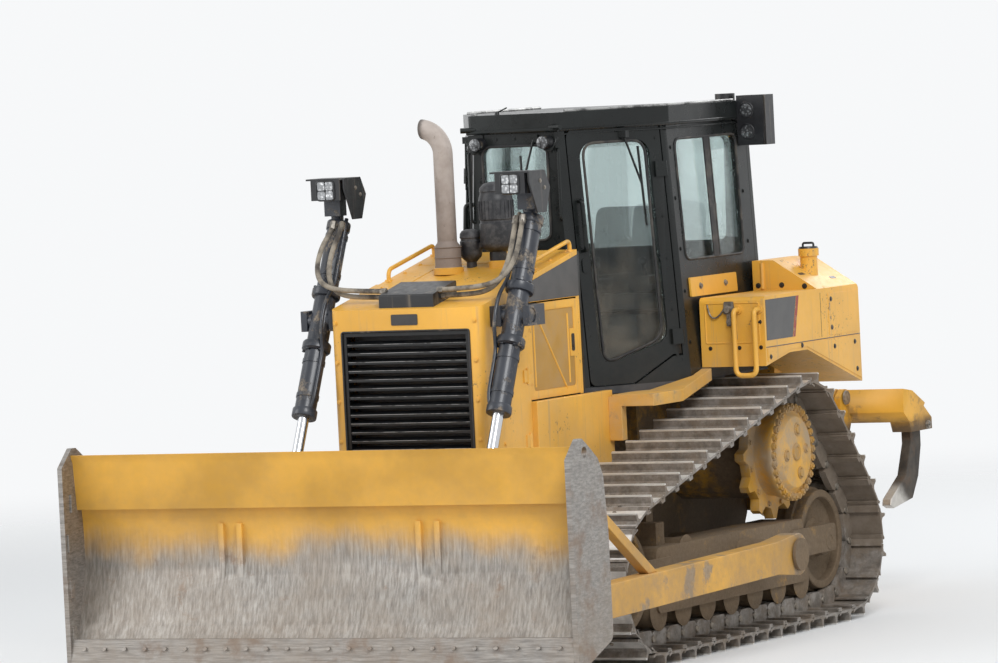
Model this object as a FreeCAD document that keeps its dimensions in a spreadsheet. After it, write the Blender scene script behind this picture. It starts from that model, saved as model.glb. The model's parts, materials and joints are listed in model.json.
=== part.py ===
"""Track-type dozer with a straight blade, a closed cab and a three-shank ripper.

Millimetres. +X is the machine's left, -Y its front, +Z up. The origin is on the ground, on the
machine's middle plane and 3150 mm behind the front of the blade's cutting edge.
"""

import FreeCAD
import Part
import Sketcher
import math
import os
import re

V = FreeCAD.Vector
doc = FreeCAD.newDocument("dozer")
sheet = doc.addObject("Spreadsheet::Sheet", "Sizes")

# Driving dimensions: name, value in millimetres, degrees or a count
SIZES = [
    # track loop
    ("track_centre_x", 945), ("shoe_width", 610), ("shoe_plate", 15), ("grouser_height", 57),
    ("grouser_root", 26), ("grouser_tip", 14), ("shoe_gap", 6), ("track_shoes", 41),
    ("link_height", 105), ("link_notch", 30), ("link_thick", 42), ("link_spread", 165),
    ("pin_depth", 52), ("tread_radius", 310),
    ("front_idler_y", -1370), ("rear_idler_y", 1290), ("sprocket_y", 780), ("sprocket_z", 1050),
    # wheels inside the loop
    ("idler_width", 118), ("idler_flange", 18), ("idler_flange_width", 50), ("idler_dish", 30),
    ("idler_hub_radius", 95), ("idler_hub_width", 230), ("wheel_seat", 0.3),
    ("sprocket_thick", 60), ("sprocket_teeth", 12), ("tooth_depth", 60), ("tooth_top", 40),
    ("hub_radius", 290), ("hub_cap_radius", 235), ("hub_cover_x", 1105), ("hub_cap_height", 28),
    ("roller_radius", 95), ("roller_flange", 15), ("roller_length", 230), ("roller_count", 7),
    ("roller_sides", 16), ("idler_sides", 28), ("roller_rim", 9),
    ("first_roller_y", -1010), ("last_roller_y", 920), ("carrier_y", -610), ("carrier_radius", 88),
    ("carrier_length", 230),
    # track frame
    ("frame_beam_bottom", 395), ("frame_beam_top", 640),
    ("frame_beam_front_y", -1040), ("frame_beam_back_y", 955), ("yoke_plate", 32),
    ("roller_guard_thick", 14),
    ("roller_guard_drop", 130), ("carrier_post", 90), ("arm_pin_y", 100), ("arm_pin_z", 500),
    ("arm_pin_radius", 60), ("arm_boss_radius", 95),
    # hull
    ("hull_half_width", 400), ("hull_wall", 70), ("belly_z", 430), ("belly_plate", 40),
    ("hull_nose_y", -1800), ("hull_nose_z", 620), ("rail_top_z", 1000), ("case_front_y", 150),
    ("case_back_y", 1600), ("drive_case_radius", 270),
    ("pivot_shaft_radius", 80), ("pivot_shaft_y", 560), ("equalizer_y", -850),
    ("equalizer_height", 130), ("equalizer_depth", 110),
    ("pull_lug_half", 85), ("pull_lug_reach", 260), ("pull_lug_edge", 70), ("pull_lug_z", 700),
    ("pull_lug_height", 100),
    ("pull_pin_radius", 26),
    ("side_panel_x", 520), ("side_panel_front_y", -1350), ("side_panel_back_y", -390),
    ("side_panel_top_z", 1515), ("side_strip_x", 476), ("side_panel_slant", 90),
    # engine room
    ("guard_front_y", -1930), ("guard_back_y", -1352), ("guard_half_width", 486),
    ("guard_wall", 36), ("guard_corner", 55), ("guard_low_z", 1000), ("guard_floor", 30),
    ("grille_half_width", 410), ("grille_low_z", 1180), ("grille_top_z", 1967),
    ("grille_frame", 26), ("grille_depth", 60), ("louvre_pitch", 50), ("louvre_thick", 14),
    ("core_depth", 120), ("core_gap", 40),
    ("hood_front_z", 2092), ("hood_back_z", 2352), ("hood_half_width", 470), ("hood_wall", 8),
    ("hood_back_y", -660), ("hood_side_z", 2078), ("panel_gap", 5),
    ("rear_post_front_y", -700),
    ("engine_half_width", 255), ("engine_front_y", -1200), ("engine_back_y", -520),
    ("engine_top_z", 1960),
    ("door_front_y", -1322), ("door_top_z", 2070), ("door_low_z", 1522), ("door_thick", 18),
    ("door_recess", 5), ("door_margin", 45), ("hinge_pin_radius", 7),
    ("exhaust_x", -130), ("exhaust_y", -1120), ("exhaust_radius", 57),
    ("exhaust_sleeve_radius", 76), ("exhaust_collar_radius", 88), ("exhaust_collar_z", 2285),
    ("exhaust_sleeve_z", 2420), ("exhaust_bend_z", 2942), ("exhaust_bend_radius", 150),
    ("exhaust_bend_angle", 88), ("exhaust_mouth", 128),
    ("intake_x", 135), ("intake_y", -1000), ("intake_radius", 48), ("intake_collar_radius", 58),
    ("intake_collar_z", 2315), ("cleaner_low_z", 2370), ("cleaner_top_z", 2770),
    ("cleaner_radius", 100), ("cleaner_neck_radius", 62), ("bowl_x", -60), ("bowl_radius", 66),
    ("bowl_top_z", 2500), ("foot_depth", 40),
    ("valve_half_width", 175), ("valve_front_y", -1900), ("valve_back_y", -1610),
    ("valve_front_z", 2172), ("valve_back_z", 2235),
    ("hose_radius", 14), ("hose_spacing", 46), ("hose_end_x", 500),
    ("hose_end_y", -1760),
    ("rail_radius", 13), ("rail_height", 62), ("hood_rail_x", 445), ("hood_rail_front_y", -1270),
    ("hood_rail_back_y", -700), ("rail_bend", 40),
    # cab
    ("cab_front_y", -470), ("cab_post_y", 200), ("cab_back_y", 1250), ("cab_back_top_y", 1320),
    ("cab_front_half", 352), ("cab_half", 750), ("cab_lean", 90), ("sill_z", 1530),
    ("roof_low_z", 3050), ("roof_top_z", 3144), ("cab_wall", 50), ("floor_thick", 45), ("floor_sheet", 9),
    ("floor_half", 620), ("floor_neck_y", 430), ("cowl_wall", 12), ("cowl_drop", 40),
    ("roof_over", 22), ("roof_edge", 25), ("pane_thick", 6), ("pane_seat", 0.3),
    ("door_post_gap", 8), ("cab_door_thick", 44), ("door_glass_margin", 82),
    ("door_glass_corner", 95), ("door_bottom_cut", 150), ("door_cut_start", 400),
    ("window_corner", 60), ("shield_low_z", 2400), ("shield_top_z", 2960),
    ("shield_half_width", 215), ("side_glass_low_z", 2230), ("side_glass_top_z", 2950),
    ("side_glass_front_y", 285), ("side_glass_back_y", 1085), ("rear_glass_low_z", 2300),
    ("rear_glass_top_z", 2940), ("rear_glass_half", 520),
    ("handle_radius", 11),
    # cab inside
    ("seat_y", 560), ("seat_half_width", 250), ("seat_depth", 480), ("seat_top_z", 1960),
    ("seat_cushion", 110), ("seat_back_z", 2560), ("seat_back_thick", 110), ("seat_lean", 70),
    ("seat_base_half", 170), ("console_half_width", 190), ("console_depth", 170),
    ("console_top_z", 2200),
    # roof lamps
    ("roof_lamp_radius", 38), ("roof_lamp_drop", 75), ("roof_lamp_length", 80), ("rear_lamp_width", 190),
    ("rear_lamp_height", 300), ("rear_lamp_depth", 120), ("beacon_radius", 60), ("beacon_height", 45),
    # fenders, boxes and tank
    ("fender_inner_x", 545), ("fender_outer_x", 815), ("fender_front_y", -450),
    ("fender_flat_y", -60), ("fender_back_y", 340), ("fender_flat_z", 1490),
    ("fender_rise", 95), ("fender_skirt", 70), ("fender_wall", 12), ("fender_leg_width", 60),
    ("fender_leg_z", 1220),
    ("box_outer_x", 1170), ("box_inner_x", 750.3), ("box_front_y", 350), ("box_back_y", 1690),
    ("box_top_z", 2000), ("box_skirt_back_z", 1410), ("box_skirt_mid_z", 1650),
    ("box_skirt_front_z", 1590), ("box_edge", 30), ("cover_front_y", 1100), ("cover_top_z", 2180),
    ("cover_flat_x", 890), ("filler_x", 1010), ("filler_y", 1350),
    ("filler_radius", 52), ("filler_height", 150), ("filler_cap_radius", 62), ("filler_cap", 45),
    ("tank_front_gap", 20), ("tank_top_z", 2150),
    ("grab_x", 1070), ("grab_half", 66), ("grab_bend", 22), ("grab_low_z", 1540), ("grab_top_z", 1945),
    ("grab_reach", 70),
    # blade
    ("blade_half_width", 1585), ("blade_low_z", 115), ("edge_front_y", -3150),
    ("moldboard_low_z", 300), ("moldboard_low_y", -3080), ("moldboard_top_y", -3030),
    ("moldboard_top_z", 1370), ("moldboard_radius", 1180), ("moldboard_thick", 22),
    ("edge_thick", 30), ("end_plate_thick", 30), ("end_plate_back_y", -2700),
    ("end_plate_top_z", 1410), ("lifting_hole_radius", 30), ("end_plate_shoulder_z", 1250),
    ("back_beam_low_z", 330),
    ("back_beam_high_z", 640), ("back_beam_depth", 190), ("top_beam_low_z", 1120),
    ("top_beam_high_z", 1300), ("top_beam_depth", 110),
    # push arms and braces
    ("push_arm_x", 1375), ("push_arm_width", 120), ("push_arm_depth", 190), ("push_eye_radius", 135),
    ("push_arm_front_z", 360), ("brace_width", 64), ("brace_low_y", -1700), ("brace_high_z", 1265),
    ("side_clearance", 8), ("running_gap", 0.3),
    # lift cylinders
    ("cylinder_x", 625), ("trunnion_y", -1770), ("trunnion_z", 2030), ("lift_eye_y", -2400),
    ("lift_eye_z", 751), ("barrel_radius", 62), ("bore_radius", 50), ("barrel_above", 600),
    ("barrel_below", 600), ("head_thick", 60), ("rod_radius", 32), ("piston_length", 80),
    ("eye_radius", 62), ("eye_width", 70), ("ear_thick", 35), ("ear_gap", 6),
    ("trunnion_radius", 42), ("trunnion_length", 34), ("yoke_arm_width", 90), ("yoke_room", 72),
    ("piston_rest", 215),
    ("lamp_post_radius", 36),
    ("lamp_width", 250), ("lamp_front_y", -1700), ("lamp_back_y", -1445), ("lamp_low_z", 2600),
    ("lamp_top_z", 2840), ("lamp_wall", 10), ("lamp_slant", 90), ("lamp_box_depth", 190), ("lamp_offset", 30),
    ("lamp_box_height", 115), ("lamp_box_half", 95),
    # ripper
    ("ripper_low_pin_y", 1780), ("ripper_low_pin_z", 700), ("ripper_rise", 250),
    ("ripper_arm_reach", 860), ("ripper_arm_climb", 300), ("ripper_pin_radius", 35),
    ("ripper_eye_radius", 70), ("ripper_arm_x", 520), ("ripper_arm_width", 80),
    ("bracket_plate", 40), ("bracket_top_z", 1480), ("bracket_low_z", 520), ("bracket_base", 30),
    ("ripper_eye_along", 700), ("ripper_eye_up", 130), ("cross_tube_radius", 42),
    ("ripper_eye_width", 70), ("ripper_foot_radius", 62), ("ripper_rod_eye_radius", 48),
    ("beam_half_width", 978), ("beam_front_y", 2700), ("beam_low_z", 1080), ("beam_top_z", 1294),
    ("beam_flat", 145), ("beam_depth", 330), ("beam_slope", 110), ("beam_keel_y", 86), ("beam_keel", 128),
    ("beam_nose", 67), ("shank_x", 900), ("shank_thick", 62), ("shank_count", 3), ("shank_front_y", 2887),
    ("shank_depth", 158), ("shank_top_z", 1125), ("shank_tip_y", 2560), ("shank_tip_z", 560),
    ("holder_cheek", 34), ("holder_low_z", 1015), ("holder_back", 120),
    ("ripper_cylinder_x", 250),
    ("ripper_barrel_radius", 60), ("ripper_bore_radius", 48), ("ripper_rod_radius", 30),
    ("ripper_barrel_length", 640),
]


def fill_sheet():
    """Write each driving dimension into the sheet as plain text with an alias."""
    for row, (alias, number) in enumerate(SIZES, start=1):
        sheet.set("A%d" % row, alias)
        sheet.set("B%d" % row, repr(number))
        sheet.setAlias("B%d" % row, alias)
    doc.recompute()


fill_sheet()
ALIASES = {alias for alias, _ in SIZES}


def expand(text):
    """Turn the words of a formula into references to the sheet."""
    return re.sub(r"[a-z][a-z_0-9]*", lambda m: "Sizes." + m[0] if m[0] in ALIASES else m[0], str(text))


def number(text):
    """The value of a formula, as a plain number."""
    result = sheet.evalExpression(expand(text))
    return float(getattr(result, "Value", result))


def bind(thing, target, text):
    """Bind one property of an object to a formula on the sheet."""
    thing.setExpression(target, expand(text))


def derive(alias, result):
    """Add a worked-out size to the sheet, as a plain number."""
    row = len(ALIASES) + 1
    sheet.set("A%d" % row, alias)
    sheet.set("B%d" % row, repr(round(result, 6)))
    sheet.setAlias("B%d" % row, alias)
    ALIASES.add(alias)
    doc.recompute()


# Sketching and part helpers

PLANES = {"XY": ("XY_Plane", 1), "XZ": ("XZ_Plane", -1), "YZ": ("YZ_Plane", 1)}


def body(name):
    return doc.addObject("PartDesign::Body", name)


def unit(a, b):
    span = math.hypot(b[0] - a[0], b[1] - a[1])
    return ((b[0] - a[0]) / span, (b[1] - a[1]) / span)


def empty_sketch(piece, plane, offset="0"):
    """A sketch on one of the body's own planes, moved along that plane's axis."""
    role, sign = PLANES[plane]
    sketch = piece.newObject("Sketcher::SketchObject", "outline")
    sketch.AttachmentSupport = [(next(f for f in piece.Origin.OriginFeatures if f.Role == role), "")]
    sketch.MapMode = "FlatFace"
    bind(sketch, "AttachmentOffset.Base.z", "(%s) * %d" % (offset, sign))
    return sketch


def corner_arc(before, corner, after, radius):
    """The arc that rounds a corner, and where it leaves the two sides."""
    into, out = unit(before, corner), unit(corner, after)
    cross = into[0] * out[1] - into[1] * out[0]
    turn = math.atan2(cross, into[0] * out[0] + into[1] * out[1])
    back = radius * math.tan(abs(turn) / 2)
    start = (corner[0] - into[0] * back, corner[1] - into[1] * back)
    end = (corner[0] + out[0] * back, corner[1] + out[1] * back)
    side = 1 if turn > 0 else -1
    centre = V(start[0] - into[1] * radius * side, start[1] + into[0] * radius * side, 0)
    angles = [math.atan2(q[1] - centre.y, q[0] - centre.x) for q in (start, end)]
    if side < 0:
        angles.reverse()
    circle = Part.Circle(centre, V(0, 0, 1), radius)
    return Part.ArcOfCircle(circle, angles[0], angles[1]), start, end, side


def bent_edge(a, b, radius, side):
    """An arc from a to b that bulges to the left (1) or right (-1) of the way from a to b."""
    way = unit(a, b)
    half = math.hypot(b[0] - a[0], b[1] - a[1]) / 2
    rise = radius - math.sqrt(radius ** 2 - half ** 2)
    middle = ((a[0] + b[0]) / 2 - way[1] * rise * side, (a[1] + b[1]) / 2 + way[0] * rise * side)
    return Part.Arc(V(a[0], a[1], 0), V(middle[0], middle[1], 0), V(b[0], b[1], 0))


def fix_point(sketch, geometry, place, u, v):
    """Hold one point of the sketch at two formulas."""
    for kind, text in (("DistanceX", u), ("DistanceY", v)):
        index = sketch.addConstraint(Sketcher.Constraint(kind, -1, 1, geometry, place, number(text)))
        bind(sketch, "Constraints[%d]" % index, text)


def add_loop(sketch, corners, bends=None):
    """Draw a closed outline. A corner is (u, v) or (u, v, radius); bends maps an edge's
    number to (radius, side) of its arc."""
    bends = bends or {}
    count = len(corners)
    spots = [(number(c[0]), number(c[1])) for c in corners]
    starts, ends, arcs = list(spots), list(spots), {}
    for i, corner in enumerate(corners):
        if len(corner) == 3:
            shape, ends[i], starts[i], side = corner_arc(
                spots[i - 1], spots[i], spots[(i + 1) % count], number(corner[2]))
            arcs[i] = (sketch.addGeometry(shape, False), side)
    edges = []
    for i in range(count):
        a, b = starts[i], ends[(i + 1) % count]
        if i in bends:
            shape = bent_edge(a, b, number(bends[i][0]), bends[i][1])
            edge = sketch.addGeometry(shape, False)
            first, last = (1, 2) if bends[i][1] < 0 else (2, 1)
            index = sketch.addConstraint(Sketcher.Constraint("Radius", edge, number(bends[i][0])))
            bind(sketch, "Constraints[%d]" % index, bends[i][0])
        else:
            edge = sketch.addGeometry(Part.LineSegment(V(a[0], a[1], 0), V(b[0], b[1], 0)), False)
            first, last = 1, 2
        edges.append((edge, first, last))
    for i, corner in enumerate(corners):
        arriving, _, far = edges[i - 1]
        leaving, near, _ = edges[i]
        if i in arcs:
            arc, side = arcs[i]
            first, last = (1, 2) if side > 0 else (2, 1)
            sketch.addConstraint(Sketcher.Constraint("Tangent", arriving, far, arc, first))
            sketch.addConstraint(Sketcher.Constraint("Tangent", arc, last, leaving, near))
            index = sketch.addConstraint(Sketcher.Constraint("Radius", arc, number(corner[2])))
            bind(sketch, "Constraints[%d]" % index, corner[2])
            point = sketch.addGeometry(Part.Point(V(spots[i][0], spots[i][1], 0)), True)
            sketch.addConstraint(Sketcher.Constraint("PointOnObject", point, 1, arriving))
            sketch.addConstraint(Sketcher.Constraint("PointOnObject", point, 1, leaving))
            fix_point(sketch, point, 1, corner[0], corner[1])
        else:
            sketch.addConstraint(Sketcher.Constraint("Coincident", arriving, far, leaving, near))
            fix_point(sketch, leaving, near, corner[0], corner[1])
    return sketch


def add_circle(sketch, u, v, radius):
    shape = Part.Circle(V(number(u), number(v), 0), V(0, 0, 1), number(radius))
    circle = sketch.addGeometry(shape, False)
    fix_point(sketch, circle, 3, u, v)
    index = sketch.addConstraint(Sketcher.Constraint("Radius", circle, number(radius)))
    bind(sketch, "Constraints[%d]" % index, radius)
    return sketch


def outline(piece, plane, corners, offset="0", bends=None):
    return add_loop(empty_sketch(piece, plane, offset), corners, bends)


def set_side(feature, way, forward):
    """Make a pad or pocket reach both ways, or along plus or minus its plane's axis."""
    if way == "both":
        feature.SideType = "Symmetric"
    else:
        feature.Reversed = (way == "plus") != forward


def pad(piece, sketch, plane, length, way="both"):
    feature = piece.newObject("PartDesign::Pad", "pad")
    feature.Profile = sketch
    bind(feature, "Length", length)
    set_side(feature, way, PLANES[plane][1] > 0)
    return feature


def pocket(piece, sketch, plane, length, way="both"):
    feature = piece.newObject("PartDesign::Pocket", "pocket")
    feature.Profile = sketch
    bind(feature, "Length", length)
    set_side(feature, way, PLANES[plane][1] < 0)
    doc.recompute()
    if feature.Shape.Volume >= feature.BaseFeature.Shape.Volume - 1:
        raise RuntimeError(piece.Label + ": a pocket cuts nothing")
    return feature


def slab(name, plane, corners, length, offset="0", way="both", bends=None):
    """A body with one padded outline."""
    piece = body(name)
    pad(piece, outline(piece, plane, corners, offset, bends), plane, length, way)
    return piece


def box_corners(u0, v0, u1, v1, *radius):
    return [(u0, v0, *radius), (u1, v0, *radius), (u1, v1, *radius), (u0, v1, *radius)]


def place(piece, x="0", y="0", z="0"):
    for axis, text in zip("xyz", (x, y, z)):
        bind(piece, "Placement.Base." + axis, text)
    return piece


def turned(name, axis, profile, at=("0", "0", "0")):
    """A body of revolution. The profile's points are (along the axis, distance from it)."""
    piece = body(name)
    plane, along = ("XY", "H_Axis") if axis == "X" else ("XZ", "V_Axis")
    points = profile if axis == "X" else [(q[1], q[0], *q[2:]) for q in profile]
    sketch = outline(piece, plane, points)
    feature = piece.newObject("PartDesign::Revolution", "turn")
    feature.Profile = sketch
    feature.ReferenceAxis = (sketch, [along])
    feature.Angle = 360
    return place(piece, *at)


TURNS = {"X": (V(0, 1, 0), 90), "Y": (V(1, 0, 0), -90), "Z": (V(0, 0, 1), 0)}


def rod(name, axis, at, radius, length):
    """A round bar from a point along one axis."""
    piece = doc.addObject("Part::Cylinder", name)
    piece.Placement = FreeCAD.Placement(V(0, 0, 0), FreeCAD.Rotation(*TURNS[axis]))
    bind(piece, "Radius", radius)
    bind(piece, "Height", length)
    return place(piece, *at)


def block(name, low, size):
    piece = doc.addObject("Part::Box", name)
    for prop, text in zip(("Length", "Width", "Height"), size):
        bind(piece, prop, text)
    return place(piece, *low)


def fuse(name, *pieces):
    result = doc.addObject("Part::MultiFuse", name)
    result.Shapes = list(pieces)
    return result


def cut(name, base, tool):
    result = doc.addObject("Part::Cut", name)
    result.Base = base
    result.Tool = tool
    return result


def group(name, *pieces):
    """Like pieces on one body that don't touch."""
    result = doc.addObject("Part::Compound", name)
    result.Links = list(pieces)
    return result


def mirror(name, source):
    result = doc.addObject("Part::Mirroring", name)
    result.Source = source
    result.Normal = V(1, 0, 0)
    return result


def made(name, shape):
    """A shape that part functions make from the sheet's numbers."""
    piece = doc.addObject("Part::Feature", name)
    piece.Shape = shape
    return piece


def bar(points, radius, sides=8):
    """A mitred bar with a few flat sides, for rails and hoses."""
    spots = [V(*[number(c) for c in p]) for p in points]
    way = (spots[1] - spots[0]).normalize()
    turn = FreeCAD.Rotation(V(0, 0, 1), way)
    corners = []
    for i in range(sides + 1):
        angle = 2 * math.pi * (i % sides + 0.5) / sides
        corners.append(spots[0] + turn.multVec(V(math.cos(angle), math.sin(angle), 0) * number(radius)))
    spine = Part.makePolygon(spots)
    return spine.makePipeShell([Part.makePolygon(corners)], True, False, 1)


def prism(name, axis, at, radius, length, sides):
    """A many-sided bar from a point along one axis."""
    piece = doc.addObject("Part::Prism", name)
    piece.Placement = FreeCAD.Placement(V(0, 0, 0), FreeCAD.Rotation(*TURNS[axis]))
    bind(piece, "Polygon", sides)
    bind(piece, "Circumradius", radius)
    bind(piece, "Height", length)
    return place(piece, *at)


NODES = {}


def node(name, piece):
    """Keep a finished sub-part under its own label."""
    piece.Label = name
    NODES[name] = piece
    return piece


def both_sides(name, piece):
    """Keep a left-hand piece and its mirror image."""
    node(name + "_left", piece)
    node(name + "_right", mirror(name + "_mirror", piece))


def pair(name, piece):
    """Keep a left-hand piece and its mirror image in one node."""
    node(name, group(name + "_pair", piece, mirror(name + "_mirror", piece)))


# Track loop

IDLER_Z = "(tread_radius + link_height + shoe_plate + grouser_height)"
PITCH_RADIUS = number("tread_radius + pin_depth")


def loop_wheels():
    """Wheel centres in the YZ plane, in the order that the chain meets them."""
    idler_z = number(IDLER_Z)
    return [(number("front_idler_y"), idler_z), (number("rear_idler_y"), idler_z),
            (number("sprocket_y"), number("sprocket_z"))]


def loop_points(count):
    """Even steps round the wheels at the chain's pitch line, and the length of a step."""
    wheels = loop_wheels()
    ways = [unit(a, b) for a, b in zip(wheels, wheels[1:] + wheels[:1])]
    runs = []
    for i, centre in enumerate(wheels):
        following = wheels[(i + 1) % len(wheels)]
        runs.append(("line", centre, ways[i], math.dist(centre, following)))
        start = math.atan2(ways[i][1], ways[i][0])
        ahead = ways[(i + 1) % len(wheels)]
        turn = (math.atan2(ahead[1], ahead[0]) - start) % (2 * math.pi)
        runs.append(("arc", following, start, turn * PITCH_RADIUS))
    total = sum(run[3] for run in runs)
    step = total / count
    points, done, left = [], 0.0, step / 2
    for kind, centre, way, length in runs:
        while left <= done + length:
            along = left - done
            if kind == "line":
                normal = (way[1], -way[0])
                points.append((centre[0] + way[0] * along + normal[0] * PITCH_RADIUS,
                               centre[1] + way[1] * along + normal[1] * PITCH_RADIUS))
            else:
                angle = way - math.pi / 2 + along / PITCH_RADIUS
                points.append((centre[0] + math.cos(angle) * PITCH_RADIUS,
                               centre[1] + math.sin(angle) * PITCH_RADIUS))
            left += step
        done += length
    return points, step


def ring(outer, inner, low_x, high_x):
    """A band between two closed outlines in the YZ plane."""
    faces = []
    for loop in (outer, inner):
        wire = Part.makePolygon([V(low_x, *p) for p in loop + loop[:1]])
        faces.append(Part.Face(wire))
    return faces[0].cut(faces[1]).extrude(V(high_x - low_x, 0, 0))


def track_shape():
    """Shoes with one grouser each, on two rails of links, as one closed loop."""
    pins, step = loop_points(round(number("track_shoes")))
    plate_in = number("link_height - pin_depth")
    plate_out = plate_in + number("shoe_plate")
    tip = plate_out + number("grouser_height")
    root, crest = number("grouser_root") / 2, number("grouser_tip") / 2
    half = step / 2 - number("shoe_gap")
    shoes, seat, rail = [], [], []
    for a, b in zip(pins, pins[1:] + pins[:1]):
        way = unit(a, b)
        normal = (way[1], -way[0])
        middle = ((a[0] + b[0]) / 2, (a[1] + b[1]) / 2)
        chord = math.dist(a, b)

        def spot(along, out):
            return tuple(middle[i] + way[i] * along + normal[i] * out for i in (0, 1))

        grouser = chord / 5
        for along, out in ((-half, plate_in), (-half, plate_out), (grouser - root, plate_out),
                           (grouser - crest, tip), (grouser + crest, tip), (grouser + root, plate_out),
                           (half, plate_out), (half, plate_in)):
            shoes.append(spot(along, out))
        seat += [spot(-half, plate_in - number("shoe_plate") / 3),
                 spot(half, plate_in - number("shoe_plate") / 3)]
        flat = chord / 2 - number("link_notch")
        rail += [spot(-flat, -number("pin_depth")), spot(flat, -number("pin_depth")),
                 spot(chord / 2, -number("pin_depth") / 2)]
    centre, reach = number("track_centre_x"), number("shoe_width") / 2
    shape = ring(shoes, seat, centre - reach, centre + reach)
    spread, thick = number("link_spread") / 2, number("link_thick")
    for side in (-1, 1):
        low = centre + side * spread - thick / 2
        shape = shape.fuse(ring(seat, rail, low, low + thick))
    return shape.removeSplitter(), step


TRACK, PITCH = track_shape()
derive("apothem", math.sqrt(PITCH_RADIUS ** 2 - (PITCH / 2) ** 2))
IDLER_RADIUS = "(apothem - pin_depth - wheel_seat)"
RAIL_Z = "(%s - tread_radius)" % IDLER_Z


def tracks():
    both_sides("track", made("track", TRACK))


def centred(name, y, z, radius, length, sides):
    """A many-sided bar across the track, with its middle on the track's line."""
    return prism(name, "X", ("track_centre_x - (%s) / 2" % length, y, z), radius, length, sides)


def wheel(name, y, z):
    """An idler: a wide tread with a guide flange round its middle, dished sides and a hub."""
    sides, width = "idler_sides", "idler_width + 60"
    tread = centred(name + "_tread", y, z, IDLER_RADIUS, width, sides)
    dishes = []
    for label, start in (("outer", "track_centre_x + idler_dish"),
                         ("inner", "track_centre_x - (%s) / 2 - 10" % width)):
        dishes.append(prism(name + "_dish_" + label, "X", (start, y, z), IDLER_RADIUS + " - 45",
                            "(%s) / 2 - idler_dish + 10" % width, sides))
    rim = cut(name + "_rim", tread, fuse(name + "_dishes", *dishes))
    flange = centred(name + "_flange", y, z, IDLER_RADIUS + " + idler_flange", "idler_flange_width", sides)
    hub = centred(name + "_hub", y, z, "idler_hub_radius", "idler_hub_width", sides)
    return fuse(name, rim, flange, hub)


def roller(name, y, z, radius, length):
    """A double-flange roller on its shaft's line."""
    core = centred(name + "_core", y, z, radius, length, "roller_sides")
    start = "link_spread / 2 + link_thick / 2 + 2"
    rims = [prism(name + "_rim_" + label, "X", ("track_centre_x " + x, y, z), radius + " + roller_flange",
                  "roller_rim", "roller_sides")
            for label, x in (("outer", "+ " + start), ("inner", "- (%s) - roller_rim" % start))]
    return fuse(name, core, *rims)


def rollers():
    """Idlers, bottom rollers and the carrier roller, each fixed on its shaft."""
    count = round(number("roller_count"))
    pieces = [wheel("front_idler", "front_idler_y", IDLER_Z), wheel("rear_idler", "rear_idler_y", IDLER_Z)]
    for i in range(count):
        y = "first_roller_y + (last_roller_y - first_roller_y) * %d / %d" % (i, count - 1)
        pieces.append(roller("roller_%d" % i, y, RAIL_Z + " + roller_radius + wheel_seat", "roller_radius",
                             "roller_length"))
    pieces.append(roller("carrier", "carrier_y", "carrier_z", "carrier_radius", "carrier_length"))
    pair("rollers", group("running_gear", *pieces))


def sprockets():
    """Toothed ring between the chain's rails, with the domed hub outside it."""
    count = round(number("sprocket_teeth"))
    top = number("apothem + link_height - pin_depth - wheel_seat - 6")
    low = top - number("tooth_depth")
    half_top = number("tooth_top") / 2
    corners = []
    for i in range(count):
        middle = 2 * math.pi * i / count
        for radius, across in ((top, -half_top), (top, half_top), (low, half_top * 1.6 + 18)):
            angle = middle + math.atan2(across, radius)
            corners.append((math.cos(angle) * radius, math.sin(angle) * radius))
        angle = 2 * math.pi * (i + 1) / count - math.atan2(half_top * 1.6 + 18, low)
        corners.append((math.cos(angle) * low, math.sin(angle) * low))
    x = number("track_centre_x")
    thick = number("sprocket_thick")
    face = Part.Face(Part.makePolygon([V(0, *p) for p in corners + corners[:1]]))
    toothed = made("sprocket_ring", face.extrude(V(thick, 0, 0)))
    place(toothed, "track_centre_x - sprocket_thick / 2", "sprocket_y", "sprocket_z")
    hub = turned("sprocket_hub", "X", [
        ("0", "0"), ("0", "drive_case_radius - 10"), ("sprocket_thick", "drive_case_radius - 10"),
        ("hub_cover_x - track_centre_x - 20", "hub_radius"), ("hub_cover_x - track_centre_x", "hub_radius"),
        ("hub_cover_x - track_centre_x", "hub_cap_radius"),
        ("hub_cover_x - track_centre_x + hub_cap_height", "hub_cap_radius - 25"),
        ("hub_cover_x - track_centre_x + hub_cap_height", "0")],
        ("track_centre_x", "sprocket_y", "sprocket_z"))
    pair("sprockets", fuse("sprocket", toothed, hub))


# Track frames and hull

BEAM_HALF = "(roller_length / 2 + wheel_seat + roller_guard_thick)"


def carrier_height():
    """The carrier roller's centre, so that it just meets the upper run of the chain."""
    front, _, back = loop_wheels()
    way = unit(front, back)
    drop = number("tread_radius - carrier_radius - wheel_seat")
    along = (number("carrier_y") - front[0] + way[1] * drop) / way[0]
    return front[1] + way[1] * along + way[0] * drop


derive("carrier_z", carrier_height())


def yoke(name, wheel_y, beam_y, way):
    """A plate beside an idler, from the beam's end past the idler's shaft."""
    corners = box_corners("(%s) - %s200" % (beam_y, way), "frame_beam_bottom + 20",
                          "(%s) + %s80" % (wheel_y, way), "frame_beam_top - 60", "30")
    piece = slab(name, "YZ", corners, "yoke_plate", "idler_hub_width / 2 + wheel_seat", "plus")
    return place(piece, "track_centre_x")


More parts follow.
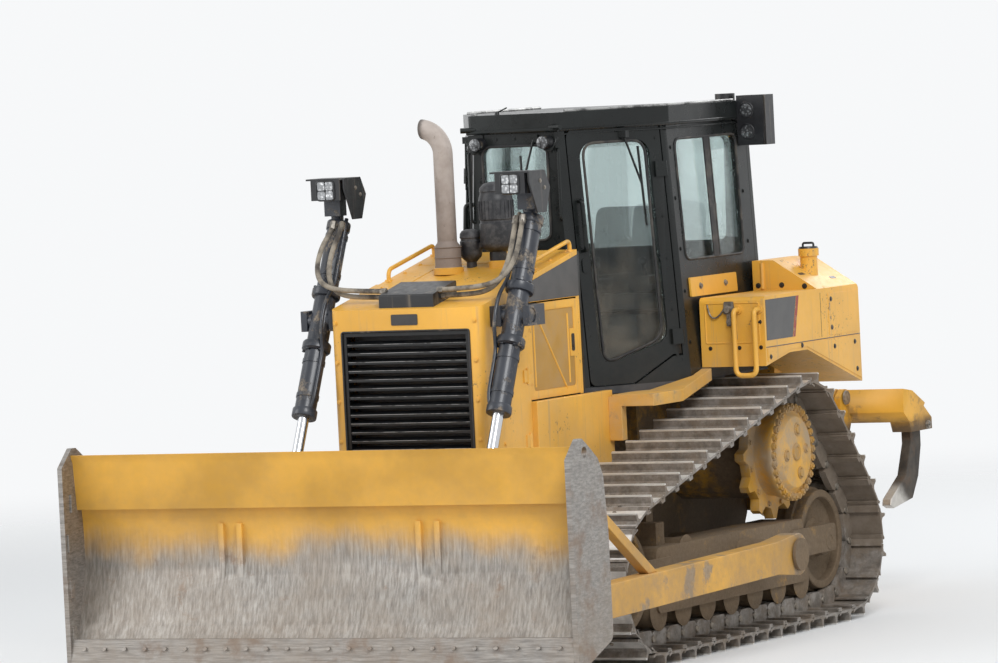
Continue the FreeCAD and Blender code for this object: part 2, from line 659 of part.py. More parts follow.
def track_frames():
    """Box beam over the rollers, with guards beside them and a yoke at each idler."""
    beam = body("beam")
    sides = box_corners("frame_beam_front_y", "frame_beam_bottom - roller_guard_drop",
                        "frame_beam_back_y", "frame_beam_top", "40")
    pad(beam, outline(beam, "YZ", sides), "YZ", "2 * " + BEAM_HALF)
    channel = box_corners("frame_beam_front_y - 50", "frame_beam_bottom - 300",
                          "frame_beam_back_y + 50", "frame_beam_bottom")
    pocket(beam, outline(beam, "YZ", channel), "YZ", "roller_length + 2 * wheel_seat")
    place(beam, "track_centre_x")
    plates = []
    for label, wheel_y, beam_y, way in (("front", "front_idler_y", "frame_beam_front_y", "-"),
                                        ("back", "rear_idler_y", "frame_beam_back_y", "")):
        outer = yoke(label + "_yoke", wheel_y, beam_y, way)
        inner = slab(label + "_inner_yoke", "YZ", box_corners(
            "(%s) - %s200" % (beam_y, way), "frame_beam_bottom + 20", "(%s) + %s80" % (wheel_y, way),
            "frame_beam_top - 60", "30"), "yoke_plate", "-(idler_hub_width / 2 + wheel_seat)", "minus")
        plates += [outer, place(inner, "track_centre_x")]
    post = block("carrier_post", ("track_centre_x - carrier_length / 2 - wheel_seat - carrier_post * 0.6",
                                  "carrier_y - carrier_post / 2", "frame_beam_top - 50"),
                 ("carrier_post * 0.6", "carrier_post", "carrier_z - frame_beam_top + 90"))
    boss = rod("arm_boss", "X", ("track_centre_x", "arm_pin_y", "arm_pin_z"), "arm_boss_radius",
               "push_arm_x - push_arm_width / 2 - side_clearance - track_centre_x")
    pin = rod("arm_pin", "X", ("track_centre_x", "arm_pin_y", "arm_pin_z"), "arm_pin_radius",
              "push_arm_x + push_arm_width / 2 + side_clearance - track_centre_x")
    cap = rod("arm_cap", "X", ("push_arm_x + push_arm_width / 2 + side_clearance", "arm_pin_y",
                               "arm_pin_z"), "arm_boss_radius", "18")
    pair("track_frames", fuse("frame", beam, *plates, post, boss, pin, cap))


def main_frame():
    """Hull: an open trough under the engine, the transmission case and the final drives."""
    hull = body("hull")
    side = [("hull_nose_y", "hull_nose_z"), ("hull_nose_y + 250", "belly_z"),
            ("case_back_y - 120", "belly_z"), ("case_back_y", "belly_z + 200"),
            ("case_back_y", "sill_z - floor_thick"), ("case_front_y", "sill_z - floor_thick"),
            ("case_front_y", "rail_top_z"), ("hull_nose_y", "rail_top_z")]
    pad(hull, outline(hull, "YZ", side), "YZ", "2 * hull_half_width")
    trough = box_corners("hull_nose_y + hull_wall", "belly_z + belly_plate + 130", "case_front_y - 80",
                         "rail_top_z + 100")
    pocket(hull, outline(hull, "YZ", trough), "YZ", "2 * (hull_half_width - hull_wall)")
    drive_reach = "track_centre_x - sprocket_thick / 2"
    drives = rod("drive_cases", "X", ("-(%s)" % drive_reach, "sprocket_y", "sprocket_z"),
                 "drive_case_radius", "2 * (%s)" % drive_reach)
    beam_side = "track_centre_x - " + BEAM_HALF
    shaft = rod("pivot_shaft", "X", ("-(%s)" % beam_side, "pivot_shaft_y", "frame_beam_top - 120"),
                "pivot_shaft_radius", "2 * (%s)" % beam_side)
    end = block("equalizer_end", ("hull_half_width - 20", "equalizer_y", "frame_beam_top"),
                ("track_centre_x + 60 - hull_half_width", "equalizer_depth", "equalizer_height"))
    bar = fuse("equalizer_ends", end, mirror("equalizer_mirror", end))
    lug = block("pull_lug", ("-pull_lug_half", "hull_nose_y - pull_lug_reach", "pull_lug_z"),
                ("2 * pull_lug_half", "pull_lug_reach + 10", "pull_lug_height"))
    pin_bore = rod("pull_bore", "Z", ("0", "hull_nose_y - pull_lug_reach + pull_lug_edge", "pull_lug_z - 10"),
                   "pull_pin_radius", "pull_lug_height + 20")
    nose = cut("pull_point", lug, pin_bore)
    legs = [block("cab_leg_%s" % side, (x, "cab_front_y + 60", "rail_top_z"),
                  ("hull_wall", "110", "sill_z - floor_thick - rail_top_z"))
            for side, x in (("left", "hull_half_width - hull_wall"), ("right", "-hull_half_width"))]
    shelf = block("tank_shelf", ("-box_inner_x", "cab_back_top_y + tank_front_gap",
                                 "sill_z - floor_thick - 60"),
                  ("2 * box_inner_x", "case_back_y - cab_back_top_y - tank_front_gap", "60"))
    node("main_frame", fuse("frame_weldment", hull, drives, shaft, bar, nose, shelf, *legs))


def side_panels():
    """Folded sheet under each engine door, from the hull's rail up to the sill."""
    wall = "16"
    corners = [("hull_half_width", "rail_top_z - 100"), ("hull_half_width + 50", "rail_top_z - 100"),
               ("side_panel_x", "rail_top_z - 100 + side_panel_slant"), ("side_panel_x", "side_panel_top_z"),
               ("side_panel_x - " + wall, "side_panel_top_z"),
               ("side_panel_x - " + wall, "rail_top_z - 92 + side_panel_slant"),
               ("hull_half_width + 44", "rail_top_z - 84"), ("hull_half_width", "rail_top_z - 84")]
    sheet = slab("side_panel", "XZ", corners, "side_panel_back_y - side_panel_front_y",
                 "side_panel_front_y", "plus")
    width = "side_panel_x - side_strip_x - 5"
    strip = block("side_panel_strip", ("side_strip_x", "side_panel_front_y", "side_panel_top_z - " + wall),
                  (width, "side_panel_back_y - side_panel_front_y", wall))
    end = block("side_panel_end",
                ("side_strip_x", "side_panel_front_y", "rail_top_z - 60 + side_panel_slant"),
                (width, wall, "side_panel_top_z - rail_top_z + 55 - side_panel_slant"))
    pair("side_panels", fuse("side_panel_whole", sheet, strip, end))


# Engine room

HOOD_SLOPE = "((hood_back_z - hood_front_z) / (hood_back_y - guard_front_y))"


def hood_z(y):
    """Height of the hood's top line at a place along the machine."""
    return "(hood_front_z + ((%s) - guard_front_y) * %s)" % (y, HOOD_SLOPE)


def engine_block():
    node("engine_block", block("engine", ("-engine_half_width", "engine_front_y",
                                          "belly_z + belly_plate + 130"),
                               ("2 * engine_half_width", "engine_back_y - engine_front_y",
                                "engine_top_z - belly_z - belly_plate - 130")))


def radiator_guard():
    """Heavy box round the radiator, open at the front for the grille and at the back."""
    guard = body("guard")
    plan = [("-guard_half_width", "guard_back_y"), ("-guard_half_width", "guard_front_y", "guard_corner"),
            ("guard_half_width", "guard_front_y", "guard_corner"), ("guard_half_width", "guard_back_y")]
    pad(guard, outline(guard, "XY", plan, "guard_low_z"), "XY", "hood_back_z - guard_low_z", "plus")
    top = [("guard_front_y - 100", hood_z("guard_front_y - 100")),
           ("guard_back_y + 100", hood_z("guard_back_y + 100")),
           ("guard_back_y + 100", "hood_back_z + 100"), ("guard_front_y - 100", "hood_back_z + 100")]
    pocket(guard, outline(guard, "YZ", top), "YZ", "3 * guard_half_width")
    inside = [("guard_front_y + guard_wall", "guard_low_z + guard_floor"),
              ("guard_back_y + 50", "guard_low_z + guard_floor"),
              ("guard_back_y + 50", hood_z("guard_back_y + 50") + " - guard_wall"),
              ("guard_front_y + guard_wall", hood_z("guard_front_y + guard_wall") + " - guard_wall")]
    pocket(guard, outline(guard, "YZ", inside), "YZ", "2 * (guard_half_width - guard_wall)")
    window = box_corners("-grille_half_width", "grille_low_z", "grille_half_width", "grille_top_z", "12")
    pocket(guard, outline(guard, "XZ", window, "guard_front_y"), "XZ", "guard_wall + 60", "both")
    node("radiator_guard", guard)


def grille():
    """Louvres across a frame that fills the guard's window."""
    piece = body("louvres")
    low, high, half = "grille_low_z + pane_seat", "grille_top_z - pane_seat", "grille_half_width - pane_seat"
    frame = outline(piece, "XZ", box_corners("-(%s)" % half, low, half, high, "12"), "guard_front_y + 6")
    add_loop(frame, box_corners("-(%s) + grille_frame" % half, "%s + grille_frame" % low,
                                "%s - grille_frame" % half, "%s - grille_frame" % high))
    pad(piece, frame, "XZ", "grille_depth", "plus")
    first = "%s + grille_frame + louvre_pitch / 2" % low
    bar = [("guard_front_y + 10", first), ("guard_front_y + 10", first + " + louvre_thick"),
           ("guard_front_y + 44", first + " + louvre_thick + 18"), ("guard_front_y + 44", first + " + 18")]
    louvre = pad(piece, outline(piece, "YZ", bar), "YZ", "2 * (%s) - grille_frame" % half)
    rows = piece.newObject("PartDesign::LinearPattern", "rows")
    rows.Originals = [louvre]
    rows.Direction = (next(f for f in piece.Origin.OriginFeatures if f.Role == "Z_Axis"), [""])
    room = number("(%s) - (%s) - 2 * grille_frame - louvre_pitch / 2" % (high, low))
    count = int(room // number("louvre_pitch"))
    rows.Mode = "Spacing" if "Spacing" in rows.getEnumerationsOfProperty("Mode") else rows.Mode
    bind(rows, "Length", "louvre_pitch * %d" % (count - 1))
    rows.Mode = "Extent" if "Extent" in rows.getEnumerationsOfProperty("Mode") else rows.Mode
    rows.Occurrences = count
    piece.Tip = rows
    node("grille", piece)


def radiator_core():
    node("radiator_core", block("core", ("-hull_half_width", "guard_front_y + guard_wall + core_gap + 60",
                                         "guard_low_z + guard_floor"),
                                ("2 * hull_half_width", "core_depth",
                                 "grille_top_z - guard_low_z - guard_floor")))


def hood():
    """Sloping engine cover with folded sides, and the fixed panel behind each door."""
    cover = body("cover")
    front = "guard_back_y"
    side = [(front, "hood_side_z"), ("hood_back_y", "hood_side_z"), ("hood_back_y", hood_z("hood_back_y")),
            (front, hood_z(front))]
    pad(cover, outline(cover, "YZ", side), "YZ", "2 * hood_half_width")
    top = [(front + " - 50", "hood_side_z - 50"), ("hood_back_y + 50", "hood_side_z - 50"),
           ("hood_back_y + 50", hood_z("hood_back_y + 50") + " - hood_wall"),
           (front + " - 50", hood_z(front + " - 50") + " - hood_wall")]
    pocket(cover, outline(cover, "YZ", top), "YZ", "2 * (hood_half_width - hood_wall)")
    back = box_corners("rear_post_front_y + panel_gap", "side_panel_top_z + pane_seat", "hood_back_y",
                       "hood_side_z")
    for x, way in (("hood_half_width", "minus"), ("-hood_half_width", "plus")):
        pad(cover, outline(cover, "YZ", back, x), "YZ", "hood_wall", way)
    node("hood", cover)


def engine_doors():
    """Side door of the engine room, hinged at its front edge."""
    door = body("door")
    corners = box_corners("door_front_y", "door_low_z", "rear_post_front_y", "door_top_z", "10")
    pad(door, outline(door, "YZ", corners, "hood_half_width"), "YZ", "door_thick", "minus")
    panel = box_corners("door_front_y + door_margin", "door_low_z + door_margin",
                        "rear_post_front_y - door_margin", "door_top_z - door_margin", "25")
    pocket(door, outline(door, "YZ", panel, "hood_half_width"), "YZ", "door_recess", "minus")
    leaves = []
    for label, height in (("low", "door_low_z + 90"), ("high", "door_top_z - 150")):
        leaves.append(rod("knuckle_" + label, "Z", ("hood_half_width + hinge_pin_radius", ENGINE_HINGE_Y,
                                                    height),
                          "hinge_pin_radius", "60"))
        leaves.append(block("leaf_" + label, ("hood_half_width - 1", ENGINE_HINGE_Y, height),
                            ("1 + hinge_pin_radius", "door_front_y + 30 - (%s)" % ENGINE_HINGE_Y, "60")))
    both_sides("engine_door", fuse("engine_side_door", door, *leaves))


ENGINE_HINGE_Y = "(guard_back_y + hinge_pin_radius + pane_seat)"


def on_hood(name, piece, y):
    """Trim a piece's foot to the slope of the hood."""
    under = slab(name + "_trim", "YZ", [
        ("%s - 600" % y, hood_z("%s - 600" % y)), ("%s - 600" % y, hood_z("%s - 600" % y) + " - 300"),
        ("%s + 600" % y, hood_z("%s + 600" % y) + " - 300"), ("%s + 600" % y, hood_z("%s + 600" % y))],
        "3 * hood_half_width")
    return cut(name, piece, under)


def exhaust():
    """Collar, flared sleeve and pipe, whose top turns to the machine's right."""
    base = turned("exhaust_base", "Z", [
        ("-foot_depth", "0"), ("-foot_depth", "exhaust_collar_radius"),
        ("exhaust_collar_z - %s" % hood_z("exhaust_y"), "exhaust_collar_radius"),
        ("exhaust_collar_z - %s" % hood_z("exhaust_y"), "exhaust_sleeve_radius"),
        ("exhaust_sleeve_z - %s" % hood_z("exhaust_y"), "exhaust_sleeve_radius - 6"),
        ("exhaust_sleeve_z - %s" % hood_z("exhaust_y"), "exhaust_radius"),
        ("exhaust_bend_z - %s" % hood_z("exhaust_y"), "exhaust_radius"),
        ("exhaust_bend_z - %s" % hood_z("exhaust_y"), "0")],
        ("exhaust_x", "exhaust_y", hood_z("exhaust_y")))
    bend = body("exhaust_bend")
    ring_sketch = empty_sketch(bend, "XY")
    add_circle(ring_sketch, "exhaust_bend_radius", "0", "exhaust_radius")
    turn = bend.newObject("PartDesign::Revolution", "elbow")
    turn.Profile = ring_sketch
    turn.ReferenceAxis = (ring_sketch, ["V_Axis"])
    bind(turn, "Angle", "exhaust_bend_angle")
    turn.Reversed = True
    place(bend, "exhaust_x - exhaust_bend_radius", "exhaust_y", "exhaust_bend_z")
    beyond = block("exhaust_beyond", ("exhaust_x - exhaust_mouth - 300", "exhaust_y - 150", "exhaust_bend_z - 100"),
                   ("300", "300", "500"))
    pipe = cut("exhaust_pipe", fuse("exhaust_whole", base, bend), beyond)
    node("exhaust_stack", on_hood("exhaust", pipe, "exhaust_y"))


def intake():
    """Air pipe with its pre-cleaner, and a small dust bowl beside it."""
    low = hood_z("intake_y")
    pipe = turned("intake_pipe", "Z", [
        ("-foot_depth", "0"), ("-foot_depth", "intake_collar_radius"),
        ("intake_collar_z - " + low, "intake_collar_radius"),
        ("intake_collar_z - " + low, "intake_radius"), ("cleaner_low_z - " + low, "cleaner_neck_radius"),
        ("cleaner_low_z - %s + 30" % low, "cleaner_radius"),
        ("cleaner_top_z - %s - 70" % low, "cleaner_radius"),
        ("cleaner_top_z - " + low, "cleaner_neck_radius"), ("cleaner_top_z - " + low, "0")],
        ("intake_x", "intake_y", low))
    bowl_low = hood_z("intake_y - bowl_radius")
    bowl = turned("dust_bowl", "Z", [
        ("-foot_depth", "0"), ("-foot_depth", "bowl_radius * 0.5"), ("40", "bowl_radius * 0.5"),
        ("70", "bowl_radius"),
        ("bowl_top_z - %s" % bowl_low, "bowl_radius"), ("bowl_top_z - %s" % bowl_low, "0")],
        ("bowl_x + 20", "intake_y", bowl_low))
    node("air_intake", on_hood("intake", group("intake_set", pipe, bowl), "intake_y"))


def valve_box():
    sides = [("valve_front_y", hood_z("valve_front_y")), ("valve_back_y", hood_z("valve_back_y")),
             ("valve_back_y", "valve_back_z", "12"), ("valve_front_y", "valve_front_z", "12")]
    node("valve_box", slab("valves", "YZ", sides, "2 * valve_half_width"))


def hoses():
    """Two hoses from each side of the valve box, over the guard to the swivel by the cylinder."""
    bars = []
    for i in (0, 1):
        z = "%s + 40 + %d * hose_spacing" % (hood_z("hose_end_y"), i)
        y = "hose_end_y - %d * hose_spacing" % (1 - i)
        bars.append(bar([("valve_half_width", y, z), ("hose_end_x - 60", y, z),
                         ("hose_end_x", y, "(%s) + 60" % z), ("hose_end_x", y, "(%s) + 140" % z)],
                         "hose_radius"))
    pair("lift_hoses", made("hose_pair", Part.makeCompound(bars)))


def cylinder_yokes():
    """Forks on the guard's sides that carry the lift cylinders' trunnions."""
    inner = "cylinder_x - barrel_radius - side_clearance"
    outer = "cylinder_x + barrel_radius + side_clearance"
    plates = slab("yoke_plates", "XY", [
        ("guard_half_width", "trunnion_y - yoke_arm_width / 2"), (inner, "trunnion_y - yoke_arm_width / 2"),
        (inner, "trunnion_y + barrel_radius + yoke_room"), (outer, "trunnion_y + barrel_radius + yoke_room"),
        (outer, "trunnion_y - yoke_arm_width / 2"), (outer + " + 40", "trunnion_y - yoke_arm_width / 2"),
        (outer + " + 40", "trunnion_y + barrel_radius + yoke_room + 40", "30"),
        ("guard_half_width", "trunnion_y + barrel_radius + yoke_room + 40")],
        "yoke_arm_width * 1.3", "trunnion_z", "both")
    hole = rod("yoke_bore", "X", ("guard_half_width - 10", "trunnion_y", "trunnion_z"),
               "trunnion_radius + running_gap", "cylinder_x")
    pair("cylinder_yokes", cut("yoke_fork", plates, hole))


# Cab

SLOPE = "(cab_lean / (roof_low_z - sill_z))"


def cab_frame_at(origin, across, up):
    """A placement whose X runs along a panel and whose Y runs up it."""
    x, y = V(*across).normalize(), V(*up).normalize()
    z = x.cross(y).normalize()
    rotation = FreeCAD.Rotation(x, z.cross(x), z, "ZXY")
    return FreeCAD.Placement(V(*[number(c) for c in origin]), rotation)


def loft(name, low_z, low, high_z, high):
    """A straight loft between a plan outline and the same outline higher up."""
    piece = body(name)
    feature = piece.newObject("PartDesign::AdditiveLoft", "loft")
    feature.Profile = outline(piece, "XY", low, low_z)
    feature.Sections = [outline(piece, "XY", high, high_z)]
    feature.Ruled = True
    return piece


def shifted(corners, dx, dy="0"):
    return [("(%s) - %s" % (c[0], dx), "(%s) + %s" % (c[1], dy)) for c in corners]


DOOR_WAY = unit((number("cab_half"), number("cab_post_y")), (number("cab_front_half"), number("cab_front_y")))
DOOR_X, DOOR_Y = DOOR_WAY


def door_point(along, inward):
    """Plan point at the sill: a distance from the middle post towards the front post, and inwards."""
    return ("cab_half + (%s) * %r + (%s) * %r" % (along, DOOR_X, inward, DOOR_Y),
            "cab_post_y + (%s) * %r - (%s) * %r" % (along, DOOR_Y, inward, DOOR_X))


DOOR_SPAN = math.dist((number("cab_half"), number("cab_post_y")),
                      (number("cab_front_half"), number("cab_front_y")))
FRONT_POST, MIDDLE_POST = "70", "42"


def cab_floor():
    """Floor plate with the cab's plan, on the transmission case and the front legs."""
    plan = [("-cab_front_half", "cab_front_y"), ("cab_front_half", "cab_front_y"), ("cab_half", "cab_post_y"),
            ("cab_half", "cab_back_y"), ("-cab_half", "cab_back_y"), ("-cab_half", "cab_post_y")]
    sheet = slab("floor_plate", "XY", plan, "floor_sheet", "sill_z - floor_sheet", "plus")
    neck = [("-cab_front_half", "cab_front_y"), ("cab_front_half", "cab_front_y"), ("cab_half", "cab_post_y"),
            ("cab_half", "floor_neck_y"), ("floor_half", "floor_neck_y"), ("floor_half", "cab_back_y"),
            ("-floor_half", "cab_back_y"), ("-floor_half", "floor_neck_y"), ("-cab_half", "floor_neck_y"),
            ("-cab_half", "cab_post_y")]
    frame = slab("floor_frame", "XY", neck, "floor_thick", "sill_z - floor_thick", "plus")
    node("cab_floor", fuse("floor", sheet, frame))


def between_sills(name, piece):
    """Trim a leaning wall flat at the floor and at the roof."""
    reach = box_corners("-2 * cab_half", "2 * cab_front_y", "2 * cab_half", "2 * cab_back_y")
    room = slab(name + "_room", "XY", reach, "roof_low_z - sill_z", "sill_z", "plus")
    result = doc.addObject("Part::MultiCommon", name)
    result.Shapes = [piece, room]
    return result


def cowl():
    """Hollow cover that joins the hood's open back to the foot of the cab's front wall."""
    def plan(less):
        half, back = "hood_half_width - hood_wall - pane_seat - %s" % less, "cab_front_half - 40 - %s" % less
        return [("-(%s)" % half, "hood_back_y - panel_gap * 6"), (half, "hood_back_y - panel_gap * 6"),
                (half, "hood_back_y + cowl_drop"), (back, "cab_front_y - pane_seat"),
                ("-(%s)" % back, "cab_front_y - pane_seat"), ("-(%s)" % half, "hood_back_y + cowl_drop")]

    top = hood_z("hood_back_y - panel_gap * 6") + " - hood_wall - pane_seat"
    outer = slab("cowl_outer", "XY", plan("0"), "%s - sill_z" % top, "sill_z", "plus")
    inner = slab("cowl_inner", "XY", plan("cowl_wall"), "%s - sill_z - cowl_wall + 50" % top,
                 "sill_z - 50", "plus")
    doc.recompute()
    place(inner, "0", "-cowl_wall", "0")
    open_front = block("cowl_front", ("-(hood_half_width - hood_wall - cowl_wall)", "hood_back_y - 100",
                                      "sill_z - 50"),
                       ("2 * (hood_half_width - hood_wall - cowl_wall)", "110",
                        "%s - sill_z - cowl_wall + 50" % top))
    return cut("cowl", outer, fuse("cowl_room", inner, open_front))


def cab_front():
    """Bulkhead and windscreen frame between two leaning front posts."""
    wall = body("bulkhead")
    half_top = "cab_front_half - cab_lean"
    corners = [("-cab_front_half + 40", "sill_z"), ("cab_front_half - 40", "sill_z"),
               (half_top + " - 40", "roof_low_z"), ("-(%s - 40)" % half_top, "roof_low_z")]
    pad(wall, outline(wall, "XZ", corners, "cab_front_y"), "XZ", "cab_wall", "plus")
    window = box_corners("-shield_half_width", "shield_low_z", "shield_half_width", "shield_top_z",
                         "window_corner")
    pocket(wall, outline(wall, "XZ", window, "cab_front_y"), "XZ", "cab_wall * 3", "both")
    low = [("cab_front_half", "cab_front_y"), door_point(str(DOOR_SPAN) + " - " + FRONT_POST, "0"),
           door_point(str(DOOR_SPAN) + " - " + FRONT_POST, "cab_wall"),
           ("cab_front_half - 50", "cab_front_y + cab_wall"), ("cab_front_half - 50", "cab_front_y")]
    post = loft("front_post", "sill_z", low, "roof_low_z", shifted(low, "cab_lean"))
    frame = between_sills("cab_front_walls",
                          fuse("cab_front_frame", wall, post, mirror("front_post_mirror", post)))
    node("cab_front", group("cab_front_set", frame, cowl()))


def side_height(z):
    """Distance up the leaning side panel for a height."""
    return "((%s) - sill_z) * sqrt(1 + %s * %s)" % (z, SLOPE, SLOPE)


def side_panel_frame():
    lean = number(SLOPE)
    return cab_frame_at(("cab_half", "0", "sill_z"), (0, 1, 0), (-lean, 0, 1))


def window_outline():
    """The side window follows the rear post's rake."""
    rake = "(cab_back_top_y - cab_back_y) * (side_glass_top_z - side_glass_low_z) / (roof_low_z - sill_z)"
    low, high = side_height("side_glass_low_z"), side_height("side_glass_top_z")
    return [("side_glass_front_y", low, "window_corner"), ("side_glass_back_y", low, "window_corner"),
            ("side_glass_back_y + " + rake, high, "window_corner"),
            ("side_glass_front_y", high, "window_corner")]


def inset(corners, gap):
    """The same outline, smaller by a gap all round, for the pane in a window."""
    middle = [sum(number(c[i]) for c in corners) / len(corners) for i in (0, 1)]
    result = []
    for corner in corners:
        u, v = [("(%s) %s %s" % (corner[i], "+" if number(corner[i]) < middle[i] else "-",
                                 gap)) for i in (0, 1)]
        result.append((u, v) + (("(%s) - %s" % (corner[2], gap),) if len(corner) == 3 else ()))
    return result


def cab_sides(rear):
    """Side panel behind each door: middle post, sill, window opening and rear post."""
    panel = body("side")
    rear_low = "cab_back_y - cab_wall * 1.002"
    rear_high = "cab_back_top_y - cab_wall * 1.002"
    high = side_height("roof_low_z")
    corners = [("cab_post_y", "0"), (rear_low, "0"), (rear_high, high), ("cab_post_y", high)]
    pad(panel, outline(panel, "XY", corners), "XY", "cab_wall", "minus")
    pocket(panel, outline(panel, "XY", window_outline()), "XY", "3 * cab_wall", "both")
    doc.recompute()
    panel.Placement = side_panel_frame()
    low = [("cab_half", "cab_post_y"), door_point(MIDDLE_POST, "0"), door_point(MIDDLE_POST, "cab_wall"),
           ("cab_half - cab_wall", "cab_post_y + 40"), ("cab_half", "cab_post_y + 40")]
    low.reverse()
    post = loft("middle_post", "sill_z", low, "roof_low_z", shifted(low, "cab_lean"))
    spot, _, at, near, low, _, _ = door_frame()
    step = slab("door_step", "XY", [at("%s - 10" % MIDDLE_POST, "-20"), at("door_cut_start + 30", "-20"),
                                    at("%s + 60" % near, "door_bottom_cut - 4"),
                                    at("%s - 10" % MIDDLE_POST, "door_bottom_cut - 4")], "cab_door_thick",
                                    "0", "plus")
    doc.recompute()
    step.Placement = spot
    whole = between_sills("cab_side_walls", fuse("cab_side_frame", panel, post, step))
    pair("cab_sides", cut("cab_side_fitted", whole, rear))


def cab_rear():
    """Raked rear wall with its window."""
    wall = body("rear_wall")
    rake = "((cab_back_top_y - cab_back_y) / (roof_low_z - sill_z))"
    high = "(roof_low_z - sill_z) * sqrt(1 + %s * %s)" % (rake, rake)
    half_top = "(cab_half - cab_lean)"
    pad(wall, outline(wall, "XY", [("-cab_half", "0"), ("cab_half", "0"), (half_top, high),
                                   ("-" + half_top, high)]),
        "XY", "cab_wall", "plus")
    window = box_corners("-rear_glass_half", "rear_glass_low_z - sill_z", "rear_glass_half",
                         "rear_glass_top_z - sill_z", "window_corner")
    pocket(wall, outline(wall, "XY", window), "XY", "3 * cab_wall", "both")
    doc.recompute()
    spot = cab_frame_at(("0", "cab_back_y", "sill_z"), (1, 0, 0), (0, number(rake), 1))
    wall.Placement = spot
    rear = between_sills("cab_rear_wall", wall)
    node("cab_rear", rear)
    return window, spot, rear


def cab_glass(rear_window, rear_spot):
    """Windscreen, side and rear panes, each in the middle of its wall."""
    shield = box_corners("-shield_half_width", "shield_low_z", "shield_half_width", "shield_top_z",
                         "window_corner")
    front = slab("windscreen", "XZ", inset(shield, "pane_seat"), "pane_thick",
                 "cab_front_y + cab_wall / 2", "both")
    side = slab("side_pane", "XY", inset(window_outline(), "pane_seat"), "pane_thick", "-cab_wall / 2",
                "both")
    rear = slab("rear_pane", "XY", inset(rear_window, "pane_seat"), "pane_thick", "cab_wall / 2", "both")
    doc.recompute()
    side.Placement = side_panel_frame()
    rear.Placement = rear_spot
    node("cab_glass", group("panes", front, side, mirror("side_pane_mirror", side), rear))


def cab_roof():
    """Roof slab with rounded corners, standing a little proud of the walls."""
    half_front, half = "cab_front_half - cab_lean + roof_over", "cab_half - cab_lean + roof_over"
    front, back = "cab_front_y - roof_over", "cab_back_top_y + roof_over"
    plan = [("-(%s)" % half_front, front, "roof_edge"), (half_front, front, "roof_edge"),
            (half, "cab_post_y", "roof_edge"), (half, back, "roof_edge"), ("-(%s)" % half, back, "roof_edge"),
            ("-(%s)" % half, "cab_post_y", "roof_edge")]
    node("cab_roof", slab("roof", "XY", plan, "roof_top_z - roof_low_z", "roof_low_z", "plus"))


def roof_lamps():
    """Lamps over the front corners, the tall lamp and guard unit at the rear left, and the beacon."""
    pieces = []
    for label, x in (("left", "cab_front_half - cab_lean - 40"),
                     ("right", "-(cab_front_half - cab_lean - 40)")):
        pieces.append(rod("front_lamp_" + label, "Y",
                          (x, "cab_front_y - roof_lamp_length", "roof_low_z - roof_lamp_drop"),
                          "roof_lamp_radius", "roof_lamp_length"))
    pieces.append(block("rear_lamp_box", ("cab_half - cab_lean + roof_over", "cab_back_y - rear_lamp_depth",
                                          "roof_top_z + 30 - rear_lamp_height"),
                        ("rear_lamp_width", "rear_lamp_depth", "rear_lamp_height")))
    pieces.append(rod("beacon", "Z", ("cab_half - cab_lean - 80", "cab_back_y - 60", "roof_top_z"),
                      "beacon_radius", "beacon_height"))
    node("roof_lamps", group("lamps", *pieces))


def door_frame():
    """The leaning plane of the left door: its placement, its slant and its edges."""
    lean = number(SLOPE)
    spot = cab_frame_at(("cab_half", "cab_post_y", "sill_z"), (DOOR_X, DOOR_Y, 0), (-lean, 0, 1))
    # In the door's own plane the posts lean by this much for each millimetre up
    shear = (-lean * DOOR_X) / math.sqrt(1 + lean ** 2 - (lean * DOOR_X) ** 2)
    height = number("roof_low_z - sill_z") * math.sqrt(1 + lean ** 2 - (lean * DOOR_X) ** 2)
    near = MIDDLE_POST + " + door_post_gap"
    far = "%r - %s - door_post_gap" % (DOOR_SPAN, FRONT_POST)

    def at(u, v):
        return ("(%s) + (%s) * %r" % (u, v, shear), v)

    return spot, shear, at, near, "door_post_gap", "%r - door_post_gap" % height, far


def cab_doors():
    """Door between the front and middle posts, its hinge on the middle post, with one tall pane."""
    spot, shear, at, near, low, high, far = door_frame()
    door = body("door_panel")
    corners = [at(near, "%s + door_bottom_cut" % low), at("%s + 60" % near, "%s + door_bottom_cut" % low),
               at("door_cut_start", low), at(far, low) + ("40",), at(far, high) + ("60",),
               at(near, high) + ("30",)]
    pad(door, outline(door, "XY", corners), "XY", "cab_door_thick", "plus")
    edge = "door_glass_margin"
    glass = [at("%s + %s" % (near, edge), "%s + door_bottom_cut + 90" % low) + ("door_glass_corner",),
             at("%s - %s" % (far, edge), "%s + 110" % low) + ("door_glass_corner",),
             at("%s - %s" % (far, edge), "%s - %s" % (high, edge)) + ("door_glass_corner",),
             at("%s + %s" % (near, edge), "%s - %s" % (high, edge)) + ("door_glass_corner",)]
    pocket(door, outline(door, "XY", glass), "XY", "4 * cab_door_thick", "both")
    pane = slab("door_pane", "XY", inset(glass, "pane_seat"), "pane_thick", "cab_door_thick / 2", "both")
    knuckle_u = "%s - 3" % MIDDLE_POST
    fittings = []
    for label, v in (("low", "260"), ("high", "1250")):
        u, up = at(knuckle_u, v)
        leaf = slab("door_leaf_" + label, "XY", box_corners(u + " + 4", "%s - 45" % up, u + " + 75",
                                                            "%s + 45" % up),
                    "2 * handle_radius", "0", "minus")
        barrel = Part.makeCylinder(number("handle_radius - pane_seat"), 90,
                                   V(number(u) - 45 * shear, number(up) - 45, -number("handle_radius")),
                                   V(shear, 1, 0))
        fittings += [leaf, made("door_knuckle_" + label, barrel)]
    doc.recompute()
    for piece in [door, pane] + fittings:
        piece.Placement = spot
    both_sides("cab_door", fuse("cab_side_door", door, *fittings))
    both_sides("door_glass", pane)


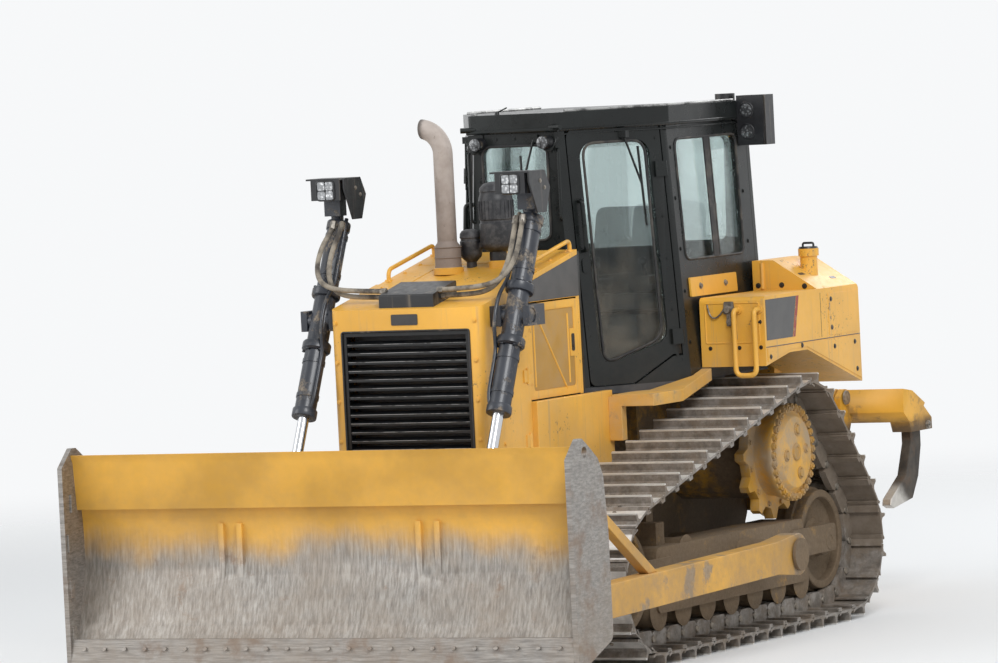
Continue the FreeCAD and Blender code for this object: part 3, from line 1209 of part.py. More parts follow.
def seat_and_console():
    cushion = block("seat_cushion", ("-seat_half_width", "seat_y", "seat_top_z - seat_cushion"),
                    ("2 * seat_half_width", "seat_depth", "seat_cushion"))
    base = block("seat_base", ("-seat_base_half", "seat_y + 60", "sill_z"),
                 ("2 * seat_base_half", "seat_depth - 120", "seat_top_z - seat_cushion - sill_z"))
    back = slab("seat_back", "YZ", [
        ("seat_y + seat_depth - seat_back_thick", "seat_top_z - seat_cushion"),
        ("seat_y + seat_depth", "seat_top_z - seat_cushion"),
        ("seat_y + seat_depth + seat_lean", "seat_back_z", "30"),
        ("seat_y + seat_depth + seat_lean - seat_back_thick", "seat_back_z", "30")],
        "2 * seat_half_width - 40")
    node("seat", fuse("operator_seat", cushion, base, back))
    dash = slab("dash", "YZ", [
        ("cab_front_y + cab_wall", "sill_z"), ("cab_front_y + cab_wall + console_depth", "sill_z"),
        ("cab_front_y + cab_wall + console_depth", "console_top_z - 120"),
        ("cab_front_y + cab_wall + 60", "console_top_z", "20"), ("cab_front_y + cab_wall", "console_top_z")],
        "2 * console_half_width")
    node("console", dash)


# Fenders, side boxes, tank and hand rails

def fenders():
    """Walkway sheet over the upper run beside the cab, with a folded skirt and front leg."""
    sheet_metal = body("fender_sheet")
    top = [("fender_front_y", "fender_flat_z"), ("fender_flat_y", "fender_flat_z"),
           ("fender_back_y", "fender_flat_z + fender_rise"),
           ("fender_back_y", "fender_flat_z + fender_rise - fender_skirt"),
           ("fender_flat_y", "fender_flat_z - fender_skirt"),
           ("fender_front_y", "fender_flat_z - fender_skirt")]
    pad(sheet_metal, outline(sheet_metal, "YZ", top, "fender_inner_x"), "YZ",
        "fender_outer_x - fender_inner_x", "plus")
    under = [("fender_front_y + fender_wall", "fender_flat_z - fender_wall"),
             ("fender_flat_y", "fender_flat_z - fender_wall"),
             ("fender_back_y + 50", "fender_flat_z + fender_rise * 1.125 - fender_wall"),
             ("fender_back_y + 50", "fender_flat_z - 2 * fender_skirt"),
             ("fender_front_y + fender_wall", "fender_flat_z - 2 * fender_skirt")]
    pocket(sheet_metal, outline(sheet_metal, "YZ", under, "fender_inner_x - 10"), "YZ",
           "fender_outer_x - fender_inner_x + 10 - fender_wall", "plus")
    leg = block("fender_leg", ("side_panel_x", "fender_front_y", "fender_leg_z"),
                ("fender_leg_width + fender_inner_x - side_panel_x", "60",
                 "fender_flat_z - fender_wall - fender_leg_z"))
    beside_cab = slab("beside_cab", "XY", [
        ("0", "cab_front_y - 100"), ("cab_front_half + pane_seat - 100 * %r" % (DOOR_X / DOOR_Y),
                                     "cab_front_y - 100"),
        ("cab_half + pane_seat", "cab_post_y"), ("cab_half + pane_seat", "cab_back_y"), ("0", "cab_back_y")],
        "1000", "sill_z - floor_thick - 200", "plus")
    pair("fenders", fuse("fender_set", cut("fender_cut", sheet_metal, beside_cab), leg))


def side_boxes():
    """Box over the rear of each track, with an arched skirt and a raised rear cover."""
    box = body("box")
    side = [("box_front_y", "box_skirt_front_z"), ("box_front_y + 330", "box_skirt_mid_z"),
            ("box_front_y + 580", "box_skirt_mid_z"), ("box_back_y", "box_skirt_back_z"),
            ("box_back_y", "box_top_z", "box_edge"), ("box_front_y", "box_top_z", "box_edge")]
    pad(box, outline(box, "YZ", side, "box_inner_x"), "YZ", "box_outer_x - box_inner_x", "plus")
    cover = slab("cover_block", "XZ", [
        ("box_inner_x", "box_top_z"), ("box_outer_x", "box_top_z"), ("cover_flat_x", "cover_top_z"),
        ("box_inner_x", "cover_top_z")], "box_back_y - cover_front_y - 20", "cover_front_y", "plus")
    neck = rod("filler_neck", "Z", ("filler_x", "filler_y", "box_top_z"), "filler_radius",
               "filler_height + 40")
    cap = rod("filler_cap", "Z", ("filler_x", "filler_y", "box_top_z + filler_height + 40"),
              "filler_cap_radius",
              "filler_cap")
    left = fuse("box_left", box, cover, neck, cap)
    node("side_boxes", group("box_pair", left, mirror("box_mirror", fuse("box_plain", box, cover))))


def fuel_tank():
    """Tank across the rear, behind the cab and between the side boxes."""
    side = [("cab_back_top_y + tank_front_gap", "sill_z - floor_thick"),
            ("box_back_y", "sill_z - floor_thick", "40"),
            ("box_back_y", "tank_top_z - 60", "40"), ("cab_back_top_y + tank_front_gap + 60", "tank_top_z",
                                                      "40"),
            ("cab_back_top_y + tank_front_gap", "tank_top_z")]
    tank = slab("tank", "YZ", side, "2 * box_inner_x")
    node("fuel_tank", tank)


def hand_rails():
    """Rails along the hood's edges and a grab rail at the front of each side box."""
    def above_hood(y, up):
        return ("hood_rail_x", y, "%s + %s" % (hood_z(y), up))

    top = made("hood_bar", bar([
        above_hood("hood_rail_front_y", "-foot_depth"),
        above_hood("hood_rail_front_y", "rail_height - rail_bend / 2"),
        above_hood("hood_rail_front_y + rail_bend / 2", "rail_height"),
        above_hood("hood_rail_back_y - rail_bend / 2", "rail_height"),
        above_hood("hood_rail_back_y", "rail_height - rail_bend / 2"),
        above_hood("hood_rail_back_y", "-foot_depth")],
        "rail_radius"))
    rail = on_hood("hood_rail", top, "(hood_rail_front_y + hood_rail_back_y) / 2")
    front = "box_front_y - grab_reach"
    grab = made("grab_rail", bar([
        ("grab_x - grab_half", "box_front_y", "grab_top_z - 20"),
        ("grab_x - grab_half", front, "grab_top_z - 20"),
        ("grab_x - grab_half", front, "grab_low_z + grab_bend"),
        ("grab_x - grab_half + grab_bend", front, "grab_low_z"),
        ("grab_x + grab_half - grab_bend", front, "grab_low_z"),
        ("grab_x + grab_half", front, "grab_low_z + grab_bend"),
        ("grab_x + grab_half", front, "grab_top_z - 20"),
        ("grab_x + grab_half", "box_front_y", "grab_top_z - 20")],
        "rail_radius + 3"))
    pair("hand_rails", group("rails", rail, grab))


# Blade

BOARD_SAG = "(moldboard_radius - sqrt(moldboard_radius ^ 2 - ((moldboard_top_z - moldboard_low_z) / 2) ^ 2))"
BOARD_BACK = "((moldboard_low_y + moldboard_top_y) / 2 + %s)" % BOARD_SAG
ARM_FRONT = "(%s + back_beam_depth)" % BOARD_BACK
ARM_TURN = "(arm_pin_y - 2 * push_eye_radius)"


def blade():
    """Curved moldboard with box beams behind it, the cutting edge and the end plates."""
    board = body("moldboard")
    face = [("moldboard_low_y", "moldboard_low_z"), ("moldboard_low_y + moldboard_thick", "moldboard_low_z"),
            ("moldboard_top_y + moldboard_thick", "moldboard_top_z"), ("moldboard_top_y", "moldboard_top_z")]
    bends = {1: ("moldboard_radius", -1), 3: ("moldboard_radius", 1)}
    pad(board, outline(board, "YZ", face, "0", bends), "YZ", "2 * blade_half_width")
    low_beam = [("moldboard_low_y + 30", "back_beam_low_z - 20"),
                (BOARD_BACK + " + back_beam_depth", "back_beam_low_z", "30"),
                (BOARD_BACK + " + back_beam_depth", "back_beam_high_z", "30"),
                (BOARD_BACK + " - 12", "back_beam_high_z + 60")]
    top_beam = [(BOARD_BACK + " - 60", "top_beam_low_z - 60"),
                (BOARD_BACK + " + top_beam_depth", "top_beam_low_z", "20"),
                (BOARD_BACK + " + top_beam_depth", "top_beam_high_z - 20", "20"),
                ("moldboard_top_y + moldboard_thick - 2", "top_beam_high_z + 30")]
    ribs = [slab("low_beam", "YZ", low_beam, "2 * blade_half_width"),
            slab("top_beam", "YZ", top_beam, "2 * blade_half_width")]
    ear_outer = "cylinder_x + eye_width / 2 + ear_gap + ear_thick"
    for label, x in (("a", "cylinder_x + eye_width / 2 + ear_gap"),
                     ("b", "cylinder_x - eye_width / 2 - ear_gap - ear_thick"),
                     ("c", "-(%s)" % ear_outer), ("d", "-(cylinder_x - eye_width / 2 - ear_gap)")):
        ear = [(BOARD_BACK + " - 20", "lift_eye_z - 160"), ("lift_eye_y - 20", "lift_eye_z - 75", "40"),
               ("lift_eye_y + 70", "lift_eye_z - 60", "50"), ("lift_eye_y + 70", "lift_eye_z + 70", "50"),
               ("lift_eye_y - 40", "lift_eye_z + 80", "30"), (BOARD_BACK + " - 20", "lift_eye_z + 220")]
        ribs.append(slab("ear_" + label, "YZ", ear, "ear_thick", x, "plus"))
    for label, x in (("in", "cylinder_x - eye_width / 2 - ear_gap - 1"),
                     ("out", "cylinder_x + eye_width / 2 + pane_seat")):
        boss = rod("ear_boss_" + label, "X", (x, "lift_eye_y", "lift_eye_z"), "eye_radius - 10",
                   "ear_gap + 1 - pane_seat")
        ribs += [boss, mirror("ear_boss_%s_mirror" % label, boss)]
    node("moldboard", fuse("moldboard_weldment", board, *ribs))
    edge = [("moldboard_low_y - edge_thick", "moldboard_low_z + 40"), ("edge_front_y", "blade_low_z"),
            ("edge_front_y + edge_thick", "blade_low_z"), ("moldboard_low_y", "moldboard_low_z"),
            ("moldboard_low_y", "moldboard_low_z + 40")]
    node("cutting_edge", slab("edge", "YZ", edge, "2 * blade_half_width"))
    plate = body("end_plate")
    start = "edge_front_y + 20"
    depth = "(end_plate_back_y - edge_front_y - 20)"
    shape = [(start, "blade_low_z + 20"), ("end_plate_back_y", "blade_low_z + 180", "60"),
             ("end_plate_back_y", "end_plate_shoulder_z - 350"),
             (start + " + 0.93 * " + depth, "end_plate_shoulder_z - 60"),
             (start + " + 0.8 * " + depth, "end_plate_shoulder_z + 40"),
             (start + " + 0.6 * " + depth, "end_plate_top_z - 60"),
             (start + " + 0.38 * " + depth, "end_plate_top_z"),
             (start + " + 0.27 * " + depth, "end_plate_top_z"), (start, "end_plate_top_z - 105")]
    side = outline(plate, "YZ", shape, "blade_half_width")
    add_circle(side, start + " + 0.43 * " + depth, "end_plate_top_z - 75", "lifting_hole_radius")
    pad(plate, side, "YZ", "end_plate_thick", "plus")
    pair("blade_end_plates", plate)


def push_arms():
    """Box-section arm outside each track, from the frame's pin to the blade's back."""
    arm = body("arm")
    side = [("arm_pin_y + push_eye_radius", "arm_pin_z - push_eye_radius", "120"),
            ("arm_pin_y + push_eye_radius", "arm_pin_z + push_eye_radius", "120"),
            (ARM_TURN, "arm_pin_z + push_arm_depth / 2", "100"),
            (ARM_FRONT, "push_arm_front_z + push_arm_depth"), (ARM_FRONT, "push_arm_front_z"),
            (ARM_TURN, "arm_pin_z - push_arm_depth / 2", "100")]
    base = outline(arm, "YZ", side, "push_arm_x")
    add_circle(base, "arm_pin_y", "arm_pin_z", "arm_pin_radius + running_gap")
    pad(arm, base, "YZ", "push_arm_width")
    pair("push_arms", arm)


def blade_braces():
    """Bar from the top of the blade's back down to each push arm."""
    slope = "((arm_pin_z - push_arm_depth / 2 - push_arm_front_z) / (%s - %s))" % (ARM_TURN, ARM_FRONT)

    def top_of_arm(y):
        return "arm_pin_z + push_arm_depth / 2 - %s * (%s - (%s))" % (slope, ARM_TURN, y)

    beam_face = "%s + top_beam_depth" % BOARD_BACK
    side = [("brace_low_y", top_of_arm("brace_low_y")),
            ("brace_low_y - 110", top_of_arm("brace_low_y - 110")),
            (beam_face, "brace_high_z - 60"), (beam_face, "brace_high_z + 10")]
    pair("blade_braces", slab("brace", "YZ", side, "brace_width", "push_arm_x"))


# Lift cylinders

LIFT_LEAN = "atan2(lift_eye_y - trunnion_y; trunnion_z - lift_eye_z)"
LIFT_SPAN = "sqrt((lift_eye_y - trunnion_y) ^ 2 + (lift_eye_z - trunnion_z) ^ 2)"


def lean_about_x(piece, x, y, z, angle):
    """Turn a finished piece about X at its own origin and set it in its place."""
    piece.Placement = FreeCAD.Placement(V(number(x), number(y), number(z)),
                                        FreeCAD.Rotation(V(1, 0, 0), number(angle)))
    return piece


def lift_cylinders():
    """Barrel on its trunnions with a post for the lamp on its head, and the rod down to the blade."""
    barrel = turned("barrel", "Z", [
        ("-barrel_below", "rod_radius + running_gap"), ("-barrel_below", "barrel_radius"),
        ("barrel_above", "barrel_radius"), ("barrel_above", "0"), ("barrel_above - head_thick", "0"),
        ("barrel_above - head_thick", "bore_radius"), ("-barrel_below + head_thick", "bore_radius"),
        ("-barrel_below + head_thick", "rod_radius + running_gap")])
    pins = rod("trunnions", "X", ("-barrel_radius - side_clearance - trunnion_length", "0", "0"),
               "trunnion_radius", "2 * (barrel_radius + side_clearance + trunnion_length)")
    hollow = rod("trunnion_hollow", "Z", ("0", "0", "-trunnion_radius - 10"), "bore_radius",
                 "2 * trunnion_radius + 20")
    shell = fuse("barrel_shell", barrel, cut("trunnion_stubs", pins, hollow))
    piston_low, eye_top = "-piston_rest", "-(%s) + eye_radius / 2" % LIFT_SPAN
    bar = turned("rod_bar", "Z", [
        (eye_top, "0"), (eye_top, "rod_radius"), (piston_low, "rod_radius"),
        (piston_low, "bore_radius - running_gap"),
        (piston_low + " + piston_length", "bore_radius - running_gap"),
        (piston_low + " + piston_length", "0")])
    eye = rod("rod_eye", "X", ("-eye_width / 2", "0", "-(%s)" % LIFT_SPAN), "eye_radius", "eye_width")
    rod_piece = fuse("rod_set", bar, eye)
    doc.recompute()
    for piece in (shell, rod_piece):
        lean_about_x(piece, "cylinder_x", "trunnion_y", "trunnion_z", LIFT_LEAN)
    head_y = "(trunnion_y - (barrel_above - head_thick / 2) * sin(%s))" % LIFT_LEAN
    head_z = "(trunnion_z + (barrel_above - head_thick / 2) * cos(%s))" % LIFT_LEAN
    post = rod("lamp_post", "Z", ("cylinder_x", head_y, head_z), "lamp_post_radius",
               "lamp_top_z - lamp_wall - lamp_box_height - %s" % head_z)
    both_sides("lift_barrel", fuse("barrel_set", shell, post))
    both_sides("lift_rod", rod_piece)


def work_lamp(side, x):
    """Lamp box under a folded hood, with a slanted shield plate on its left-hand side."""
    plate = [("lamp_front_y", "lamp_top_z"), ("lamp_front_y", "lamp_top_z - 60"),
             ("lamp_front_y + lamp_slant", "lamp_low_z"), ("lamp_back_y - 60", "lamp_low_z"),
             ("lamp_back_y", "lamp_low_z + 140"), ("lamp_back_y - 60", "lamp_top_z")]
    shield = slab("lamp_plate_" + side, "YZ", plate, "lamp_wall", x + " + lamp_width / 2 - lamp_wall / 2")
    top = block("lamp_top_" + side, (x + " - lamp_width / 2", "lamp_front_y", "lamp_top_z - lamp_wall"),
                ("lamp_width", "lamp_back_y - 60 - lamp_front_y", "lamp_wall"))
    lamp = block("lamp_box_" + side,
                 (x + " - lamp_box_half", "lamp_front_y", "lamp_top_z - lamp_wall - lamp_box_height"),
                 ("2 * lamp_box_half", "lamp_box_depth", "lamp_box_height"))
    node("work_lamp_" + side, fuse("lamp_" + side, shield, top, lamp))


def work_lamps():
    work_lamp("left", "(cylinder_x - lamp_offset)")
    work_lamp("right", "-(cylinder_x - lamp_offset)")


# Ripper

ARM_LEAN = "atan2(ripper_arm_climb; ripper_arm_reach)"
EYE_ARM = "sqrt(ripper_eye_along ^ 2 + ripper_eye_up ^ 2)"
EYE_Y = "(ripper_low_pin_y + %s * cos(%s + atan2(ripper_eye_up; ripper_eye_along)))" % (EYE_ARM, ARM_LEAN)
EYE_Z = "(ripper_low_pin_z + %s * sin(%s + atan2(ripper_eye_up; ripper_eye_along)))" % (EYE_ARM, ARM_LEAN)
FOOT_Z = "(ripper_low_pin_z + %s)" % EYE_ARM
BACK_Y = "(ripper_low_pin_y + ripper_arm_reach)"
BACK_Z = "(ripper_low_pin_z + ripper_arm_climb)"
CHEEKS = ("ripper_arm_x - ripper_arm_width / 2 - side_clearance - bracket_plate",
          "ripper_arm_x + ripper_arm_width / 2 + side_clearance")
CYLINDER_CHEEKS = ("ripper_cylinder_x - ripper_eye_width / 2 - side_clearance - bracket_plate",
                   "ripper_cylinder_x + ripper_eye_width / 2 + side_clearance")


def pin_through(name, cheeks, y, z):
    """A pin from the outer face of one cheek to the outer face of the other."""
    return rod(name, "X", (cheeks[0], y, z), "ripper_pin_radius",
               "(%s) + bracket_plate - (%s)" % (cheeks[1], cheeks[0]))


def link(name, z, radius):
    """A straight link with an eye at each end, made along Y and then turned about its front pin."""
    length = "sqrt(ripper_arm_reach ^ 2 + ripper_arm_climb ^ 2)"
    piece = body(name)
    base = outline(piece, "YZ", [("0", "-0.6 * (%s)" % radius), (length, "-0.6 * (%s)" % radius),
                                 (length, "0.6 * (%s)" % radius), ("0", "0.6 * (%s)" % radius)])
    pad(piece, base, "YZ", "ripper_arm_width")
    eyes = [rod("%s_eye_%d" % (name, i), "X", ("-ripper_arm_width / 2", y, "0"), radius, "ripper_arm_width")
            for i, y in enumerate(("0", length))]
    bores = [rod("%s_bore_%d" % (name, i), "X", ("-ripper_arm_width", y, "0"),
                 "ripper_pin_radius + running_gap", "2 * ripper_arm_width")
             for i, y in enumerate(("0", length))]
    whole = cut(name + "_bored", fuse(name + "_solid", piece, *eyes), fuse(name + "_bores", *bores))
    doc.recompute()
    return lean_about_x(whole, "ripper_arm_x", "ripper_low_pin_y", z, ARM_LEAN)


def ripper_bracket():
    """Two pairs of cheeks for the linkage and two for the cylinders, on a plate on the hull."""
    low_y, low_z = "ripper_low_pin_y", "ripper_low_pin_z"
    front = "case_back_y + bracket_base"
    cheek = [(front, "bracket_low_z + 120"), (low_y, "bracket_low_z + 60", "40"),
             (low_y + " + ripper_eye_radius", low_z, "40"),
             (low_y + " + ripper_eye_radius", low_z + " + ripper_rise + 60", "50"), (front, "bracket_top_z")]
    foot = [(front, FOOT_Z + " - 160"), (low_y, FOOT_Z + " - ripper_foot_radius"),
            (low_y + " + ripper_foot_radius", FOOT_Z + " - ripper_foot_radius", "55"),
            (low_y + " + ripper_foot_radius", FOOT_Z + " + ripper_foot_radius", "55"),
            (front, FOOT_Z + " + ripper_foot_radius")]
    pieces = [slab("cheek_%d" % i, "YZ", cheek, "bracket_plate", x, "plus") for i, x in enumerate(CHEEKS)]
    pieces += [slab("foot_cheek_%d" % i, "YZ", foot, "bracket_plate", x, "plus")
               for i, x in enumerate(CYLINDER_CHEEKS)]
    pieces += [pin_through("bracket_pin_low", CHEEKS, low_y, low_z),
               pin_through("bracket_pin_high", CHEEKS, low_y, low_z + " + ripper_rise"),
               pin_through("foot_pin", CYLINDER_CHEEKS, low_y, FOOT_Z)]
    half = fuse("bracket_half", *pieces)
    reach = "(%s) + bracket_plate" % CHEEKS[1]
    base = block("bracket_back", ("-(%s)" % reach, "case_back_y", "bracket_low_z + 120"),
                 ("2 * (%s)" % reach, "bracket_base", "bracket_top_z - bracket_low_z - 120"))
    node("ripper_bracket", fuse("bracket", half, mirror("bracket_mirror", half), base))


def ripper_arms():
    """Lower arms joined by a cross tube that carries the rods' ears."""
    arm = link("lower_arm", "ripper_low_pin_z", "ripper_eye_radius")
    tube_bar = rod("cross_tube", "X", ("-ripper_arm_x", "ripper_eye_along", "0"), "cross_tube_radius",
                   "2 * ripper_arm_x")
    ears = []
    for i, x in enumerate(CYLINDER_CHEEKS):
        profile = [("ripper_eye_along - 60", "-20"), ("ripper_eye_along + 60", "-20"),
                   ("ripper_eye_along + 55", "ripper_eye_up + 50", "45"),
                   ("ripper_eye_along - 55", "ripper_eye_up + 50", "45")]
        ears.append(slab("rod_ear_%d" % i, "YZ", profile, "bracket_plate", x, "plus"))
    for i, x in enumerate((CYLINDER_CHEEKS[0] + " + bracket_plate - 1",
                           "ripper_cylinder_x + ripper_eye_width / 2 + pane_seat")):
        ears.append(rod("rod_ear_boss_%d" % i, "X", (x, "ripper_eye_along", "ripper_eye_up"),
                        "ripper_rod_eye_radius - 8", "side_clearance + 1 - pane_seat"))
    set_of_ears = fuse("rod_ears", *ears)
    across = fuse("cross_set", tube_bar, set_of_ears, mirror("rod_ears_mirror", set_of_ears))
    doc.recompute()
    lean_about_x(across, "0", "ripper_low_pin_y", "ripper_low_pin_z", ARM_LEAN)
    node("ripper_arms", fuse("arms", arm, mirror("lower_arm_mirror", arm), across))


def ripper_links():
    pair("ripper_links", link("upper_link", "ripper_low_pin_z + ripper_rise", "ripper_eye_radius - 15"))


def shank_places():
    count = round(number("shank_count"))
    return ["shank_x * (2 * %d / %d - 1)" % (i, count - 1) for i in range(count)]


def ripper_beam():
    """Six-sided cross beam with a pocket under it for each shank, and two ears for each arm."""
    front, back = "beam_front_y", "beam_front_y + beam_depth"
    bar_section = [(front, "beam_top_z"), (front, "beam_low_z + beam_nose"),
                   (front + " + beam_keel_y", "beam_low_z"),
                   (front + " + beam_keel_y + beam_keel", "beam_low_z + 8"),
                   (back, "beam_top_z - beam_slope"),
                   (front + " + beam_flat", "beam_top_z - 20")]
    beam = slab("beam_bar", "YZ", bar_section, "2 * beam_half_width")
    width = "shank_thick + 2 * holder_cheek"
    holder = [(front + " + beam_keel_y + 10", "beam_low_z + 20"),
              (front + " + beam_keel_y + 50", "holder_low_z"),
              (back + " + holder_back", "holder_low_z"), (back + " + holder_back", "holder_low_z + 70"),
              (back + " - 20", "beam_top_z - beam_slope")]
    slot = box_corners("shank_front_y", "holder_low_z - 50", "shank_front_y + shank_depth", "shank_top_z")
    holders, slots = [], []
    for i, x in enumerate(shank_places()):
        holders.append(slab("holder_%d" % i, "YZ", holder, width, "%s - (%s) / 2" % (x, width), "plus"))
        slots.append(slab("slot_%d" % i, "YZ", slot, "shank_thick", "%s - shank_thick / 2" % x, "plus"))
    ear = [(front + " + 40", "beam_low_z + 40"), (BACK_Y, BACK_Z + " - ripper_eye_radius", "40"),
           (BACK_Y + " - ripper_eye_radius", BACK_Z, "40"),
           (BACK_Y + " - ripper_eye_radius", BACK_Z + " + ripper_rise", "40"),
           (BACK_Y, BACK_Z + " + ripper_rise + ripper_eye_radius - 15", "40"),
           (front + " + 60", "beam_top_z - 12")]
    pieces = [slab("beam_ear_%d" % i, "YZ", ear, "bracket_plate", x, "plus") for i, x in enumerate(CHEEKS)]
    pieces += [pin_through("beam_pin_low", CHEEKS, BACK_Y, BACK_Z),
               pin_through("beam_pin_high", CHEEKS, BACK_Y, BACK_Z + " + ripper_rise")]
    ears = fuse("beam_ears", *pieces)
    whole = fuse("beam_solid", beam, *holders, ears, mirror("beam_ears_mirror", ears))
    node("ripper_beam", cut("beam", whole, fuse("slots", *slots)))


def ripper_shanks():
    """Curved shanks seated in the beam's pockets, each narrowing to a tooth at its tip."""
    front, back = "shank_front_y", "shank_front_y + shank_depth"
    profile = [(front, "shank_top_z"), (front, "shank_tip_z + 380"), (front + " - 90", "shank_tip_z + 190"),
               ("shank_tip_y", "shank_tip_z + 60"), ("shank_tip_y - 12", "shank_tip_z + 20"),
               ("shank_tip_y + 40", "shank_tip_z"), (front, "shank_tip_z + 40"),
               (back + " - 60", "shank_tip_z + 170"), (back, "shank_tip_z + 360"), (back, "shank_top_z")]
    shanks = []
    for i, x in enumerate(shank_places()):
        shanks.append(slab("shank_%d" % i, "YZ", profile, "shank_thick", "%s - shank_thick / 2" % x, "plus"))
    node("ripper_shanks", group("shanks", *shanks))


def ripper_cylinders():
    """Barrels on the bracket's upper cheeks, and rods down to the ears of the cross tube."""
    span = "sqrt((%s - ripper_low_pin_y) ^ 2 + (%s - %s) ^ 2)" % (EYE_Y, FOOT_Z, EYE_Z)
    lean = "atan2(%s - %s; %s - ripper_low_pin_y)" % (EYE_Z, FOOT_Z, EYE_Y)
    shell = turned("ripper_tube", "Z", [
        ("ripper_foot_radius - 20", "0"), ("ripper_foot_radius - 20", "ripper_eye_width / 2 - 1"),
        ("ripper_foot_radius + 14", "ripper_eye_width / 2 - 1"),
        ("ripper_foot_radius + 14", "ripper_barrel_radius"),
        ("ripper_barrel_length", "ripper_barrel_radius"),
        ("ripper_barrel_length", "ripper_rod_radius + running_gap"),
        ("ripper_barrel_length - 50", "ripper_rod_radius + running_gap"),
        ("ripper_barrel_length - 50", "ripper_bore_radius"),
        ("ripper_foot_radius + 30", "ripper_bore_radius"),
        ("ripper_foot_radius + 30", "0")])
    eye = rod("ripper_foot_eye", "X", ("-ripper_eye_width / 2", "0", "0"), "ripper_foot_radius",
              "ripper_eye_width")
    bore = rod("ripper_foot_bore", "X", ("-ripper_eye_width", "0", "0"), "ripper_pin_radius + running_gap",
               "2 * ripper_eye_width")
    barrel = cut("ripper_barrel", fuse("ripper_barrel_solid", shell, eye), bore)
    bar = turned("ripper_bar", "Z", [
        ("ripper_foot_radius + 40", "0"), ("ripper_foot_radius + 40", "ripper_bore_radius - running_gap"),
        ("ripper_foot_radius + 90", "ripper_bore_radius - running_gap"),
        ("ripper_foot_radius + 90", "ripper_rod_radius"), (span, "ripper_rod_radius"), (span, "0")])
    rod_eye = rod("ripper_rod_eye", "X", ("-ripper_eye_width / 2", "0", span), "ripper_rod_eye_radius",
                  "ripper_eye_width")
    piston = fuse("ripper_rod", bar, rod_eye)
    doc.recompute()
    for name, piece in (("ripper_barrels", barrel), ("ripper_rods", piston)):
        lean_about_x(piece, "ripper_cylinder_x", "ripper_low_pin_y", FOOT_Z, "%s - 90 deg" % lean)
        pair(name, piece)


def build():
    tracks()
    rollers()
    sprockets()
    track_frames()
    main_frame()
    side_panels()
    engine_block()
    radiator_guard()
    grille()
    radiator_core()
    hood()
    engine_doors()
    exhaust()
    intake()
    valve_box()
    hoses()
    cylinder_yokes()
    cab_floor()
    cab_front()
    window, spot, rear = cab_rear()
    cab_sides(rear)
    cab_glass(window, spot)
    cab_roof()
    roof_lamps()
    cab_doors()
    seat_and_console()
    fenders()
    side_boxes()
    fuel_tank()
    hand_rails()
    blade()
    push_arms()
    blade_braces()
    lift_cylinders()
    work_lamps()
    ripper_bracket()
    ripper_arms()
    ripper_links()
    ripper_beam()
    ripper_shanks()
    ripper_cylinders()


def check_and_write():
    """Stop on any failed object, then write each sub-part."""
    doc.recompute()
    for thing in doc.Objects:
        if "Invalid" in thing.State or "Error" in thing.State:
            raise RuntimeError("%s (%s) failed" % (thing.Label, thing.Name))
    os.makedirs("parts", exist_ok=True)
    for name, piece in NODES.items():
        if piece.Shape.isNull() or not piece.Shape.isValid():
            raise RuntimeError(name + " has no valid shape")
        piece.Shape.exportStep("parts/%s.step" % name)


build()
check_and_write()
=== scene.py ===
"""Looks of a track-type dozer, built round its packed CAD model.

Metres. +X is the machine's left, -Y its front, +Z up, with the ground at zero.
"""

import json
import math
from types import SimpleNamespace

import bmesh
import bpy
from bpy.props import FloatProperty, FloatVectorProperty, IntProperty, PointerProperty
from mathutils import Matrix, Quaternion, Vector


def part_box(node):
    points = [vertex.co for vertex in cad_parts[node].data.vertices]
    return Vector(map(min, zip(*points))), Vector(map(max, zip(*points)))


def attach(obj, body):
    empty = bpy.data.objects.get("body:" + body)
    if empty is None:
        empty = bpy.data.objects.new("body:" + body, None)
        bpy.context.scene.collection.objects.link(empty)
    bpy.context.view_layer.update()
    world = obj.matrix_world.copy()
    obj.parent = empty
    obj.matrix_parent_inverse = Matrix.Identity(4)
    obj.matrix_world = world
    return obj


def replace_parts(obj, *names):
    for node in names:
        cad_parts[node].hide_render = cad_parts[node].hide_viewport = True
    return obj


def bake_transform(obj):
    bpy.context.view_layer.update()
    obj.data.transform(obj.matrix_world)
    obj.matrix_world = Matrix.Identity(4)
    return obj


bl_info = {
    "name": "Track dozer looks",
    "version": (1, 0, 0),
    "blender": (4, 5, 0),
    "location": "View3D > Sidebar > Bulldozer",
    "description": "Paint, shoes, hoses, lamps and fittings of a track-type dozer",
    "category": "Object",
}

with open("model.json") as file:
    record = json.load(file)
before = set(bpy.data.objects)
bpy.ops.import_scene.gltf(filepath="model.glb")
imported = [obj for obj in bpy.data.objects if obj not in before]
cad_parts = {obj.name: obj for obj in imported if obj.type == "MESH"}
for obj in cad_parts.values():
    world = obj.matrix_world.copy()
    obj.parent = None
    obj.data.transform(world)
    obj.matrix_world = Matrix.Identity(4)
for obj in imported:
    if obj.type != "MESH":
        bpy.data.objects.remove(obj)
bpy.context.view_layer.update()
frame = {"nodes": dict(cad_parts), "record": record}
NODES = frame["nodes"]
NODE_BODY = {name: group for group, names in frame["record"]["behaviour"]["bodies"].items() for name in names}
SIDES = (("left", 1), ("right", -1))
CREASE = math.radians(35)


# Shader helpers

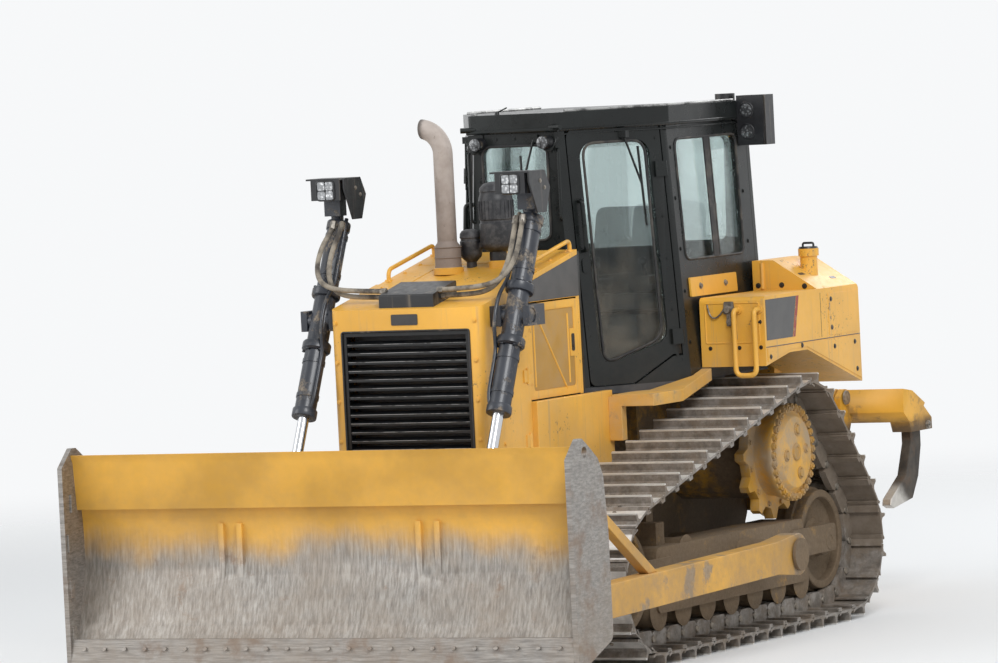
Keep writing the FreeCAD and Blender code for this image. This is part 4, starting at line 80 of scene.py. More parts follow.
class Value:
    """A socket that plain arithmetic can be done on."""

    def __init__(self, shader, socket):
        self.shader = shader
        self.socket = socket

    def _math(self, operation, *values):
        return self.shader.node("ShaderNodeMath", {"operation": operation}, dict(enumerate(values)))

    def __add__(self, other):
        return self._math("ADD", self, other)

    def __sub__(self, other):
        return self._math("SUBTRACT", self, other)

    def __mul__(self, other):
        return self._math("MULTIPLY", self, other)

    def __rsub__(self, other):
        return self._math("SUBTRACT", other, self)

    __radd__ = __add__
    __rmul__ = __mul__

    def larger(self, other):
        return self._math("MAXIMUM", self, other)

    def smaller(self, other):
        return self._math("MINIMUM", self, other)

    def sine(self):
        return self._math("SINE", self)

    def ramp(self, low, high, start=0.0, end=1.0):
        """Map the stretch from low to high onto start to end, and hold it there outside."""
        settings = {"interpolation_type": "SMOOTHSTEP"}
        return self.shader.node("ShaderNodeMapRange", settings, {0: self, 1: low, 2: high, 3: start, 4: end})


class Finish:
    """A procedural material on Object coordinates."""

    def __init__(self, name):
        self.material = bpy.data.materials.new(name)
        self.material.use_nodes = True
        self.tree = self.material.node_tree
        self.tree.nodes.clear()
        self.output = self.tree.nodes.new("ShaderNodeOutputMaterial")
        coordinates = self.tree.nodes.new("ShaderNodeTexCoord")
        self.place = Value(self, coordinates.outputs["Object"])
        split = self.tree.nodes.new("ShaderNodeSeparateXYZ")
        self.tree.links.new(self.place.socket, split.inputs[0])
        self.x, self.y, self.z = (Value(self, socket) for socket in split.outputs)

    def node(self, kind, settings, inputs, output=0):
        """Add a node, set it up, fill or link its sockets, and return one output."""
        made = self.tree.nodes.new(kind)
        for key, setting in settings.items():
            setattr(made, key, setting)
        for key, value in inputs.items():
            socket = made.inputs[key]
            if isinstance(value, Value):
                self.tree.links.new(value.socket, socket)
            else:
                socket.default_value = value
        return Value(self, made.outputs[output])

    def noise(self, scale, detail=5.0, rough=0.55, place=None):
        inputs = {"Vector": place or self.place, "Scale": scale, "Detail": detail, "Roughness": rough}
        return self.node("ShaderNodeTexNoise", {}, inputs)

    def cells(self, scale):
        return self.node("ShaderNodeTexVoronoi", {"feature": "F1"}, {"Vector": self.place, "Scale": scale})

    def stretched(self, scale):
        """The place on the piece, drawn out along its axes."""
        return self.node("ShaderNodeMapping", {}, {"Vector": self.place, "Scale": scale})

    def mix(self, factor, first, second):
        """Blend two colours."""
        settings = {"data_type": "RGBA", "clamp_factor": True}
        first, second = (c if isinstance(c, Value) else (*c, 1)[:4] for c in (first, second))
        return self.node("ShaderNodeMix", settings, {0: factor, 6: first, 7: second}, 2)

    def mottled(self, noise, first, second):
        """Two colours in soft patches of noise."""
        return self.mix(self.noise(*noise).ramp(0.3, 0.7), first, second)

    def bump(self, height, strength, distance):
        return self.node("ShaderNodeBump", {}, {"Height": height, "Strength": strength, "Distance": distance})

    def surface(self, colour, roughness, metallic=0.0, normal=None, plain=None):
        """Finish with one principled surface; plain holds values that are the same all over."""
        inputs = {"Base Color": colour, "Roughness": roughness, "Metallic": metallic}
        if normal is not None:
            inputs["Normal"] = normal
        inputs.update(plain or {})
        result = self.node("ShaderNodeBsdfPrincipled", {}, inputs)
        self.tree.links.new(result.socket, self.output.inputs["Surface"])
        return self.material


FINISHES = {}
MAKERS = {}


def finish(name):
    """The material of that name, made when it is first asked for."""
    if name not in FINISHES:
        settings = bpy.context.scene.dozer_finishes
        colours = SimpleNamespace(**{key: Vector(getattr(settings, key)) for key in settings.__annotations__})
        FINISHES[name] = MAKERS[name](Finish(name), colours)
    return FINISHES[name]


def maker(make):
    """List a function that makes the finish of its own name."""
    MAKERS[make.__name__] = make
    return make


def dusty(f, colour, dust, amount, low=0.3, high=2.6):
    """Lay dust over a colour, thicker near the ground and in blown patches."""
    cloud = f.noise(2.3, 8, 0.62)
    fine = f.noise(19, 6, 0.7)
    height = f.z.ramp(low, high, 1.0, 0.12)
    veil = (cloud * 0.75 + fine * 0.45 - 0.38) * 1.7 * height * amount
    veil = veil.larger(0.0).smaller(0.94)
    return f.mix(veil, colour, dust), veil


def chips(f, scale=9.0, share=0.63):
    """Small scraped places, in clusters."""
    cluster = f.noise(scale * 0.22, 3, 0.5)
    spots = f.noise(scale * 4, 8, 0.75)
    return (cluster * 0.5 + spots * 0.62).ramp(share, share + 0.03)


def painted(f, colours, base, dust_amount, gloss=0.36):
    """Machine paint: faded in patches, chipped, streaked and dusty."""
    fade = f.noise(1.6, 4, 0.5)
    tone = f.mix(fade.ramp(0.3, 0.7), base * 0.86, base * 1.1)
    speckle = f.noise(140, 3, 0.6)
    tone = f.mix(speckle.ramp(0.42, 0.75, 0.0, 0.1), tone, base * 0.75)
    bare = chips(f, 9.0, 0.67)
    tone = f.mix(bare * 0.75, tone, (0.11, 0.08, 0.055))
    streak = f.noise(7, 4, 0.6, f.stretched((3.2, 3.2, 0.16)))
    tone = f.mix(streak.ramp(0.56, 0.76, 0.0, 0.42), tone, colours.dust * 0.62)
    tone, veil = dusty(f, tone, colours.dust, dust_amount)
    rough = veil * 0.5 + f.noise(28, 5).ramp(0.3, 0.8, gloss, gloss + 0.14) + bare * 0.2
    relief = f.noise(60, 4) * 0.12 + veil * 0.5 - bare * 0.7
    return f.surface(tone, rough, 0, f.bump(relief, 0.35, 0.0016),
                     {"Coat Weight": 0.12, "Coat Roughness": 0.3})


@maker
def yellow_paint(f, colours):
    return painted(f, colours, colours.yellow, 0.62)


@maker
def arm_paint(f, colours):
    """Yellow paint near the ground, rubbed and caked with soil."""
    base = colours.yellow
    rubbed = f.noise(3.4, 9, 0.66)
    tone = f.mix(f.noise(1.9, 4).ramp(0.35, 0.7), base * 0.7, base * 0.98)
    steel = f.mottled((45, 6), (0.17, 0.145, 0.12), (0.3, 0.27, 0.235))
    worn = rubbed.ramp(0.55, 0.63)
    tone = f.mix(worn * 0.75, tone, steel)
    tone, veil = dusty(f, tone, colours.soil, 1.15, 0.2, 2.2)
    crumbs = f.noise(85, 5, 0.7)
    relief = veil * (0.5 + crumbs) - worn * 0.25
    rough = 0.5 + veil * 0.4 - worn * 0.08
    return f.surface(tone, rough, worn * 0.35, f.bump(relief, 0.6, 0.004))


@maker
def black_paint(f, colours):
    return painted(f, colours, colours.black, 0.1, 0.34)


@maker
def cab_black(f, colours):
    """Semi-gloss black sheet with a thin veil of dust low down."""
    base = colours.cab
    tone = f.mix(f.noise(3, 4).ramp(0.3, 0.75), base * 0.6, base * 1.1)
    tone, veil = dusty(f, tone, colours.dust * 0.3, 0.2, 1.3, 2.3)
    scratches = f.noise(30, 5, 0.8, f.stretched((1, 1, 6))).ramp(0.66, 0.72, 0, 0.22)
    tone = f.mix(scratches, tone, (0.12, 0.115, 0.11))
    return f.surface(tone, veil * 0.6 + f.noise(12, 4).ramp(0.3, 0.7, 0.24, 0.36), 0.0,
                     f.bump(f.noise(70, 4) * 0.2 + veil, 0.22, 0.001),
                     {"Specular IOR Level": 0.3, "Coat Weight": 0.08, "Coat Roughness": 0.2})


@maker
def muddy_black(f, colours):
    """Black cylinder paint with dried soil stuck on in patches."""
    mud = f.noise(7.5, 10, 0.68)
    crumbs = f.noise(70, 6, 0.7)
    stuck = (mud * 0.8 + crumbs * 0.25).ramp(0.56, 0.66)
    tone = f.mottled((5, 4), (0.012, 0.015, 0.022), (0.035, 0.04, 0.052))
    soil = f.mix(crumbs, colours.dust * 0.32, colours.dust * 0.85)
    tone = f.mix(stuck * 0.82, tone, soil)
    return f.surface(tone, stuck * 0.5 + 0.36, 0, f.bump(stuck * (0.6 + crumbs), 0.7, 0.003),
                     {"Coat Weight": 0.1})


@maker
def scoured_steel(f, colours):
    """Blade and tooth steel, polished along its travel and stained with soil."""
    grain = f.noise(26, 6, 0.7, f.stretched((0.25, 1, 3.5)))
    tone = f.mix(grain.ramp(0.3, 0.72), (0.2, 0.19, 0.18), (0.43, 0.41, 0.385))
    rust = f.noise(4.2, 8, 0.65).ramp(0.5, 0.68)
    tone = f.mix(rust * 0.65, tone, (0.17, 0.095, 0.055))
    tone, veil = dusty(f, tone, colours.soil, 0.75, 0.1, 1.7)
    rough = grain.ramp(0.3, 0.7, 0.32, 0.5) + veil * 0.4 + rust * 0.12
    return f.surface(tone, rough, (1 - rust * 0.6) * (1 - veil) * 0.85,
                     f.bump(grain * 0.4 + veil * 0.8, 0.4, 0.0016))


@maker
def blade_face(f, colours):
    """Yellow blade whose middle the soil has scoured to bare steel."""
    base = colours.yellow
    low = f.z.ramp(0.3, 1.35, 1.0, 0.0)
    sweep = f.noise(2.2, 8, 0.6, f.stretched((0.7, 1, 0.5)))
    scour = (low * 0.85 + sweep * 0.75).ramp(0.62, 0.95)
    drag = f.noise(30, 6, 0.7, f.stretched((2.2, 1, 0.22)))
    steel = f.mix(drag.ramp(0.3, 0.7), (0.2, 0.185, 0.17), (0.44, 0.42, 0.39))
    tone = f.mottled((2.4, 4), base * 0.75, base * 1.03)
    tone = f.mix(scour, tone, steel)
    rust = f.noise(6, 8, 0.7).ramp(0.58, 0.7)
    tone = f.mix(rust * scour * 0.5, tone, (0.2, 0.1, 0.05))
    tone, veil = dusty(f, tone, colours.soil, 0.8, 0.1, 1.9)
    return f.surface(tone, 0.42 + veil * 0.4 + (1 - scour) * 0.04, scour * (1 - veil) * 0.7,
                     f.bump(drag * scour * 0.4 + veil * 0.7, 0.4, 0.002))


def shade_run(f):
    """One on the steep run of the track down behind the sprocket, where the shoes are darkened with soil and
    with painted shade.
    """
    return (f.y * 0.78 + f.z * 0.62).ramp(1.5, 1.62)


@maker
def shoe_steel(f, colours):
    """Cast track steel under brown soil, with painted shade on the run behind the sprocket."""
    tone = f.mottled((14, 7, 0.65), (0.15, 0.13, 0.11), (0.34, 0.31, 0.28))
    rust = f.noise(5, 8, 0.7).ramp(0.52, 0.72, 0.0, 0.4)
    tone = f.mix(rust, tone, (0.24, 0.15, 0.09))
    soil = f.noise(6.5, 9, 0.7)
    # The soil colour that shade_run adds here is painted shade on the run behind the sprocket.
    cake = (soil * 0.85 + f.noise(60, 5, 0.7) * 0.25 + shade_run(f) * 0.2).ramp(0.5, 0.68)
    tone = f.mix(cake * 0.75, tone, colours.soil * 0.62)
    return f.surface(tone, cake * 0.3 + 0.5, (1 - cake) * 0.35,
                     f.bump(cake * f.noise(90, 5, 0.75) + f.noise(30, 4) * 0.2, 0.75, 0.004))


@maker
def plate_top(f, colours):
    """The outside of the shoes, bright where they have been under load."""
    tone = f.mottled((11, 7, 0.65), (0.6, 0.575, 0.545), (0.86, 0.83, 0.79))
    scrape = f.noise(30, 7, 0.7, f.stretched((0.5, 6, 6))).ramp(0.5, 0.8, 0.0, 0.35)
    tone = f.mix(scrape, tone, (0.3, 0.26, 0.22))
    cake = (f.noise(4.5, 9, 0.7) * 0.8 + f.noise(50, 5, 0.7) * 0.25).ramp(0.58, 0.7, 0.0, 0.7)
    # Behind the sprocket the soil colour here is painted shade as well as soil.
    cake = cake.larger(shade_run(f) * 0.9)
    tone = f.mix(cake, tone, colours.soil * 0.8)
    return f.surface(tone, cake * 0.4 + 0.36, (1 - cake) * 0.5,
                     f.bump(cake * f.noise(90, 5, 0.75) + scrape * 0.3, 0.6, 0.003))


@maker
def beam_paint(f, colours):
    """The ripper beam: yellow on top, with painted shade in dark brown on its lower part."""
    base = colours.yellow
    tone = f.mix(f.noise(1.9, 4).ramp(0.35, 0.7), base * 0.72, base)
    # Painted shade: below this height the beam is laid over with dark brown.
    low = (f.z + f.noise(4, 8, 0.65) * 0.16).ramp(1.12, 1.22, 1.0, 0.0)
    soil = f.mix(f.noise(40, 6, 0.7), (0.05, 0.038, 0.028), (0.16, 0.11, 0.07))
    scuff = f.noise(5, 9, 0.66).ramp(0.56, 0.64, 0.0, 0.55)
    tone = f.mix(scuff, tone, (0.2, 0.12, 0.05))
    tone = f.mix(low * 0.93, tone, soil)
    return f.surface(tone, low * 0.3 + 0.5, 0, f.bump(low * f.noise(80, 5, 0.7), 0.6, 0.004))


@maker
def soil_and_shade_hull(f, colours):
    """Yellow castings and beams behind the tracks, nearly all under brown soil and painted shade, more of it
    towards the ground.
    """
    base = colours.yellow
    cloud = f.noise(2.6, 8, 0.64)
    # The yellow is darkened and laid under dark brown as painted shade together with soil.
    tone = f.mottled((1.7, 4), base * 0.5, base * 0.85)
    soil_and_shade = (cloud * 0.8 + f.noise(22, 7, 0.7) * 0.3 + f.z.ramp(0.2, 1.6, 0.16, 0.0)).ramp(0.42, 0.62)
    soil = f.mix(f.noise(40, 6, 0.7), (0.055, 0.042, 0.031), colours.soil * 0.75)
    tone = f.mix(soil_and_shade * 0.93, tone, soil)
    return f.surface(tone, soil_and_shade * 0.3 + 0.55, 0, f.bump(soil_and_shade * (0.5 + f.noise(80, 5, 0.7)), 0.8, 0.005))


@maker
def crest_steel(f, colours):
    """Bright worn crest of a grouser."""
    grain = f.noise(34, 6, 0.7, f.stretched((0.3, 2, 2)))
    tone = f.mix(grain.ramp(0.3, 0.7), (0.52, 0.5, 0.47), (0.78, 0.76, 0.72))
    cake = f.noise(9, 8, 0.7).ramp(0.6, 0.74, 0.0, 0.5)
    tone = f.mix(cake, tone, colours.soil)
    return f.surface(tone, cake * 0.4 + 0.4, (1 - cake) * 0.4, f.bump(grain + cake, 0.3, 0.0015))


@maker
def wheel_paint(f, colours):
    """Yellow castings inside the track, thick with pale dust."""
    base = colours.yellow
    tone = f.mottled((3, 5), base * 0.62, base * 0.9)
    grease = f.noise(5.5, 7, 0.65).ramp(0.58, 0.72, 0, 0.6)
    tone = f.mix(grease, tone, (0.05, 0.04, 0.03))
    cake = (f.noise(4.5, 9, 0.68) * 0.9 + f.noise(75, 5, 0.7) * 0.2).ramp(0.4, 0.68)
    tone = f.mix(cake * 0.8, tone, colours.dust * 0.82)
    return f.surface(tone, cake * 0.35 + 0.5, 0, f.bump(cake * f.noise(80, 5, 0.7), 0.6, 0.003))


@maker
def hub_paint(f, colours):
    """Tan dusty paint on the outside of the final drive's hub."""
    base = colours.yellow
    tone = f.mottled((5, 6), base * 0.46, base * 0.7)
    dust = (f.noise(9, 9, 0.7) * 0.9 + f.noise(90, 4) * 0.15).ramp(0.34, 0.7)
    tone = f.mix(dust * 0.75, tone, colours.dust * 0.7)
    rust = f.noise(16, 7, 0.7).ramp(0.6, 0.7, 0.0, 0.6)
    tone = f.mix(rust, tone, (0.3, 0.14, 0.05))
    return f.surface(tone, dust * 0.3 + 0.5, 0, f.bump(dust, 0.4, 0.002))


@maker
def shank_steel(f, colours):
    """Forged ripper shank, near black above as dark steel with painted shade, and ground bright at its tooth.
    """
    worn = (f.y * 0.62 + f.z * 0.78 + f.noise(9, 6, 0.6) * 0.09).ramp(2.18, 2.3, 1.0, 0.0)
    # The shank's dark tones are partly painted shade.
    tone = f.mottled((8, 8, 0.65), (0.03, 0.026, 0.022), (0.085, 0.07, 0.055))
    rust = f.noise(6, 8, 0.7).ramp(0.5, 0.66, 0.0, 0.6)
    tone = f.mix(rust, tone, (0.12, 0.07, 0.038))
    bright = f.mix(f.noise(26, 7, 0.7), (0.42, 0.39, 0.35), (0.74, 0.71, 0.66))
    tone = f.mix(worn, tone, bright)
    return f.surface(tone, 0.8 - worn * 0.42, worn * 0.7, f.bump(f.noise(40, 7, 0.7), 0.6, 0.003))


@maker
def red_stripe(f, colours):
    """Faded red stripe beside the blank plate."""
    worn = (f.noise(26, 7, 0.7) * 0.8 + f.noise(120, 4) * 0.2).ramp(0.5, 0.62)
    tone = f.mix(worn, (0.3, 0.045, 0.035), (0.36, 0.2, 0.1))
    return f.surface(tone, 0.5, 0, f.bump(f.noise(80, 4), 0.2, 0.001))


@maker
def pale_rail(f, colours):
    """Pale grey bars as painted highlights on the roof's rain rail and the louvres' edges, broken by dark
    patches.
    """
    tone = f.mix(f.noise(9, 6, 0.7).ramp(0.45, 0.6), (0.42, 0.42, 0.41), (0.1, 0.1, 0.1))
    return f.surface(tone, 0.35, 0.4, f.bump(f.noise(60, 4), 0.2, 0.001))


@maker
def lamp_glass(f, colours):
    """Round lamp seen against a dark inside."""
    ribs = f.cells(70)
    tone = f.mix(ribs.ramp(0.1, 0.6), (0.24, 0.25, 0.26), (0.05, 0.052, 0.055))
    return f.surface(tone, 0.1, 0.3, f.bump(ribs, 0.5, 0.002), {"Coat Weight": 1.0, "Coat Roughness": 0.03})


@maker
def grille_black(f, colours):
    """Near-black louvres, greyed by dust in patches."""
    dust = (f.noise(9, 7, 0.7) * 0.7 + f.noise(60, 4) * 0.2).ramp(0.45, 0.75, 0.0, 0.3)
    tone = f.mix(dust, (0.0045, 0.005, 0.006), (0.07, 0.06, 0.05))
    return f.surface(tone, dust + 0.32, 0, f.bump(f.noise(60, 4), 0.2, 0.001))


@maker
def bright_rod(f, colours):
    film = f.noise(9, 6, 0.6, f.stretched((1, 1, 0.35)))
    tone = f.mix(film.ramp(0.5, 0.7, 0, 0.5), (0.62, 0.63, 0.65), colours.dust * 0.75)
    return f.surface(tone, film.ramp(0.4, 0.7, 0.1, 0.38), 1.0)


@maker
def bolt_steel(f, colours):
    tone = f.mix(f.noise(40, 5).ramp(0.35, 0.7), (0.13, 0.12, 0.105), (0.34, 0.31, 0.27))
    tone, veil = dusty(f, tone, colours.dust, 0.7)
    return f.surface(tone, veil * 0.3 + 0.45, 0.5, f.bump(f.noise(120, 4), 0.3, 0.001))


@maker
def hose_cover(f, colours):
    """Dusty rubber with the fine spiral of its wrapping."""
    tone = f.mix(f.noise(9, 7, 0.65).ramp(0.32, 0.6), (0.055, 0.047, 0.04), (0.31, 0.27, 0.215))
    wrap = f.node("ShaderNodeTexWave", {"wave_type": "BANDS", "bands_direction": "DIAGONAL"},
                  {"Vector": f.place, "Scale": 90, "Distortion": 1.2, "Detail": 2}, 1)
    return f.surface(tone, 0.78, 0, f.bump(wrap * 0.5 + f.noise(60, 5), 0.35, 0.0012))


@maker
def rubber_seal(f, colours):
    tone = f.mix(f.noise(10, 5).ramp(0.4, 0.7), (0.012, 0.012, 0.013), (0.07, 0.062, 0.052))
    return f.surface(tone, 0.62, 0, f.bump(f.noise(150, 3), 0.2, 0.0008))


@maker
def exhaust_steel(f, colours):
    """Heat-browned pipe with pale dust in patches."""
    heat = f.z.ramp(2.25, 3.15)
    cloud = f.noise(5, 8, 0.62)
    tone = f.mix((heat * 0.3 + cloud * 0.7).ramp(0.3, 0.75), (0.25, 0.2, 0.17), (0.48, 0.42, 0.38))
    streak = f.noise(9, 6, 0.6, f.stretched((1, 1, 0.25))).ramp(0.5, 0.75, 0.0, 0.45)
    tone = f.mix(streak, tone, (0.19, 0.145, 0.12))
    soot = (f.x * -1 + f.noise(9, 5) * 0.02).ramp(0.235, 0.262)
    tone = f.mix(soot * 0.75, tone, (0.03, 0.026, 0.023))
    spots = f.noise(32, 7, 0.75).ramp(0.6, 0.7, 0, 0.7)
    tone = f.mix(spots, tone, (0.065, 0.04, 0.027))
    return f.surface(tone, 0.66, 0.22, f.bump(cloud * 0.5 + f.noise(60, 5), 0.4, 0.0018))


@maker
def cleaner_plastic(f, colours):
    """Black plastic of the intake's bowls, grey with fine dust."""
    dust = f.noise(11, 9, 0.72).ramp(0.44, 0.68)
    tone = f.mix(dust * 0.6, (0.016, 0.017, 0.02), (0.145, 0.142, 0.145))
    return f.surface(tone, dust * 0.35 + 0.42, 0, f.bump(dust + f.noise(110, 4) * 0.3, 0.4, 0.0015))


@maker
def window_glass(f, colours):
    """Clear glass, faintly green, with dust towards its lower edge."""
    film = (f.noise(6, 7, 0.6) * f.z.ramp(1.6, 2.7, 1.0, 0.35)).ramp(0.18, 0.7, 0.0, 0.34)
    clear = f.node("ShaderNodeBsdfPrincipled", {}, {
        "Base Color": (*colours.glass, 1), "Roughness": film * 0.4 + 0.02, "IOR": 1.45,
        "Transmission Weight": 1.0})
    veil = f.node("ShaderNodeBsdfPrincipled", {}, {
        "Base Color": (*(colours.dust * 0.8), 1), "Roughness": 0.9})
    through = f.node("ShaderNodeBsdfTransparent", {}, {"Color": (0.83, 0.88, 0.875, 1)})
    pane = f.node("ShaderNodeMixShader", {}, {0: 0.62, 1: clear, 2: through})
    both = f.node("ShaderNodeMixShader", {}, {0: film * 0.55, 1: pane, 2: veil})
    f.tree.links.new(both.socket, f.output.inputs["Surface"])
    return f.material


@maker
def lamp_lens(f, colours):
    """Faceted clear lens in front of a bright reflector."""
    ribs = f.cells(55)
    tone = f.mix(ribs.ramp(0.1, 0.6), (0.78, 0.79, 0.8), (0.3, 0.31, 0.32))
    return f.surface(tone, 0.12, 0.55, f.bump(ribs, 0.6, 0.003), {"Coat Weight": 1.0, "Coat Roughness": 0.04})


@maker
def seat_cloth(f, colours):
    """Woven seat cover, darker in its weave."""
    warp = (f.x * 1400).sine()
    weft = (f.z * 1400 + f.y * 900).sine()
    weave = (warp * weft).ramp(-0.8, 0.8)
    tone = f.mix(weave, (0.022, 0.023, 0.026), (0.075, 0.075, 0.082))
    return f.surface(tone, 0.86, 0, f.bump(weave, 0.3, 0.0006), {"Sheen Weight": 0.3})


@maker
def moulded_plastic(f, colours):
    grain = f.cells(420)
    tone = f.mottled((6, 4), (0.035, 0.036, 0.04), (0.075, 0.075, 0.08))
    return f.surface(tone, 0.55, 0, f.bump(grain, 0.25, 0.0006))


@maker
def tread_plate(f, colours):
    """Yellow anti-slip sheet: gritty, scuffed and dusty."""
    base = colours.yellow
    tone = f.mottled((3, 5), base * 0.78, base * 1.04)
    scuff = f.noise(9, 8, 0.7).ramp(0.54, 0.7, 0, 0.6)
    tone = f.mix(scuff, tone, (0.2, 0.16, 0.12))
    tone, veil = dusty(f, tone, colours.dust * 1.05, 1.0, 0.6, 3.4)
    return f.surface(tone, 0.62 + veil * 0.2, 0, f.bump(f.cells(160) * 0.5 + veil, 0.5, 0.0014))


@maker
def door_tan(f, colours):
    """Dusty, sun-faded paint inside the engine door's frame."""
    base = colours.yellow
    tone = f.mottled((3, 5), base * 0.5, base * 0.72)
    film = (f.noise(6, 9, 0.7) * 0.9 + f.noise(80, 4) * 0.15).ramp(0.36, 0.72, 0.1, 0.5)
    tone = f.mix(film, tone, colours.dust * 0.62)
    return f.surface(tone, film * 0.4 + 0.4, 0, f.bump(film, 0.25, 0.001))


@maker
def plate_dark(f, colours):
    """Blank dark plate or band."""
    tone = f.mottled((8, 5), (0.009, 0.009, 0.01), (0.025, 0.024, 0.024))
    tone, veil = dusty(f, tone, colours.dust, 0.22)
    return f.surface(tone, 0.38 + veil * 0.4, 0.0, None, {"Coat Weight": 0.4})


# Mesh helpers

def at(x, y, z):
    return Matrix.Translation((x, y, z))


def aim(place, direction):
    """A matrix that turns +Z to a direction and moves the origin to a place."""
    return Matrix.Translation(place) @ Vector(direction).to_track_quat("Z", "Y").to_matrix().to_4x4()


def faces_of(verts):
    """The faces at some vertices, each once and in a fixed order."""
    return list(dict.fromkeys(face for vert in verts for face in vert.link_faces))


def paint(verts, material):
    for face in faces_of(verts):
        face.material_index = material


def cuboid(bm, low, high, material=0, matrix=Matrix.Identity(4)):
    """A box between two corners."""
    low, high = Vector(low), Vector(high)
    made = bmesh.ops.create_cube(bm, size=1.0)["verts"]
    size = Matrix.Diagonal((*(high - low), 1))
    bmesh.ops.transform(bm, matrix=matrix @ Matrix.Translation((low + high) / 2) @ size, verts=made)
    paint(made, material)


def cone(bm, matrix, low_radius, high_radius, height, sides=24, material=0):
    """A closed cone or cylinder that stands on the matrix's XY plane."""
    made = bmesh.ops.create_cone(bm, cap_ends=True, cap_tris=False, segments=sides, radius1=low_radius,
                                 radius2=high_radius, depth=height,
                                 matrix=matrix @ at(0, 0, height / 2))["verts"]
    paint(made, material)


def lathe(bm, matrix, profile, sides=32, material=0):
    """Spin a profile of (radius, height) pairs round the matrix's Z axis."""
    start = [bm.verts.new((radius, 0, height)) for radius, height in profile]
    edges = [bm.edges.new(pair) for pair in zip(start, start[1:])]
    bmesh.ops.spin(bm, geom=start + edges, cent=(0, 0, 0), axis=(0, 0, 1), angle=math.tau, steps=sides,
                   use_merge=True)
    verts = list(start)
    found = set(start)
    for vert in verts:
        for edge in vert.link_edges:
            other = edge.other_vert(vert)
            if other not in found:
                found.add(other)
                verts.append(other)
    bmesh.ops.remove_doubles(bm, verts=verts, dist=1e-5)
    verts = [vert for vert in verts if vert.is_valid]
    bmesh.ops.recalc_face_normals(bm, faces=faces_of(verts))
    bmesh.ops.transform(bm, matrix=matrix, verts=verts)
    paint(verts, material)


def bolt(bm, place, direction, radius=0.012, height=0.01, material=0, washer=True):
    """A hexagon head on its washer, facing a direction."""
    matrix = aim(place, direction)
    if washer:
        cone(bm, matrix @ at(0, 0, -0.001), radius * 1.45, radius * 1.4, 0.0035, 12, material)
    cone(bm, matrix @ Matrix.Rotation(radius * 50, 4, "Z"), radius, radius * 0.94, height, 6, material)


def bridge(bm, low, high):
    """Join two rings of vertices with a band of faces."""
    edges = [edge for ring in (low, high) for vert in ring for edge in vert.link_edges
             if edge.other_vert(vert) in ring]
    bmesh.ops.bridge_loops(bm, edges=list(dict.fromkeys(edges)))


def sweep(bm, points, radius, sides=10, material=0, closed=False):
    """A round bar through points, mitred at each of them."""
    points = [Vector(p) for p in points]
    rings = []
    count = len(points)
    for i, point in enumerate(points):
        before = points[i - 1] if i or closed else point
        after = points[(i + 1) % count] if i < count - 1 or closed else point
        along = ((point - before).normalized() + (after - point).normalized()).normalized()
        ring = bmesh.ops.create_circle(bm, segments=sides, radius=radius, matrix=aim(point, along))["verts"]
        rings.append(ring)
    for low, high in zip(rings, rings[1:] + rings[:1] if closed else rings[1:]):
        bridge(bm, low, high)
    if not closed:
        for ring in (rings[0], rings[-1]):
            bm.faces.new(ring)
    verts = [vert for ring in rings for vert in ring]
    bmesh.ops.recalc_face_normals(bm, faces=faces_of(verts))
    paint(verts, material)


def hoop(bm, corners, corner_radius, radius, sides=8, material=0, steps=5):
    """A closed round bar along a flat outline with rounded corners."""
    sweep(bm, rounded(corners, corner_radius, steps), radius, sides, material, closed=True)


def panel(bm, corners, depth, material=0):
    """A flat outline given in order, pushed out along a vector."""
    base = [bm.verts.new(corner) for corner in corners]
    pushed = bmesh.ops.extrude_face_region(bm, geom=[bm.faces.new(base)])["geom"]
    moved = [item for item in pushed if isinstance(item, bmesh.types.BMVert)]
    bmesh.ops.translate(bm, vec=Vector(depth), verts=moved)
    bmesh.ops.recalc_face_normals(bm, faces=faces_of(base + moved))
    paint(base + moved, material)


def row(first, last, count):
    """Even points from the first to the last."""
    first, last = Vector(first), Vector(last)
    return [first.lerp(last, i / (count - 1)) for i in range(count)]


def upright(y, left, right, low, high):
    """Corners of a rectangle that faces the front."""
    return [(left, y, low), (right, y, low), (right, y, high), (left, y, high)]


def sidelong(x, front, back, low, high):
    """Corners of a rectangle that faces a side."""
    return [(x, front, low), (x, back, low), (x, back, high), (x, front, high)]


def arc(before, corner, after, radius, steps):
    """Points that round a corner off, using less than half of each side."""
    back, ahead = before - corner, after - corner
    reach = min(radius, back.length * 0.49, ahead.length * 0.49)
    first, last = corner + back.normalized() * reach, corner + ahead.normalized() * reach
    for step in range(steps + 1):
        t = step / steps
        yield first * (1 - t) ** 2 + corner * 2 * t * (1 - t) + last * t ** 2


def rounded(corners, radius, steps=5):
    """Corner points of a flat outline with each corner turned into an arc."""
    corners = [Vector(c) for c in corners]
    threes = zip(corners[-1:] + corners[:-1], corners, corners[1:] + corners[:1])
    return [p for three in threes for p in arc(*three, radius, steps)]


def rounded_line(points, radius, steps=6):
    """An open line of points whose inner corners are turned into arcs."""
    points = [Vector(p) for p in points]
    inner = [p for three in zip(points, points[1:], points[2:]) for p in arc(*three, radius, steps)]
    return [points[0], *inner, points[-1]]


def flipped(bm):
    """Add the mirror image on the machine's other side."""
    double = bmesh.ops.duplicate(bm, geom=bm.verts[:] + bm.edges[:] + bm.faces[:])["geom"]
    mirror(bm, [item for item in double if isinstance(item, bmesh.types.BMVert)])


def mirror(bm, verts):
    """Move vertices to the machine's other side."""
    bmesh.ops.scale(bm, vec=(-1, 1, 1), verts=verts)
    bmesh.ops.reverse_faces(bm, faces=faces_of(verts))


